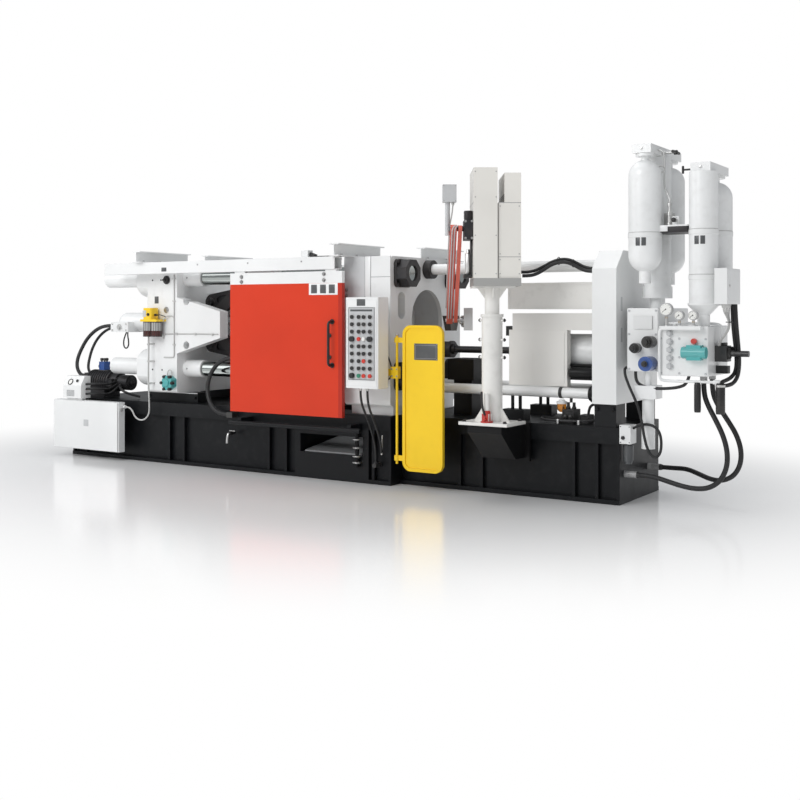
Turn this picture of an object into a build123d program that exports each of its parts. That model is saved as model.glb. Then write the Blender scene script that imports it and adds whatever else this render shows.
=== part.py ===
from build123d import *
import math
import os

# Horizontal cold-chamber die casting machine, all sizes in millimetres.
# X runs along the machine from the clamp end to the injection end, Y from the operator's
# side to the far side, Z up from the floor. Y = 0 is the middle plane of the tie bars.

# Clearances
SEAT_GAP = 0.3
PIN_CLEAR = 0.3
COVER_CLEAR = 0.5

# Base frame, with the bay for the castings in its middle
BASE_LEFT_X = -3040
BASE_STEP_X = 980
BASE_RIGHT_X = 3000
BASE_HALF_WIDE = 595
BASE_HALF_NARROW = 445
BASE_TOP_Z = 600
BASE_BAND_H = 130
BASE_FOOT_H = 35
BASE_PANEL_INSET = 45
BASE_RIB_T = 26
BASE_RIB_INSET = 8
BASE_RIB_WIDE_X = (-3040, -2860, -1664, -1467, -394, -191, 780, 954)
BASE_RIB_NARROW_X = (1560, 1770, 2600, 2796, 2974)
BAY_X = (-60, 750)
PAD_H = 100
PAD_OVERRUN = 140
RAIL_W = 150
RAIL_Y = 380
FOOT_Y = (240, 435)
FOOT_INSET = 10

# Chute for the castings
CHUTE_X = (0, 690)
CHUTE_Z = (235, 400)
CHUTE_BACK_Y = 300
CHUTE_SIDE = 30
CHUTE_PLATE_T = 12
CHUTE_LIP = 60
WELL_X = (20, 460)
WELL_HALF_Y = 260

# Tie bars
TIE_DIA = 140
TIE_HALF_Y = 436
TIE_HALF_Z = 448
CENTRE_H = 689
TIE_TAIL = 157
TIE_NOSE = 112
SLEEVE_DIA = 172
SLEEVE_LEN = 228
END_COVER_DIA = 170
END_COVER_LEN_LOW = 487
END_COVER_LEN_HIGH = 567
END_COVER_CHAMFER = 12
NUT_AF = 236
NUT_LEN = 96
NUT_FLANGE_W = 244
NUT_FLANGE_R = 46
NUT_FLANGE_T = 30

# Platens
PLATEN_HALF_Y = 600
PLATEN_HALF_H = 596
PLATEN_CORNER_R = 35
REAR_X0 = -1933
REAR_T = 405
REAR_BOSS_DIA = 372
REAR_BOSS_LEN = 150
HORN_REACH = 561
HORN_ROOT_DZ = (-302, 259)
HORN_TIP_DZ = (-138, 116)
HORN_T = 113
HORN_SINK = 20
MOVING_X0 = -640
MOVING_T = 340
MOVING_HALF_H = 556
MOVING_RAISE = 35
SHOE_OVERRUN = 40
SHOE_HALF_W = 60
FIXED_X0 = 500
FIXED_T = 488
FIXED_FOOT_HALF_Y = 520
FIXED_FOOT_RAISE = 80
FIXED_FOOT_INSET = 20
FIXED_WALL_T = 190
ARCH_HALF_Y = 262
ARCH_DZ = (-459, 311)
FIXED_SLOT_Y = 431
FIXED_SLOT_W = 118
FIXED_SLOT_DZ = (50, 286)
FIXED_SLOT_DEPTH = 220
TSLOT_DZ = (-330, -110, 110, 330)
TSLOT_NECK_W = 24
TSLOT_NECK_DEPTH = 20
TSLOT_HEAD_W = 42
TSLOT_HEAD_DEPTH = 18
EJECTOR_DIA = 130
EJECTOR_LEN = 190
EJECTOR_FLANGE_DIA = 200
EJECTOR_FLANGE_T = 30

# Toggle
LINK_PIVOT_REAR_X = -1405
LINK_PIVOT_FRONT_X = -745
LINK_KNUCKLE_X = -1075
LINK_PIVOT_DZ = 215
LINK_KNUCKLE_DZ = 268
LINK_EYE_DIA = 150
LINK_PIN_DIA = 78
LINK_T = 60
LINK_WEB_T = 34
LINK_POCKET_W = 70
LINK_REAR_Y = (-210, -70, 70, 210)
LINK_FRONT_Y = (-140, 0, 140)
DRIVE_LINK_Y = (-272, 272)
DRIVE_LINK_T = 46
DRIVE_EYE_DIA = 118
DRIVE_PIN_DIA = 56
DRIVE_PIN_DZ = 105
LUG_T = 58
LUG_EYE_DIA = 170
LUG_SINK = 10
PIN_OVERRUN = 35
CROSSHEAD_X0 = -1330
CROSSHEAD_T = 100
CROSSHEAD_HALF_Z = 60
CROSSHEAD_HALF_Y = 243
CROSSHEAD_EAR_T = 40
CROSSHEAD_ARM_HALF_Z = 25
CROSSHEAD_EYE_WALL = 28
CROSSHEAD_HUB_WALL = 30
CROSSHEAD_HUB_OVERRUN = 20
GUIDE_ROD_DIA = 55
GUIDE_ROD_Y = 375
GUIDE_ROD_REACH = 528
GUIDE_ROD_SINK = 60
CLAMP_ROD_DIA = 90
CLAMP_CYL_DIA = 205
CLAMP_CYL_X0 = -2785
CLAMP_FLANGE_DIA = 315
CLAMP_FLANGE_T = 60
CAP_ROUND_R = 62
CAP_LEN = 120
PORT_BLOCK_X = (-2905, -2640)
PORT_BLOCK_DZ = (-105, 3)
PORT_BLOCK_Y = (-190, 60)

# Door, its rails and the beams that carry them
RAIL_BEAM_Y = (690, 800)
RAIL_BEAM_H = 112
RAIL_BEAM_WALL = 10
RAIL_RIGHT_X = 530
RAIL_OVERRUN = 606
DOOR_X = (-674, 602)
DOOR_Y = (745, 785)
DOOR_BOTTOM_Z = 581
DOOR_HEAD_GAP = 16
DOOR_STRIP_H = 104
DOOR_SKIN_T = 6
DOOR_EDGE_W = 42
DOOR_MULLION_W = 34
DOOR_BAYS = 3
DOOR_TRAVEL = 1050
RUNNER_X = (-560, 480)
RUNNER_LEN = 120
RUNNER_LAP = 5
HANDLE_X = 498
HANDLE_Z = (1035, 1415)
HANDLE_DIA = 24
HANDLE_REACH = 60
HANDLE_BEND_R = 30
HANDLE_FOOT_DIA = 46
HANDLE_FOOT_T = 8
GUIDE_PIPE_DIA = 42
GUIDE_PIPE_Z = 475
GUIDE_PIPE_Y = -765
GUIDE_PIPE_X = (-700, 780)
GUIDE_BRACKET_W = 40
GUIDE_BRACKET_Z = (460, 520)
GUIDE_BRACKET_INSET = 120
BEAM_Y = (130, 850)
BEAM_H = 110
BEAM_W = 100
BEAM_FLANGE_T = 9
BEAM_WEB_T = 8
BEAM_FRONT_X = (-1836, 560)
BEAM_BACK_X = (-1836, 840)

# Cover and panel on the fixed platen
COVER_X = (501, 988)
COVER_T = 12
COVER_BOTTOM_Z = 700
COVER_RELIEF_T = 4
COVER_RELIEF_Z = (1450, 1720)
COVER_RELIEF_X = (520, 700)
PANEL_X = (721, 1054)
PANEL_Y = (-900, -735)
PANEL_Z = (855, 1624)
PANEL_EDGE_R = 12
PANEL_GROOVE_W = 4
PANEL_GROOVE_INSET = 14
PANEL_ARM_X = (830, 930)
PANEL_ARM_Z = (1150, 1330)
PLATE_X = (752, 1022)
PLATE_Z = (925, 1540)
PLATE_T = 6
BUTTON_X = (798, 868, 919, 982)
BUTTON_TOP_Z = 1458
BUTTON_PITCH_Z = 62
BUTTON_ROWS = 9
BUTTON_DIA = 34
BUTTON_H = 16
BIG_BUTTON_DIA = 46
BIG_BUTTON_H = 26
BIG_BUTTON_ROW = 3

# Units at the clamp end
CABINET_X = (-3120, -2168)
CABINET_Y = (-780, -684)
CABINET_Z = (90, 590)
CABINET_DOOR_T = 18
CABINET_DOOR_GAP = 6
CABINET_LEG_W = 60
CABINET_LEG_H = 90
CABINET_LEG_INSET = 150
GLAND_Y = -700
GLAND_Z = 545
GLAND_DIA = 34
GLAND_LEN = 30
UNIT_X = (-2960, -2690)
UNIT_Y = (-790, -665)
UNIT_Z = (612, 838)
UNIT_FACE_H = 130
UNIT_FACE_SLOPE = 48
UNIT_FOOT_INSET = 24
LUBE_X = -1790
LUBE_Y = -672
LUBE_Z = (1255, 1540)
LUBE_POT_DIA = 104
LUBE_POT_H = 150
LUBE_LID_HALF_X = 112
LUBE_LID_HALF_Y = 58
LUBE_LID_T = 22
LUBE_MOTOR_HALF = 56
LUBE_MOTOR_X = -1815
PUMP_X0 = -3000
PUMP_Y = -350
PUMP_Z = 760
MOTOR_LEN = 330
MOTOR_DIA = 236
MOTOR_FIN_DIA = 252
MOTOR_FIN_T = 8
MOTOR_FINS = 9
BELL_LEN = 100
BELL_DIA = 190
PUMP_LEN = 150
PUMP_DIA = 160
MOTOR_FOOT_INSET = 40
MOTOR_FOOT_HALF_Y = 110
PORT_HEAD_X = (-3060, -2990)
PORT_HEAD_Y = (-420, -210)
PORT_HEAD_Z = (775, 850)

# Splash guard and its post
POST_X = 1101
POST_Y = -680
POST_DIA = 22
POST_Z = (212, 1300)
POST_CLAMP_X = (1053, 1123)
POST_CLAMP_HALF_Y = 24
POST_CLAMP_Z = (935, 1035)
POST_STAY_HALF_Y = 15
POST_STAY_Z = (955, 1015)
POST_STAY_REACH = 70
GUARD_X = (1170, 1562)
GUARD_Y = (-703, -668)
GUARD_Z = (160, 1388)
GUARD_CORNER_R = 78
GUARD_LIP = 26
GUARD_DISH = 10
GUARD_LUG_Z = (262, 1262)
GUARD_LUG_H = 44
GUARD_LUG_WALL = 12
GUARD_LUG_T = 18

# Ladling unit, drawn about its column axis and turned as one. U is across the arm, V along it
LADLE_X = 2055
LADLE_Y = -760
LADLE_YAW = 32.7
SEAT_RISE = 5
SEAT_DROP = 285
SEAT_HALF_X = 150
SEAT_BACK_HALF_X = 190
SEAT_BACK_T = 30
SEAT_NOSE_Y = -890
SEAT_NOSE_H = 60
SEAT_SLOPE_Y = -640
COLUMN_PLATE_X = 430
COLUMN_PLATE_Y = 330
COLUMN_PLATE_T = 25
COLUMN_DIA = 165
COLUMN_LEN = 854
COLLAR_DIA = 182
COLLAR_H = 24
STEM_DIA = 116
STEM_LEN = 206
STEM_PLATE_T = 15
STEM_PLATE_U = (-165, 175)
STEM_PLATE_V = (-120, 150)
GUSSET_T = 12
GUSSET_H = 120
GUSSET_FOOT = 75
GUSSET_SINK = 5
STEM_GUSSET_FOOT = 58
STEM_GUSSET_H = 90
CLAMP_BOLT_DIA = 22
CLAMP_BOLT_REACH = 26
CLAMP_BOLT_DZ = (-50, -205, -345)
HOUSING_BASE_T = 60
HOUSING_U = (-158, 30)
HOUSING_V = (-165, 310)
HOUSING_H = 867
CASE_U = (38, 215)
CASE_V = (-150, 380)
CASE_H = 827
CASE_STEP_U = 85
CASE_STEP_H = 595
DRIVE_T = 70
DRIVE_V = (-115, 90)
DRIVE_DZ = (-95, 60)
DRIVE_MOTOR_DIA = 66
DRIVE_MOTOR_DZ = 134
DRIVE_MOTOR_V = -60
SHAFT_SINK = 10
ARM_SHAFT_DIA = 44
ARM_SHAFT_OVERRUN = 12
LINK_SHAFT_DIA = 26
HEAD_PIN_DIA = 30
LINK_PIN_END_DIA = 20
ARM_U = -306
ARM_W = 52
ARM_DEPTH = 62
LINK_U = -257
LINK_W = 30
LINK_DEPTH = 40
ARM_PIVOT_V = 20
ARM_PIVOT_DZ = 461
ARM_LEN = 1045
ARM_LEAN = 45
LINK_AHEAD = 80
PROBE_TOP_DZ = (214, 354)
PROBE_POLE_DIA = 40
PROBE_ALONG = 72
PROBE_BOX_U = (-60, 50)
PROBE_BOX_HALF_V = 50
HEAD_PLATE_U = (-188, -170)
HEAD_PLATE_DZ = (-60, 42)
HEAD_MARGIN = 32
HEAD_FLANGE_U1 = -112
HEAD_FLANGE_T = 14
HEAD_FLANGE_DZ = (-85, 108)
HEAD_PIN_TAIL = 8
LINK_PIN_TAIL = 3
PIN_SINK = 5
PROBE_POLE_GAP = 20
CUP_U = -282
CUP_R = 76
CUP_FOOT_R = 52
CUP_DEPTH = 132
CUP_WALL = 9
CUP_REACH = 250
CUP_RIM_RISE = 40
CUP_SPOUT_LEN = 24
CUP_SPOUT_W = 46
CUP_SPOUT_H = 26
CUP_SHAFT_DIA = 26
CUP_SHAFT_OVERRUN = 26
CUP_WHEEL_DIA = 90
CUP_WHEEL_T = 14
CUP_WHEEL_GAP = 6
JACK_DX = 17
JACK_DY = -122
JACK_DIA = 46
JACK_H = 230
JACK_BASE = 58
JACK_BASE_H = 70

# Shot end
SHOT_DZ = -221
SHOT_SLEEVE_OD = 150
SHOT_BORE = 92
SLEEVE_LEFT_X = 470
SLEEVE_RIGHT_X = 1262
POUR_BOTTOM_DZ = 20
POUR_X = (1152, 1232)
POUR_HALF_W = 32
PLUNGER_DIA = 91.4
PLUNGER_TIP_X = 1236
PLUNGER_TIP_LEN = 54
PLUNGER_ROD_DIA = 60
PLUNGER_STROKE = 520
COUPLING_CLEAR = 68
COUPLING_LEN = 55
COUPLING_DIA = 150
COUPLING_NUT_LEN = 36
COUPLING_NUT_DIA = 112
PISTON_ROD_DIA = 100
PISTON_ROD_INSIDE = 700
INJ_CYL_X0 = 1985
INJ_CYL_LEN = 1065
INJ_BORE_LEN = 760
INJ_CYL_DIA = 300
INJ_HEAD_DIA = 360
INJ_HEAD_T = 90
INJ_NOSE_DIA = 190
INJ_NOSE_LEN = 36
TUBE_DIA = 96
TUBE_LOW_DIA = 85
TUBE_TOP_DROP = 101
TUBE_LOW_Y = 270
TUBE_LOW_DZ = -546
TUBE_NUT_DIA = 168
TUBE_NUT_LEN = 70
TUBE_END_DIA = 116
TUBE_END_LEN = 54
PROP_X = (1917, 2122)
PROP_HALF_W = 60
PROP_BASE_H = 90
PROP_POST_DIA = 28
PROP_POST_X = (1990, 2060)
FRAME_X0 = 2780
FRAME_T = 200
FRAME_HALF_Y = 460
FRAME_HALF_H = 596
FRAME_BOTTOM_RAISE = 180
FRAME_CHAMFER = 145
UPPER_X0 = 1935
UPPER_HALF_Y = 250
UPPER_Z = (1524, 1742)
UPPER_FRAME_W = 16
UPPER_FRAME_T = 6
LID_X0 = 1985
LID_HALF_Y = 265
LID_Z = (1352, 1490)
SIDE_BOX_X = (1952, 2480)
SIDE_BOX_Y = (-262, -192)
SIDE_BOX_BOTTOM_Z = 892
SIDE_DOOR_X0 = 2165
SIDE_DOOR_T = 5
SIDE_DOOR_EDGE = 24
TRAY_X = (1290, 1550)
TRAY_Y = (-150, 130)
TRAY_Z = (905, 1090)
TRAY_FOOT_INSET = 40
TRAY_TRIM_W = 24
TRAY_TRIM_T = 6

# Manifold, bottles and what stands on them
BLOCK1_T = 250
BLOCK1_Y = (-415, 300)
BLOCK1_DZ = (-126, 362)
BLOCK2_GAP = 20
BLOCK2_T = 377
BLOCK2_Y = (-462, 40)
BLOCK2_DZ = (-148, 227)
BLOCK_JOIN = 5
BLOCK_JOIN_INSET = 60
BLOCK_EDGE = 6
DRAIN_DX = 140
DRAIN_Y = -330
DRAIN_NECK_DIA = 56
DRAIN_BLOCK_X = 172
DRAIN_BLOCK_Y = 150
DRAIN_BLOCK_DROP = (109, 210)
DRAIN_CAN_DIA = 90
DRAIN_CAN_DROP = 415
DRAIN_MOTOR_DIA = 104
DRAIN_MOTOR_DROP = 600
ROW1_DX = 140
ROW1_Y = (-400, 150)
ROW2_DX = 320
ROW2_Y = (-384, -80)
TUBE_B_Y = -122
BOTTLE_DIA = 250
BOTTLE_LEN = 863
BOTTLE1_RISE = 276
BOTTLE2_RISE = 241
BOTTLE_NECK_DIA = 92
BOTTLE_NECK_LEN = 86
BOTTLE_TOP_NECK_DIA = 58
BOTTLE_COLLAR_DIA = 140
BOTTLE_COLLAR_LEN = 22
BOTTLE_COLLAR_GAP = 26
PISTON_TUBE_DIA = 212
PISTON_FLANGE_DIA = 232
PISTON_NECK_DIA = 118
PISTON_NECK2_DIA = 92
NECK_SINK = 12
HEADER_T = 66
HEADER_HALF_W = 75
HEADER_OVERHANG = 80
TUBE1_FLANGE_RISE = (78, 170)
TUBE2_CONE_RISE = (83, 157)
TUBE2_RING_T = 14
BRIDGE_RISE = (436, 476)
BRIDGE_T = 36
TERMINAL_DX = (60, 153)
TERMINAL_Y = (-504, -170)
TERMINAL_RISE = (163, 427)
TERMINAL_ARM_Y = (-420, -340)
TERMINAL_ARM_RISE = (205, 245)
SMALL_BOX_T = 90
SMALL_BOX_Y = (-445, -320)
SMALL_BOX_Z = (480, 625)

# Valves as (x, z, diameter, how far it stands out), x and z from the lower left corner of their block
BLOCK1_VALVES = ((196, 230, 92, 95), (81, 181, 78, 60), (190, 65, 112, 120))
BLOCK1_PLATE_DX = (57, 205)
BLOCK1_PLATE_DZ = (329, 428)
BLOCK1_PLATE_T = 14
BUTTON_VALVE = (276, 262, 42, 26)
SPOOL_VALVE_DX = (195, 377)
SPOOL_VALVE_DZ = 178
SPOOL_VALVE_DIA = 84
SPOOL_BODY_DX = (235, 342)
SPOOL_BODY_H = 112
SPOOL_BODY_T = 70
SIDE_VALVE_T = 90
SIDE_VALVE_Y = (-300, -180)
SIDE_VALVE_DZ = (107, 227)
SIDE_SPOOL_DIA = 46
SIDE_SPOOL_LEN = 150
GEAR_PUMP_X = -1598
GEAR_PUMP_RISE = 103
GEAR_PUMP_DIA = 128
GEAR_PUMP_T = 70
GAUGES = ((80, 125, 96), (180, 80, 70), (285, 80, 70))
GAUGE_T = 40
GAUGE_STEM_DIA = 20
GAUGE_STANDOFF = 53
GAUGE_BAR_DX = (40, 340)
GAUGE_BAR_H = 28
GAUGE_BAR_T = 15

# Ends that the hoses leave from
RETURN_PORT_Z = 232
RETURN_PORT_Y = (-330, 190)
RETURN_FITTING_LEN = 100
RETURN_FITTING_DIA = 52
DROP_FITTING_AT = ((320, -380), (315, -152))
DROP_FITTING_LEN = 34.4
DROP_FITTING_DIA = 54
PANEL_END_X = 842
PANEL_END_Y = -620
PANEL_END_Z = 170
PANEL_END_DIA = 40
PANEL_END_LEN = 30
PANEL_END_NECK_DIA = 30
PANEL_END_REACH = 50
COOLING_START_Z = 1060
COOLING_START_Y = -560
COOLING_PIPE_LEN = 170
COOLING_PIPE_DIA = 36
COOLING_END_X = (-815, -745)
COOLING_END_Y = -655
COOLING_END_Z = 530
COOLING_END_H = 50
COOLING_END_W = 50
HOSE_DIA = 38
THIN_HOSE_DIA = 30
COOLING_DIA = 40
SMALL_HOSE_DIA = 28
CABLE_DIA = 20
SIGNAL_DIA = 16

# Routes of the hoses and cables, each corner as (x, y, z)
CLAMP_HOSE_A = (
    (-2905.3, -150, 1352), (-3042, -150, 1352), (-3169, -172, 1300), (-3266, -205, 1203), (-3318, -245, 1076),
    (-3318, -290, 984), (-3286, -325, 905), (-3225, -350, 845), (-3146, -370, 812), (-3060.3, -370, 812))
CLAMP_HOSE_B = (
    (-2905.3, -60, 1330), (-3029, -60, 1330), (-3143, -72, 1283), (-3230, -95, 1196), (-3277, -125, 1082),
    (-3277, -165, 960), (-3249, -200, 894), (-3198, -228, 843), (-3132, -250, 815), (-3060.3, -250, 815))
COOLING_HOSE = (
    (-810.3, -560, 1060), (-901, -560, 1060), (-1001, -570, 1019), (-1074, -584, 946), (-1115, -600, 846),
    (-1115, -617, 744), (-1074, -634, 644), (-1001, -648, 571), (-901, -655, 530), (-815.3, -655, 530))
RETURN_HOSE_A = (
    (3100.3, -330, 232), (3220, -330, 232), (3340, -338, 205), (3460, -352, 178), (3580, -372, 168),
    (3690, -394, 188), (3780, -414, 255), (3828, -424, 360), (3830, -424, 475), (3795, -414, 590),
    (3735, -400, 700), (3675, -388, 800), (3640, -380, 890), (3640, -380, 985))
RETURN_HOSE_B = (
    (3100.3, 190, 232), (3210, 190, 232), (3340, 150, 240), (3455, 90, 215), (3570, 20, 190),
    (3680, -40, 195), (3780, -85, 245), (3840, -115, 340), (3850, -130, 455), (3815, -135, 570),
    (3750, -140, 675), (3680, -148, 780), (3635, -152, 880), (3635, -152, 985))
LADLE_HOSE = (
    (2238, -590, 1790), (2290, -556.6, 1790), (2338, -528, 1806), (2386, -504, 1838), (2432, -480, 1874),
    (2490, -460, 1897), (2552, -442, 1899), (2610, -424, 1874), (2662, -408, 1842), (2719, -400, 1822),
    (2779.7, -400, 1822))
PANEL_CABLE_A = (
    (800, -790, 854.7), (800, -790, 780), (806, -774, 700), (818, -742, 625), (830, -706, 545),
    (838, -672, 460), (842, -640, 375), (842, -620, 290), (842, -620, 200))
CABINET_CABLE = (
    (-2137.7, -700, 545), (-2100, -700, 545), (-2065, -699, 530.5), (-2038, -697, 503.6), (-2022.7, -694, 466.6),
    (-1994.4, -690, 438.3), (-1957.4, -686, 423), (-1917.4, -682, 423), (-1880.4, -678, 438.3),
    (-1852.1, -674, 466.6), (-1836.8, -671, 503.6), (-1837, -669, 545), (-1839, -668, 615), (-1843, -672, 730),
    (-1838, -682, 905), (-1843, -672, 1085), (-1843, -672, 1254.7))

# Levels and planes that follow from the sizes above
PAD_TOP_Z = BASE_TOP_Z + PAD_H
CENTRE_Z = PAD_TOP_Z + CENTRE_H
PLATEN_TOP_Z = CENTRE_Z + PLATEN_HALF_H
REAR_X1 = REAR_X0 + REAR_T
MOVING_X1 = MOVING_X0 + MOVING_T
FIXED_X1 = FIXED_X0 + FIXED_T
BEAM_SEAT_Z = PLATEN_TOP_Z + SEAT_GAP
RAIL_BEAM_X = (DOOR_X[0] - DOOR_TRAVEL - RAIL_OVERRUN, RAIL_RIGHT_X)
RAIL_BEAM_Z = (PLATEN_TOP_Z - RAIL_BEAM_H, PLATEN_TOP_Z)
DOOR_HEAD_Z = RAIL_BEAM_Z[0] - DOOR_HEAD_GAP
DOOR_SHEET_TOP_Z = DOOR_HEAD_Z - DOOR_STRIP_H
SEAT_Z = BASE_TOP_Z + SEAT_RISE
COLUMN_FOOT_Z = SEAT_Z + COLUMN_PLATE_T
COLUMN_TOP_Z = COLUMN_FOOT_Z + COLUMN_LEN
STEM_TOP_Z = COLUMN_TOP_Z + STEM_LEN + STEM_PLATE_T
HOUSING_Z = STEM_TOP_Z + SEAT_GAP + HOUSING_BASE_T
ARM_PIVOT_Z = STEM_TOP_Z + ARM_PIVOT_DZ
SHOT_Z = CENTRE_Z + SHOT_DZ
TUBE_TOP_Z = PLATEN_TOP_Z - TUBE_TOP_DROP
TUBE_LOW_Z = CENTRE_Z + TUBE_LOW_DZ
FRAME_X1 = FRAME_X0 + FRAME_T
FRAME_BOTTOM_Z = BASE_TOP_Z + FRAME_BOTTOM_RAISE
FRAME_TOP_Z = CENTRE_Z + FRAME_HALF_H
COUPLING_X0 = SLEEVE_RIGHT_X + PLUNGER_STROKE + COUPLING_CLEAR
INJ_CYL_X1 = INJ_CYL_X0 + INJ_CYL_LEN
BLOCK1_X = (INJ_CYL_X1 + SEAT_GAP, INJ_CYL_X1 + SEAT_GAP + BLOCK1_T)
BLOCK2_X = (BLOCK1_X[1] + BLOCK2_GAP, BLOCK1_X[1] + BLOCK2_GAP + BLOCK2_T)
BLOCK1_Z = (SHOT_Z + BLOCK1_DZ[0], SHOT_Z + BLOCK1_DZ[1])
BLOCK2_Z = (SHOT_Z + BLOCK2_DZ[0], SHOT_Z + BLOCK2_DZ[1])
ROW1_X = BLOCK1_X[0] + ROW1_DX
ROW2_X = BLOCK2_X[0] + ROW2_DX
BOTTLE1_Z = (BLOCK1_Z[1] + BOTTLE1_RISE, BLOCK1_Z[1] + BOTTLE1_RISE + BOTTLE_LEN)
BOTTLE2_Z = (BLOCK2_Z[1] + BOTTLE2_RISE, BLOCK2_Z[1] + BOTTLE2_RISE + BOTTLE_LEN)
HEADER1_Z = BOTTLE1_Z[1] + BOTTLE_COLLAR_GAP + BOTTLE_COLLAR_LEN + SEAT_GAP
HEADER2_Z = BOTTLE2_Z[1] + BOTTLE_COLLAR_GAP + BOTTLE_COLLAR_LEN + SEAT_GAP


def block(x, y, z):
    """Box between two x, two y and two z values."""
    (x0, x1), (y0, y1), (z0, z1) = sorted(x), sorted(y), sorted(z)
    middle = ((x0 + x1) / 2, (y0 + y1) / 2, (z0 + z1) / 2)
    return Pos(*middle) * Box(x1 - x0, y1 - y0, z1 - z0)


def about(middle, half):
    """Span of 2 * half about a middle value."""
    return middle - half, middle + half


def rod_x(x0, x1, y, z, dia):
    """Round bar along X."""
    return Pos((x0 + x1) / 2, y, z) * Rot(0, 90, 0) * Cylinder(dia / 2, abs(x1 - x0))


def rod_y(y0, y1, x, z, dia):
    """Round bar along Y."""
    return Pos(x, (y0 + y1) / 2, z) * Rot(90, 0, 0) * Cylinder(dia / 2, abs(y1 - y0))


def rod_z(z0, z1, x, y, dia):
    """Round bar along Z."""
    return Pos(x, y, (z0 + z1) / 2) * Cylinder(dia / 2, abs(z1 - z0))


def along_y(points, y0, y1):
    """Outline of (x, z) points, carried from y0 to y1."""
    face = make_face(Polyline([(x, 0, z) for x, z in points], close=True))
    return Pos(0, y1, 0) * extrude(face, amount=y1 - y0, dir=(0, -1, 0))


def along_x(points, x0, x1):
    """Outline of (y, z) points, carried from x0 to x1."""
    face = make_face(Polyline([(0, y, z) for y, z in points], close=True))
    return Pos(x0, 0, 0) * extrude(face, amount=x1 - x0, dir=(1, 0, 0))


def turned(profile, x, y):
    """Piece turned about an upright axis from (radius, z) points."""
    outline = [(0, 0, profile[0][1])] + [(r, 0, z) for r, z in profile] + [(0, 0, profile[-1][1])]
    face = make_face(Polyline(outline, close=True))
    return Pos(x, y, 0) * revolve(face, Axis.Z)


def stepped(steps, x, y):
    """Upright turned piece from (z0, z1, diameter) steps, lowest first."""
    profile = []
    for z0, z1, dia in steps:
        profile += [(dia / 2, z0), (dia / 2, z1)]
    return turned(profile, x, y)


def fuse(parts):
    """One solid from many touching ones."""
    whole = parts[0]
    for piece in parts[1:]:
        whole = whole + piece
    return whole


def apart(parts):
    """Pieces that share a node and don't touch."""
    return Compound(children=list(parts))


def at_tie_bars():
    """The four tie bar centres as (y, z)."""
    return [(sy * TIE_HALF_Y, CENTRE_Z + sz * TIE_HALF_Z) for sy in (-1, 1) for sz in (-1, 1)]


def without_tie_bars(shape, x0, x1, clear=0.0):
    """The shape bored for the four tie bars."""
    for y, z in at_tie_bars():
        shape = shape - rod_x(x0, x1, y, z, TIE_DIA + 2 * clear)
    return shape


def turned_unit(shape):
    """Put a piece drawn about the ladle column in its place on the machine."""
    return Pos(LADLE_X, LADLE_Y, 0) * Rot(0, 0, LADLE_YAW) * shape


def base_section(x0, x1, half):
    """One stretch of the welded base: core, top band and foot flange."""
    core = block((x0, x1), about(0, half - BASE_PANEL_INSET), (0, BASE_TOP_Z))
    band = block((x0, x1), about(0, half), (BASE_TOP_Z - BASE_BAND_H, BASE_TOP_Z))
    foot = block((x0, x1), about(0, half), (0, BASE_FOOT_H))
    return fuse([core, band, foot])


def base_ribs(places, half):
    """Upright ribs on both long sides of the base."""
    ribs = []
    for x in places:
        for side in (-1, 1):
            y = (side * (half - BASE_PANEL_INSET - BASE_RIB_INSET), side * (half - BASE_RIB_INSET))
            ribs.append(block((x, x + BASE_RIB_T), y, (BASE_FOOT_H, BASE_TOP_Z - BASE_BAND_H)))
    return ribs


def make_base():
    """Base on both sides of the bay: under the clamp unit, and under the injection unit."""
    ribs = base_ribs(BASE_RIB_WIDE_X, BASE_HALF_WIDE)
    left = fuse([base_section(BASE_LEFT_X, BAY_X[0], BASE_HALF_WIDE)] + [r for r in ribs if r.center().X < BAY_X[0]])
    step = base_section(BAY_X[1], BASE_STEP_X, BASE_HALF_WIDE)
    narrow = base_section(BASE_STEP_X, BASE_RIGHT_X, BASE_HALF_NARROW)
    right = fuse([step, narrow] + [r for r in ribs if r.center().X > BAY_X[1]])
    return apart([left, fuse([right] + base_ribs(BASE_RIB_NARROW_X, BASE_HALF_NARROW))])


def make_bay():
    """Flush middle bay of the base, with the mouth of the chute and the well above it."""
    bay = block(BAY_X, about(0, BASE_HALF_WIDE), (0, BASE_TOP_Z))
    mouth = block(CHUTE_X, (-BASE_HALF_WIDE - BASE_RIB_T, CHUTE_BACK_Y), CHUTE_Z)
    well = block(WELL_X, about(0, WELL_HALF_Y), (CHUTE_Z[1] - BASE_RIB_INSET, BASE_TOP_Z + BASE_RIB_T))
    return bay - mouth - well


def make_chute():
    """Sloping plate on which castings slide out of the base."""
    low_y = -BASE_HALF_WIDE + CHUTE_SIDE
    high_y = CHUTE_BACK_Y - CHUTE_SIDE
    floor_z = CHUTE_Z[0] + SEAT_GAP
    high_z = CHUTE_Z[1] - CHUTE_SIDE
    points = [
        (low_y, floor_z),
        (low_y, floor_z + CHUTE_PLATE_T),
        (high_y, high_z),
        (high_y, high_z - CHUTE_PLATE_T),
        (low_y + CHUTE_LIP, floor_z),
    ]
    return along_x(points, CHUTE_X[0] + CHUTE_SIDE, CHUTE_X[1] - CHUTE_SIDE)


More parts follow.
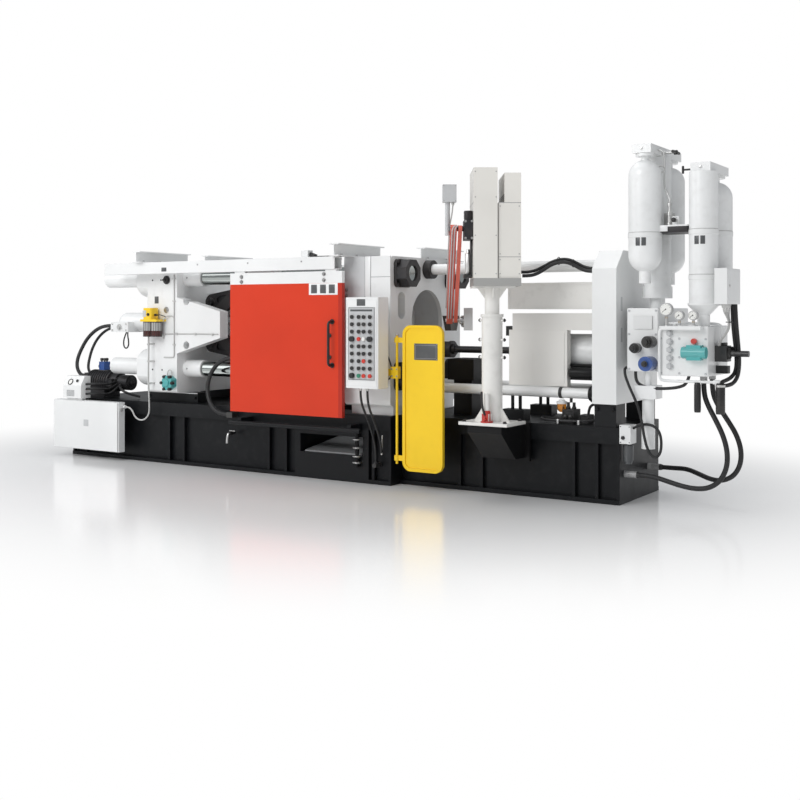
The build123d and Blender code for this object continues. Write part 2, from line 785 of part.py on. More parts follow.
def make_base_pads():
    """Machined pads, wear rails, frame feet and the props under the lower tie tubes."""
    z = (BASE_TOP_Z, PAD_TOP_Z)
    pads = []
    for side in (-1, 1):
        y = tuple(side * v for v in about(RAIL_Y, RAIL_W / 2))
        pads.append(block((REAR_X0 - PAD_OVERRUN, REAR_X1 + PAD_OVERRUN), y, z))
        pads.append(block((MOVING_X0 - 2 * PAD_OVERRUN, MOVING_X1 + PAD_OVERRUN), y, z))
        foot_y = tuple(side * v for v in FOOT_Y)
        foot_x = (FRAME_X0 + FOOT_INSET, FRAME_X1 - FOOT_INSET)
        pads.append(block(foot_x, foot_y, (BASE_TOP_Z, FRAME_BOTTOM_Z)))
        prop_y = side * TUBE_LOW_Y
        prop_top = BASE_TOP_Z + PROP_BASE_H
        posts = [rod_z(prop_top, TUBE_LOW_Z - TUBE_LOW_DIA / 2 - SEAT_GAP, x, prop_y, PROP_POST_DIA) for x in PROP_POST_X]
        pads.append(fuse([block(PROP_X, about(prop_y, PROP_HALF_W), (BASE_TOP_Z, prop_top))] + posts))
    return apart(pads)


def tslots(face_x, inward):
    """T-slots across a platen's die face, cut towards +X or -X."""
    cuts = []
    for dz in TSLOT_DZ:
        z = CENTRE_Z + dz
        y = about(0, PLATEN_HALF_Y + PLATEN_CORNER_R)
        neck = (face_x - inward, face_x + inward * (TSLOT_NECK_DEPTH + 1))
        head = (face_x + inward * TSLOT_NECK_DEPTH, face_x + inward * (TSLOT_NECK_DEPTH + TSLOT_HEAD_DEPTH))
        cuts.append(block(neck, y, about(z, TSLOT_NECK_W / 2)) + block(head, y, about(z, TSLOT_HEAD_W / 2)))
    return cuts


def platen_lugs(pivot_x, root_x, places):
    """Clevis lugs for the toggle pins, above and below the centre."""
    lugs = []
    for sz in (-1, 1):
        z = CENTRE_Z + sz * LINK_PIVOT_DZ
        for y in places:
            span = about(y, LUG_T / 2)
            lugs.append(rod_y(span[0], span[1], pivot_x, z, LUG_EYE_DIA))
            lugs.append(block((pivot_x, root_x), span, about(z, LUG_EYE_DIA / 2)))
    return lugs


def without_pins(shape, x):
    """The shape bored for the two toggle pins at this x."""
    for sz in (-1, 1):
        shape = shape - rod_y(-PLATEN_HALF_Y, PLATEN_HALF_Y, x, CENTRE_Z + sz * LINK_PIVOT_DZ, LINK_PIN_DIA)
    return shape


def make_horn(side):
    """Side horn of the rear platen, tapering towards the toggle's knuckles."""
    root_x = REAR_X1 - HORN_SINK
    tip_x = REAR_X1 + HORN_REACH
    outline = [
        (root_x, CENTRE_Z + HORN_ROOT_DZ[0]),
        (tip_x, CENTRE_Z + HORN_TIP_DZ[0]),
        (tip_x, CENTRE_Z + HORN_TIP_DZ[1]),
        (root_x, CENTRE_Z + HORN_ROOT_DZ[1]),
    ]
    y0, y1 = sorted((side * PLATEN_HALF_Y, side * (PLATEN_HALF_Y - HORN_T)))
    return along_y(outline, y0, y1)


def make_rear_platen():
    """Rear platen with tie bar bosses, side horns and toggle lugs."""
    height = (PAD_TOP_Z, PLATEN_TOP_Z)
    body = block((REAR_X0, REAR_X1), about(0, PLATEN_HALF_Y), height)
    body = fillet(body.edges().filter_by(Axis.X), PLATEN_CORNER_R)
    bosses = [rod_x(REAR_X0 - REAR_BOSS_LEN, REAR_X1, y, z, REAR_BOSS_DIA) for y, z in at_tie_bars()]
    lugs = platen_lugs(LINK_PIVOT_REAR_X, REAR_X1 - LUG_SINK, LINK_FRONT_Y)
    platen = fuse([body] + bosses + [make_horn(-1), make_horn(1)] + lugs)
    left, right = REAR_X0 - REAR_BOSS_LEN, REAR_X1 + HORN_REACH
    platen = platen & block((left, right), about(0, PLATEN_HALF_Y), height)
    platen = without_tie_bars(platen, left - 1, REAR_X1 + 1)
    platen = platen - rod_x(left, REAR_X1 + 1, 0, CENTRE_Z, CLAMP_CYL_DIA)
    for side in (-1, 1):
        platen = platen - rod_x(REAR_X1 - GUIDE_ROD_SINK, REAR_X1 + 1, side * GUIDE_ROD_Y, CENTRE_Z, GUIDE_ROD_DIA)
    return without_pins(platen, LINK_PIVOT_REAR_X)


def make_moving_platen():
    """Moving platen on its shoes, with the toggle lugs and the ejector cylinder behind."""
    z = about(CENTRE_Z, MOVING_HALF_H)
    body = block((MOVING_X0, MOVING_X1), about(0, PLATEN_HALF_Y), (PAD_TOP_Z + MOVING_RAISE, z[1]))
    body = fillet(body.edges().filter_by(Axis.X), PLATEN_CORNER_R)
    lugs = platen_lugs(LINK_PIVOT_FRONT_X, MOVING_X0 + LUG_SINK, LINK_REAR_Y)
    shoe_x = (MOVING_X0 - SHOE_OVERRUN, MOVING_X1 + SHOE_OVERRUN)
    shoe_z = (PAD_TOP_Z + SEAT_GAP, PAD_TOP_Z + MOVING_RAISE + PLATEN_CORNER_R)
    shoes = [block(shoe_x, about(side * RAIL_Y, SHOE_HALF_W), shoe_z) for side in (-1, 1)]
    ejector = rod_x(MOVING_X0 - EJECTOR_LEN, MOVING_X0 + LUG_SINK, 0, CENTRE_Z, EJECTOR_DIA)
    flange = rod_x(MOVING_X0 - EJECTOR_FLANGE_T, MOVING_X0 + LUG_SINK, 0, CENTRE_Z, EJECTOR_FLANGE_DIA)
    platen = fuse([body] + lugs + shoes + [ejector, flange])
    for cut in tslots(MOVING_X1, -1):
        platen = platen - cut
    platen = without_tie_bars(platen, MOVING_X0 - 1, MOVING_X1 + 1, PIN_CLEAR)
    return without_pins(platen, LINK_PIVOT_FRONT_X)


def make_fixed_platen():
    """Fixed platen with its foot, the arch over the shot sleeve and the side slots."""
    body = block((FIXED_X0, FIXED_X1), about(0, PLATEN_HALF_Y), (BASE_TOP_Z + FIXED_FOOT_RAISE, PLATEN_TOP_Z))
    body = fillet(body.edges().filter_by(Axis.X), PLATEN_CORNER_R)
    foot_x = (FIXED_X0 + FIXED_FOOT_INSET, BASE_STEP_X - FIXED_FOOT_INSET)
    foot_z = (BASE_TOP_Z, BASE_TOP_Z + FIXED_FOOT_RAISE + PLATEN_CORNER_R)
    body = body + block(foot_x, about(0, FIXED_FOOT_HALF_Y), foot_z)
    pocket_x = (FIXED_X0 + FIXED_WALL_T, FIXED_X1 + 1)
    spring_z = CENTRE_Z + ARCH_DZ[1] - ARCH_HALF_Y
    arch = block(pocket_x, about(0, ARCH_HALF_Y), (CENTRE_Z + ARCH_DZ[0], spring_z))
    body = body - (arch + rod_x(pocket_x[0], pocket_x[1], 0, spring_z, 2 * ARCH_HALF_Y))
    slot_h = FIXED_SLOT_DZ[1] - FIXED_SLOT_DZ[0]
    slot_z = CENTRE_Z + sum(FIXED_SLOT_DZ) / 2
    slot = extrude(SlotOverall(slot_h, FIXED_SLOT_W), FIXED_SLOT_DEPTH)
    for side in (-1, 1):
        place = Pos(FIXED_X1 - FIXED_SLOT_DEPTH, side * FIXED_SLOT_Y, slot_z)
        body = body - place * Rot(0, 90, 0) * slot
    body = without_tie_bars(body, FIXED_X0 - 1, FIXED_X1 + 1)
    return body - rod_x(FIXED_X0 - 1, FIXED_X1 + 1, 0, SHOT_Z, SHOT_SLEEVE_OD)


def make_tie_bars():
    """The four tie bars."""
    ends = (REAR_X0 - TIE_TAIL, FIXED_X1 + TIE_NOSE)
    return apart(rod_x(ends[0], ends[1], y, z, TIE_DIA) for y, z in at_tie_bars())


def tube_collar(x0, x1, y, z, outer, inner):
    """Ring on one of the tie tubes."""
    return rod_x(x0, x1, y, z, outer) - rod_x(x0 - 1, x1 + 1, y, z, inner + 2 * PIN_CLEAR)


def make_tie_nuts():
    """Eight-sided nuts on square flanges at the tie bars' ends, and the collars of the tie tubes."""
    shape = RegularPolygon(NUT_AF / 2, 8, major_radius=False)
    nuts = []
    for y, z in at_tie_bars():
        place = Pos(FIXED_X1, y, z) * Rot(0, 90, 0)
        flange = place * extrude(RectangleRounded(NUT_FLANGE_W, NUT_FLANGE_W, NUT_FLANGE_R), NUT_FLANGE_T)
        nut = place * Pos(0, 0, NUT_FLANGE_T) * Rot(0, 0, 22.5) * extrude(shape, NUT_LEN)
        nuts.append((flange + nut) - rod_x(FIXED_X1 - 1, FIXED_X1 + 2 * NUT_LEN, y, z, TIE_DIA))
    nuts.append(tube_collar(FIXED_X1, FIXED_X1 + TUBE_NUT_LEN, 0, TUBE_TOP_Z, TUBE_NUT_DIA, TUBE_DIA))
    for side in (-1, 1):
        end = (FRAME_X0 - TUBE_END_LEN, FRAME_X0)
        nuts.append(tube_collar(*end, side * TUBE_LOW_Y, TUBE_LOW_Z, TUBE_END_DIA, TUBE_LOW_DIA))
    return apart(nuts)


def make_tie_covers():
    """Round covers over the clamp ends of the tie bars and the sleeves beside the platen."""
    boss_x = REAR_X0 - REAR_BOSS_LEN
    bore = TIE_DIA + 2 * COVER_CLEAR
    covers = []
    for y, z in at_tie_bars():
        length = END_COVER_LEN_LOW if z < CENTRE_Z else END_COVER_LEN_HIGH
        cover = rod_x(boss_x - length, boss_x, y, z, END_COVER_DIA)
        cover = chamfer(cover.edges().group_by(Axis.X)[0], END_COVER_CHAMFER)
        covers.append(cover - rod_x(REAR_X0 - TIE_TAIL - COVER_CLEAR, boss_x + 1, y, z, bore))
        sleeve = rod_x(REAR_X1, REAR_X1 + SLEEVE_LEN, y, z, SLEEVE_DIA)
        covers.append(sleeve - rod_x(REAR_X1 - 1, REAR_X1 + SLEEVE_LEN + 1, y, z, bore))
    return apart(covers)


def link_bar(start, end, y, thick, eye, bores, pocket=True):
    """Forged link across Y with an eye at each end and a pocket on both flanks."""
    (x0, z0), (x1, z1) = start, end
    length = math.hypot(x1 - x0, z1 - z0)
    angle = math.degrees(math.atan2(z1 - z0, x1 - x0))
    flat = SlotCenterToCenter(length, eye)
    for place, dia in zip((-length / 2, length / 2), bores):
        flat = flat - Pos(place, 0) * Circle(dia / 2 + PIN_CLEAR)
    bar = extrude(flat, thick / 2, both=True)
    if pocket:
        hollow = extrude(SlotOverall(length - eye, LINK_POCKET_W), thick)
        bar = bar - Pos(0, 0, LINK_WEB_T / 2) * hollow - Pos(0, 0, -LINK_WEB_T / 2 - thick) * hollow
    return Pos((x0 + x1) / 2, y, (z0 + z1) / 2) * Rot(90, 0, 0) * Rot(0, 0, angle) * bar


def make_toggle_links():
    """Rear, front and crosshead links of the double toggle."""
    links = []
    main_bores = (LINK_PIN_DIA, LINK_PIN_DIA)
    for sz in (-1, 1):
        pivot_z = CENTRE_Z + sz * LINK_PIVOT_DZ
        knuckle = (LINK_KNUCKLE_X, CENTRE_Z + sz * LINK_KNUCKLE_DZ)
        for y in LINK_REAR_Y:
            links.append(link_bar((LINK_PIVOT_REAR_X, pivot_z), knuckle, y, LINK_T, LINK_EYE_DIA, main_bores))
        for y in LINK_FRONT_Y:
            links.append(link_bar(knuckle, (LINK_PIVOT_FRONT_X, pivot_z), y, LINK_T, LINK_EYE_DIA, main_bores))
        drive = (CROSSHEAD_X0 + CROSSHEAD_T / 2, CENTRE_Z + sz * DRIVE_PIN_DZ)
        for y in DRIVE_LINK_Y:
            bores = (DRIVE_PIN_DIA, LINK_PIN_DIA)
            links.append(link_bar(drive, knuckle, y, DRIVE_LINK_T, DRIVE_EYE_DIA, bores, pocket=False))
    return apart(links)


def make_toggle_pins():
    """Pins of the double toggle."""
    platen_half = max(LINK_REAR_Y) + LINK_T / 2 + PIN_OVERRUN
    knuckle_half = max(DRIVE_LINK_Y) + DRIVE_LINK_T / 2 + PIN_OVERRUN / 3
    places = (
        (LINK_PIVOT_REAR_X, LINK_PIVOT_DZ, platen_half),
        (LINK_KNUCKLE_X, LINK_KNUCKLE_DZ, knuckle_half),
        (LINK_PIVOT_FRONT_X, LINK_PIVOT_DZ, platen_half),
    )
    return apart(rod_y(-half, half, x, CENTRE_Z + sz * dz, LINK_PIN_DIA) for x, dz, half in places for sz in (-1, 1))


def make_crosshead():
    """Crosshead on its piston rod and two guide rods, with the pins of its short links."""
    x = (CROSSHEAD_X0, CROSSHEAD_X0 + CROSSHEAD_T)
    head = block(x, about(0, CROSSHEAD_HALF_Y), about(CENTRE_Z, CROSSHEAD_HALF_Z))
    hub_x = (x[0] - CROSSHEAD_HUB_OVERRUN, x[1] + CROSSHEAD_HUB_OVERRUN)
    hub = rod_x(hub_x[0], hub_x[1], 0, CENTRE_Z, CLAMP_ROD_DIA + 2 * CROSSHEAD_HUB_WALL)
    arm = block(x, about(0, GUIDE_ROD_Y), about(CENTRE_Z, CROSSHEAD_ARM_HALF_Z))
    parts = [head, hub, arm]
    middle_x = sum(x) / 2
    for side in (-1, 1):
        eye_dia = GUIDE_ROD_DIA + 2 * CROSSHEAD_EYE_WALL
        parts.append(rod_x(x[0], x[1], side * GUIDE_ROD_Y, CENTRE_Z, eye_dia))
        parts.append(rod_x(REAR_X1 - GUIDE_ROD_SINK, REAR_X1 + GUIDE_ROD_REACH, side * GUIDE_ROD_Y, CENTRE_Z, GUIDE_ROD_DIA))
        for sz in (-1, 1):
            z = CENTRE_Z + sz * DRIVE_PIN_DZ
            inner = side * (CROSSHEAD_HALF_Y - CROSSHEAD_EAR_T)
            outer = side * (max(DRIVE_LINK_Y) + DRIVE_LINK_T / 2)
            parts.append(rod_y(inner, side * CROSSHEAD_HALF_Y, middle_x, z, DRIVE_PIN_DIA + PIN_OVERRUN))
            parts.append(block(about(middle_x, DRIVE_PIN_DIA / 2), (inner, side * CROSSHEAD_HALF_Y), (CENTRE_Z, z)))
            parts.append(rod_y(inner, outer, middle_x, z, DRIVE_PIN_DIA))
    parts.append(rod_x(REAR_X1, x[0], 0, CENTRE_Z, CLAMP_ROD_DIA))
    return fuse(parts)


def make_clamp_cylinder():
    """Clamp cylinder behind the rear platen, with its rounded cap and port block."""
    tube = rod_x(CLAMP_CYL_X0 - CAP_LEN, REAR_X1, 0, CENTRE_Z, CLAMP_CYL_DIA)
    tube = fillet(tube.edges().group_by(Axis.X)[0], CAP_ROUND_R)
    flange = rod_x(REAR_X0 - CLAMP_FLANGE_T, REAR_X0, 0, CENTRE_Z, CLAMP_FLANGE_DIA)
    port_z = (CENTRE_Z + PORT_BLOCK_DZ[0], CENTRE_Z + PORT_BLOCK_DZ[1])
    return fuse([tube, flange, block(PORT_BLOCK_X, PORT_BLOCK_Y, port_z)])


def make_rail(side):
    """Box beam over the door."""
    y = tuple(sorted(side * v for v in RAIL_BEAM_Y))
    beam = block(RAIL_BEAM_X, y, RAIL_BEAM_Z)
    wall = RAIL_BEAM_WALL
    inside_x = (RAIL_BEAM_X[0] - wall, RAIL_BEAM_X[1] + wall)
    return beam - block(inside_x, (y[0] + wall, y[1] - wall), (RAIL_BEAM_Z[0] + wall, RAIL_BEAM_Z[1] - wall))


def make_door_rails():
    return apart([make_rail(-1), make_rail(1)])


def door_leaf(side, z0, z1):
    """Sheet steel leaf: a flat skin with a stiffening frame and mullions on the inside."""
    outer, inner = side * DOOR_Y[1], side * DOOR_Y[0]
    leaf = block(DOOR_X, (outer, inner), (z0, z1))
    span = DOOR_X[1] - DOOR_X[0] - 2 * DOOR_EDGE_W + DOOR_MULLION_W
    bay = span / DOOR_BAYS
    skin = outer - side * DOOR_SKIN_T
    for index in range(DOOR_BAYS):
        x0 = DOOR_X[0] + DOOR_EDGE_W + index * bay
        leaf = leaf - block((x0, x0 + bay - DOOR_MULLION_W), (skin, inner - side), (z0 + DOOR_EDGE_W, z1 - DOOR_EDGE_W))
    return leaf


def door_runners(side):
    """Runner blocks that reach from a door's head up to its rail."""
    y = (side * DOOR_Y[0], side * DOOR_Y[1])
    z = (DOOR_HEAD_Z - RUNNER_LAP, RAIL_BEAM_Z[0] - SEAT_GAP)
    return [block(about(x, RUNNER_LEN / 2), y, z) for x in RUNNER_X]


def make_door_panel():
    """Sliding door leaf on the operator's side."""
    return door_leaf(-1, DOOR_BOTTOM_Z, DOOR_SHEET_TOP_Z)


def make_door_hanger():
    """Head strip of the sliding door with its two runners under the rail."""
    strip = block(DOOR_X, (-DOOR_Y[0], -DOOR_Y[1]), (DOOR_SHEET_TOP_Z + SEAT_GAP, DOOR_HEAD_Z))
    return fuse([strip] + door_runners(-1))


def make_door_handle():
    """Bent round handle with two round feet on the door."""
    face_y = -DOOR_Y[1] - SEAT_GAP
    grip_y = face_y - HANDLE_REACH
    z0, z1 = HANDLE_Z
    x = HANDLE_X
    path = FilletPolyline((x, face_y, z0), (x, grip_y, z0), (x, grip_y, z1), (x, face_y, z1), radius=HANDLE_BEND_R)
    grip = sweep(Plane(origin=path @ 0, z_dir=path % 0) * Circle(HANDLE_DIA / 2), path)
    feet = [rod_y(face_y - HANDLE_FOOT_T, face_y, x, z, HANDLE_FOOT_DIA) for z in HANDLE_Z]
    return fuse([grip] + feet)


def make_rear_door():
    """Door on the far side, hung the same way."""
    return fuse([door_leaf(1, DOOR_BOTTOM_Z, DOOR_HEAD_Z)] + door_runners(1))


def make_door_guide():
    """Pipe along the base that guides the door's lower edge."""
    pipe = rod_x(GUIDE_PIPE_X[0], GUIDE_PIPE_X[1], GUIDE_PIPE_Y, GUIDE_PIPE_Z, GUIDE_PIPE_DIA)
    places = (GUIDE_PIPE_X[0] + GUIDE_BRACKET_INSET, GUIDE_PIPE_X[1] - GUIDE_BRACKET_INSET)
    y = (GUIDE_PIPE_Y, -BASE_HALF_WIDE - SEAT_GAP)
    return fuse([pipe] + [block(about(x, GUIDE_BRACKET_W / 2), y, GUIDE_BRACKET_Z) for x in places])


def make_lifting_beams():
    """Short I-beams on the platens that carry the door rails."""
    flange, web = BEAM_W / 2, BEAM_WEB_T / 2
    z0, z1 = BEAM_SEAT_Z, BEAM_SEAT_Z + BEAM_H
    low, high = z0 + BEAM_FLANGE_T, z1 - BEAM_FLANGE_T
    half = [(flange, z0), (flange, low), (web, low), (web, high), (flange, high), (flange, z1)]
    outline = half + [(-x, z) for x, z in reversed(half)]
    beams = []
    for places, side in ((BEAM_FRONT_X, -1), (BEAM_BACK_X, 1)):
        y0, y1 = sorted(side * v for v in BEAM_Y)
        for x in places:
            beams.append(Pos(x, 0, 0) * along_y(outline, y0, y1))
    return apart(beams)


def make_platen_cover():
    """Sheet cover on the operator's side of the fixed platen."""
    front = -PLATEN_HALF_Y - SEAT_GAP - COVER_T
    cover = block(COVER_X, (front, front + COVER_T), (COVER_BOTTOM_Z, PLATEN_TOP_Z))
    relief = block(COVER_RELIEF_X, (front - 1, front + COVER_RELIEF_T), COVER_RELIEF_Z)
    return cover - relief


def make_operator_panel():
    """Operator's enclosure on its arm, with the joint line of its front door."""
    box = block(PANEL_X, PANEL_Y, PANEL_Z)
    box = fillet(box.edges().filter_by(Axis.Z), PANEL_EDGE_R)
    groove = PANEL_GROOVE_INSET
    outer = block((PANEL_X[0] + groove, PANEL_X[1] - groove), (PANEL_Y[0] - 1, PANEL_Y[0] + PANEL_GROOVE_W),
                  (PANEL_Z[0] + groove, PANEL_Z[1] - groove))
    inset = groove + PANEL_GROOVE_W
    inner = block((PANEL_X[0] + inset, PANEL_X[1] - inset), (PANEL_Y[0] - 2, PANEL_Y[0] + 2 * PANEL_GROOVE_W),
                  (PANEL_Z[0] + inset, PANEL_Z[1] - inset))
    cover_front = -PLATEN_HALF_Y - SEAT_GAP - COVER_T
    arm = block(PANEL_ARM_X, (PANEL_Y[1], cover_front - SEAT_GAP), PANEL_ARM_Z)
    return box - (outer - inner) + arm


def make_panel_controls():
    """Control plate with rows of round push buttons."""
    face_y = PANEL_Y[0] - SEAT_GAP - PLATE_T
    controls = [block(PLATE_X, (face_y, face_y + PLATE_T), PLATE_Z)]
    for row in range(BUTTON_ROWS):
        z = BUTTON_TOP_Z - row * BUTTON_PITCH_Z
        for x in BUTTON_X:
            big = row == BIG_BUTTON_ROW and x in (BUTTON_X[0], BUTTON_X[-1])
            dia, height = (BIG_BUTTON_DIA, BIG_BUTTON_H) if big else (BUTTON_DIA, BUTTON_H)
            controls.append(rod_y(face_y - height, face_y, x, z, dia))
    return fuse(controls)


def make_control_cabinet():
    """Low cabinet beside the base, with its door, brackets and cable gland."""
    box = block(CABINET_X, (CABINET_Y[0] + CABINET_DOOR_T, CABINET_Y[1]), CABINET_Z)
    gap = CABINET_DOOR_GAP
    door = block((CABINET_X[0] + gap, CABINET_X[1] - gap), (CABINET_Y[0], CABINET_Y[0] + CABINET_DOOR_T),
                 (CABINET_Z[0] + gap, CABINET_Z[1] - gap))
    top = BASE_TOP_Z - BASE_RIB_INSET
    legs = []
    for x in (CABINET_X[0] + CABINET_LEG_INSET, CABINET_X[1] - CABINET_LEG_INSET - CABINET_LEG_W):
        leg_y = (CABINET_Y[1], -BASE_HALF_WIDE - SEAT_GAP)
        legs.append(block((x, x + CABINET_LEG_W), leg_y, (top - CABINET_LEG_H, top - CABINET_LEG_W / 2)))
    gland = rod_x(CABINET_X[1] - gap, CABINET_X[1] + GLAND_LEN, GLAND_Y, GLAND_Z, GLAND_DIA)
    return fuse([box, door, gland] + legs)


def make_remote_unit():
    """Small desk-shaped unit on top of the cabinet."""
    (y0, y1), (z0, z1) = UNIT_Y, UNIT_Z
    outline = [(y0, z0), (y0, z0 + UNIT_FACE_H), (y0 + UNIT_FACE_SLOPE, z1), (y1, z1), (y1, z0)]
    body = along_x(outline, UNIT_X[0], UNIT_X[1])
    inset = UNIT_FOOT_INSET
    foot = block((UNIT_X[0] + inset, UNIT_X[1] - inset), (CABINET_Y[0] + inset, CABINET_Y[1] - inset),
                 (CABINET_Z[1] + SEAT_GAP, z0))
    return body + foot


def make_lubricator():
    """Central lubricator: two clear pots under a lid, with the motor on top."""
    z0, z1 = LUBE_Z
    lid_z = z0 + LUBE_POT_H
    pots = [rod_z(z0, lid_z, LUBE_X + s * (LUBE_POT_DIA / 2 + 1), LUBE_Y, LUBE_POT_DIA) for s in (-1, 1)]
    lid_y = (LUBE_Y - LUBE_LID_HALF_Y, -PLATEN_HALF_Y - SEAT_GAP)
    lid = block(about(LUBE_X, LUBE_LID_HALF_X), lid_y, (lid_z, lid_z + LUBE_LID_T))
    motor = block(about(LUBE_MOTOR_X, LUBE_MOTOR_HALF), about(LUBE_Y, LUBE_MOTOR_HALF), (lid_z + LUBE_LID_T, z1))
    motor = fillet(motor.edges().filter_by(Axis.Z), LUBE_LID_T)
    return fuse([lid, motor] + pots)


def make_pump_group():
    """Pump set: finned motor, bell housing, pump and port head on a foot."""
    parts = [rod_x(PUMP_X0, PUMP_X0 + MOTOR_LEN, PUMP_Y, PUMP_Z, MOTOR_DIA)]
    pitch = MOTOR_LEN / (MOTOR_FINS + 1)
    for index in range(MOTOR_FINS):
        x = PUMP_X0 + (index + 1) * pitch
        parts.append(rod_x(x - MOTOR_FIN_T / 2, x + MOTOR_FIN_T / 2, PUMP_Y, PUMP_Z, MOTOR_FIN_DIA))
    bell_x = PUMP_X0 + MOTOR_LEN
    parts.append(rod_x(bell_x, bell_x + BELL_LEN, PUMP_Y, PUMP_Z, BELL_DIA))
    parts.append(rod_x(bell_x + BELL_LEN, bell_x + BELL_LEN + PUMP_LEN, PUMP_Y, PUMP_Z, PUMP_DIA))
    foot_x = (PUMP_X0 + MOTOR_FOOT_INSET, bell_x - MOTOR_FOOT_INSET)
    parts.append(block(foot_x, about(PUMP_Y, MOTOR_FOOT_HALF_Y), (BASE_TOP_Z + SEAT_GAP, PUMP_Z)))
    parts.append(block(PORT_HEAD_X, PORT_HEAD_Y, PORT_HEAD_Z))
    return fuse(parts)


def make_guard_post():
    """Round post of the splash guard with its clamp and stay."""
    cover_front = -PLATEN_HALF_Y - SEAT_GAP - COVER_T
    rod = rod_z(POST_Z[0], POST_Z[1], POST_X, POST_Y, POST_DIA)
    clamp = block(POST_CLAMP_X, about(POST_Y, POST_CLAMP_HALF_Y), POST_CLAMP_Z)
    stay_x = (FIXED_X1 - POST_STAY_REACH, POST_CLAMP_X[1] - POST_DIA)
    stay = block(stay_x, about(POST_Y, POST_STAY_HALF_Y), POST_STAY_Z)
    foot = block((stay_x[0], FIXED_X1 - POST_STAY_REACH / 2), (POST_Y, cover_front - SEAT_GAP), POST_CLAMP_Z)
    return fuse([rod, clamp, stay, foot])


def make_splash_guard():
    """Pressed sheet guard with a raised lip, hinged on the post by two lugs."""
    w = GUARD_X[1] - GUARD_X[0]
    h = GUARD_Z[1] - GUARD_Z[0]
    depth = GUARD_Y[1] - GUARD_Y[0]
    middle = Pos(sum(GUARD_X) / 2, GUARD_Y[1], sum(GUARD_Z) / 2) * Rot(90, 0, 0)
    plate = middle * extrude(RectangleRounded(w, h, GUARD_CORNER_R), depth)
    dish = RectangleRounded(w - 2 * GUARD_LIP, h - 2 * GUARD_LIP, GUARD_CORNER_R - GUARD_LIP)
    plate = plate - middle * Pos(0, 0, depth - GUARD_DISH) * extrude(dish, 2 * GUARD_DISH)
    lugs = []
    for z in GUARD_LUG_Z:
        span = about(z, GUARD_LUG_H / 2)
        ring = rod_z(span[0], span[1], POST_X, POST_Y, POST_DIA + 2 * GUARD_LUG_WALL)
        arm = block((POST_X, GUARD_X[0] + GUARD_LUG_T), about(POST_Y, GUARD_LUG_T / 2), span)
        lugs.append((ring + arm) - rod_z(span[0] - 1, span[1] + 1, POST_X, POST_Y, POST_DIA + 2 * PIN_CLEAR))
    return fuse([plate] + lugs)


def make_ladle_seat():
    """Bracket on the base that carries the ladle column."""
    wall_y = -BASE_HALF_NARROW - SEAT_GAP
    back_y = (wall_y - SEAT_BACK_T, wall_y)
    back = block(about(LADLE_X, SEAT_BACK_HALF_X), back_y, (SEAT_Z - SEAT_DROP - SEAT_BACK_T, SEAT_Z))
    low_z = SEAT_Z - SEAT_DROP
    outline = [
        (back_y[1], low_z),
        (back_y[1], SEAT_Z),
        (SEAT_NOSE_Y, SEAT_Z),
        (SEAT_NOSE_Y, SEAT_Z - SEAT_NOSE_H),
        (SEAT_SLOPE_Y, low_z),
    ]
    return back + along_x(outline, LADLE_X - SEAT_HALF_X, LADLE_X + SEAT_HALF_X)


def gusset(root, reach, z, rise, turn):
    """Triangular stiffener standing off an upright tube, turned about the tube's axis."""
    outline = [(root - GUSSET_SINK, z), (root + reach, z), (root - GUSSET_SINK, z + rise)]
    return Rot(0, 0, turn) * along_y(outline, -GUSSET_T / 2, GUSSET_T / 2)


def make_ladle_column():
    """Clamped tube on its foot plate, the stem with the unit's plate, and a levelling jack."""
    foot_y = about(LADLE_Y, COLUMN_PLATE_Y / 2)
    parts = [block(about(LADLE_X, COLUMN_PLATE_X / 2), foot_y, (SEAT_Z + SEAT_GAP, COLUMN_FOOT_Z))]
    parts.append(rod_z(COLUMN_FOOT_Z, COLUMN_TOP_Z, LADLE_X, LADLE_Y, COLUMN_DIA))
    parts.append(rod_z(COLUMN_TOP_Z - COLLAR_H, COLUMN_TOP_Z, LADLE_X, LADLE_Y, COLLAR_DIA))
    parts.append(rod_z(COLUMN_TOP_Z, STEM_TOP_Z, LADLE_X, LADLE_Y, STEM_DIA))
    axis = Pos(LADLE_X, LADLE_Y, 0)
    for turn in (0, 90, 180):
        parts.append(axis * gusset(COLUMN_DIA / 2, GUSSET_FOOT, COLUMN_FOOT_Z, GUSSET_H, turn))
    reach = COLUMN_DIA / 2 + CLAMP_BOLT_REACH
    for dz in CLAMP_BOLT_DZ:
        parts.append(rod_x(LADLE_X - reach, LADLE_X + reach, LADLE_Y, COLUMN_TOP_Z + dz, CLAMP_BOLT_DIA))
    plate_z = (STEM_TOP_Z - STEM_PLATE_T, STEM_TOP_Z)
    parts.append(turned_unit(block(STEM_PLATE_U, STEM_PLATE_V, plate_z)))
    for turn in (0, 90, 180, 270):
        parts.append(turned_unit(gusset(STEM_DIA / 2, STEM_GUSSET_FOOT, plate_z[0], -STEM_GUSSET_H, turn)))
    jack_x = LADLE_X + JACK_DX
    jack_y = LADLE_Y + JACK_DY
    base_z = (COLUMN_FOOT_Z + SEAT_GAP, COLUMN_FOOT_Z + JACK_BASE_H)
    jack = block(about(jack_x, JACK_BASE / 2), about(jack_y, JACK_BASE / 2), base_z)
    jack = jack + rod_z(base_z[1], COLUMN_FOOT_Z + JACK_H, jack_x, jack_y, JACK_DIA)
    return apart([fuse(parts), jack])


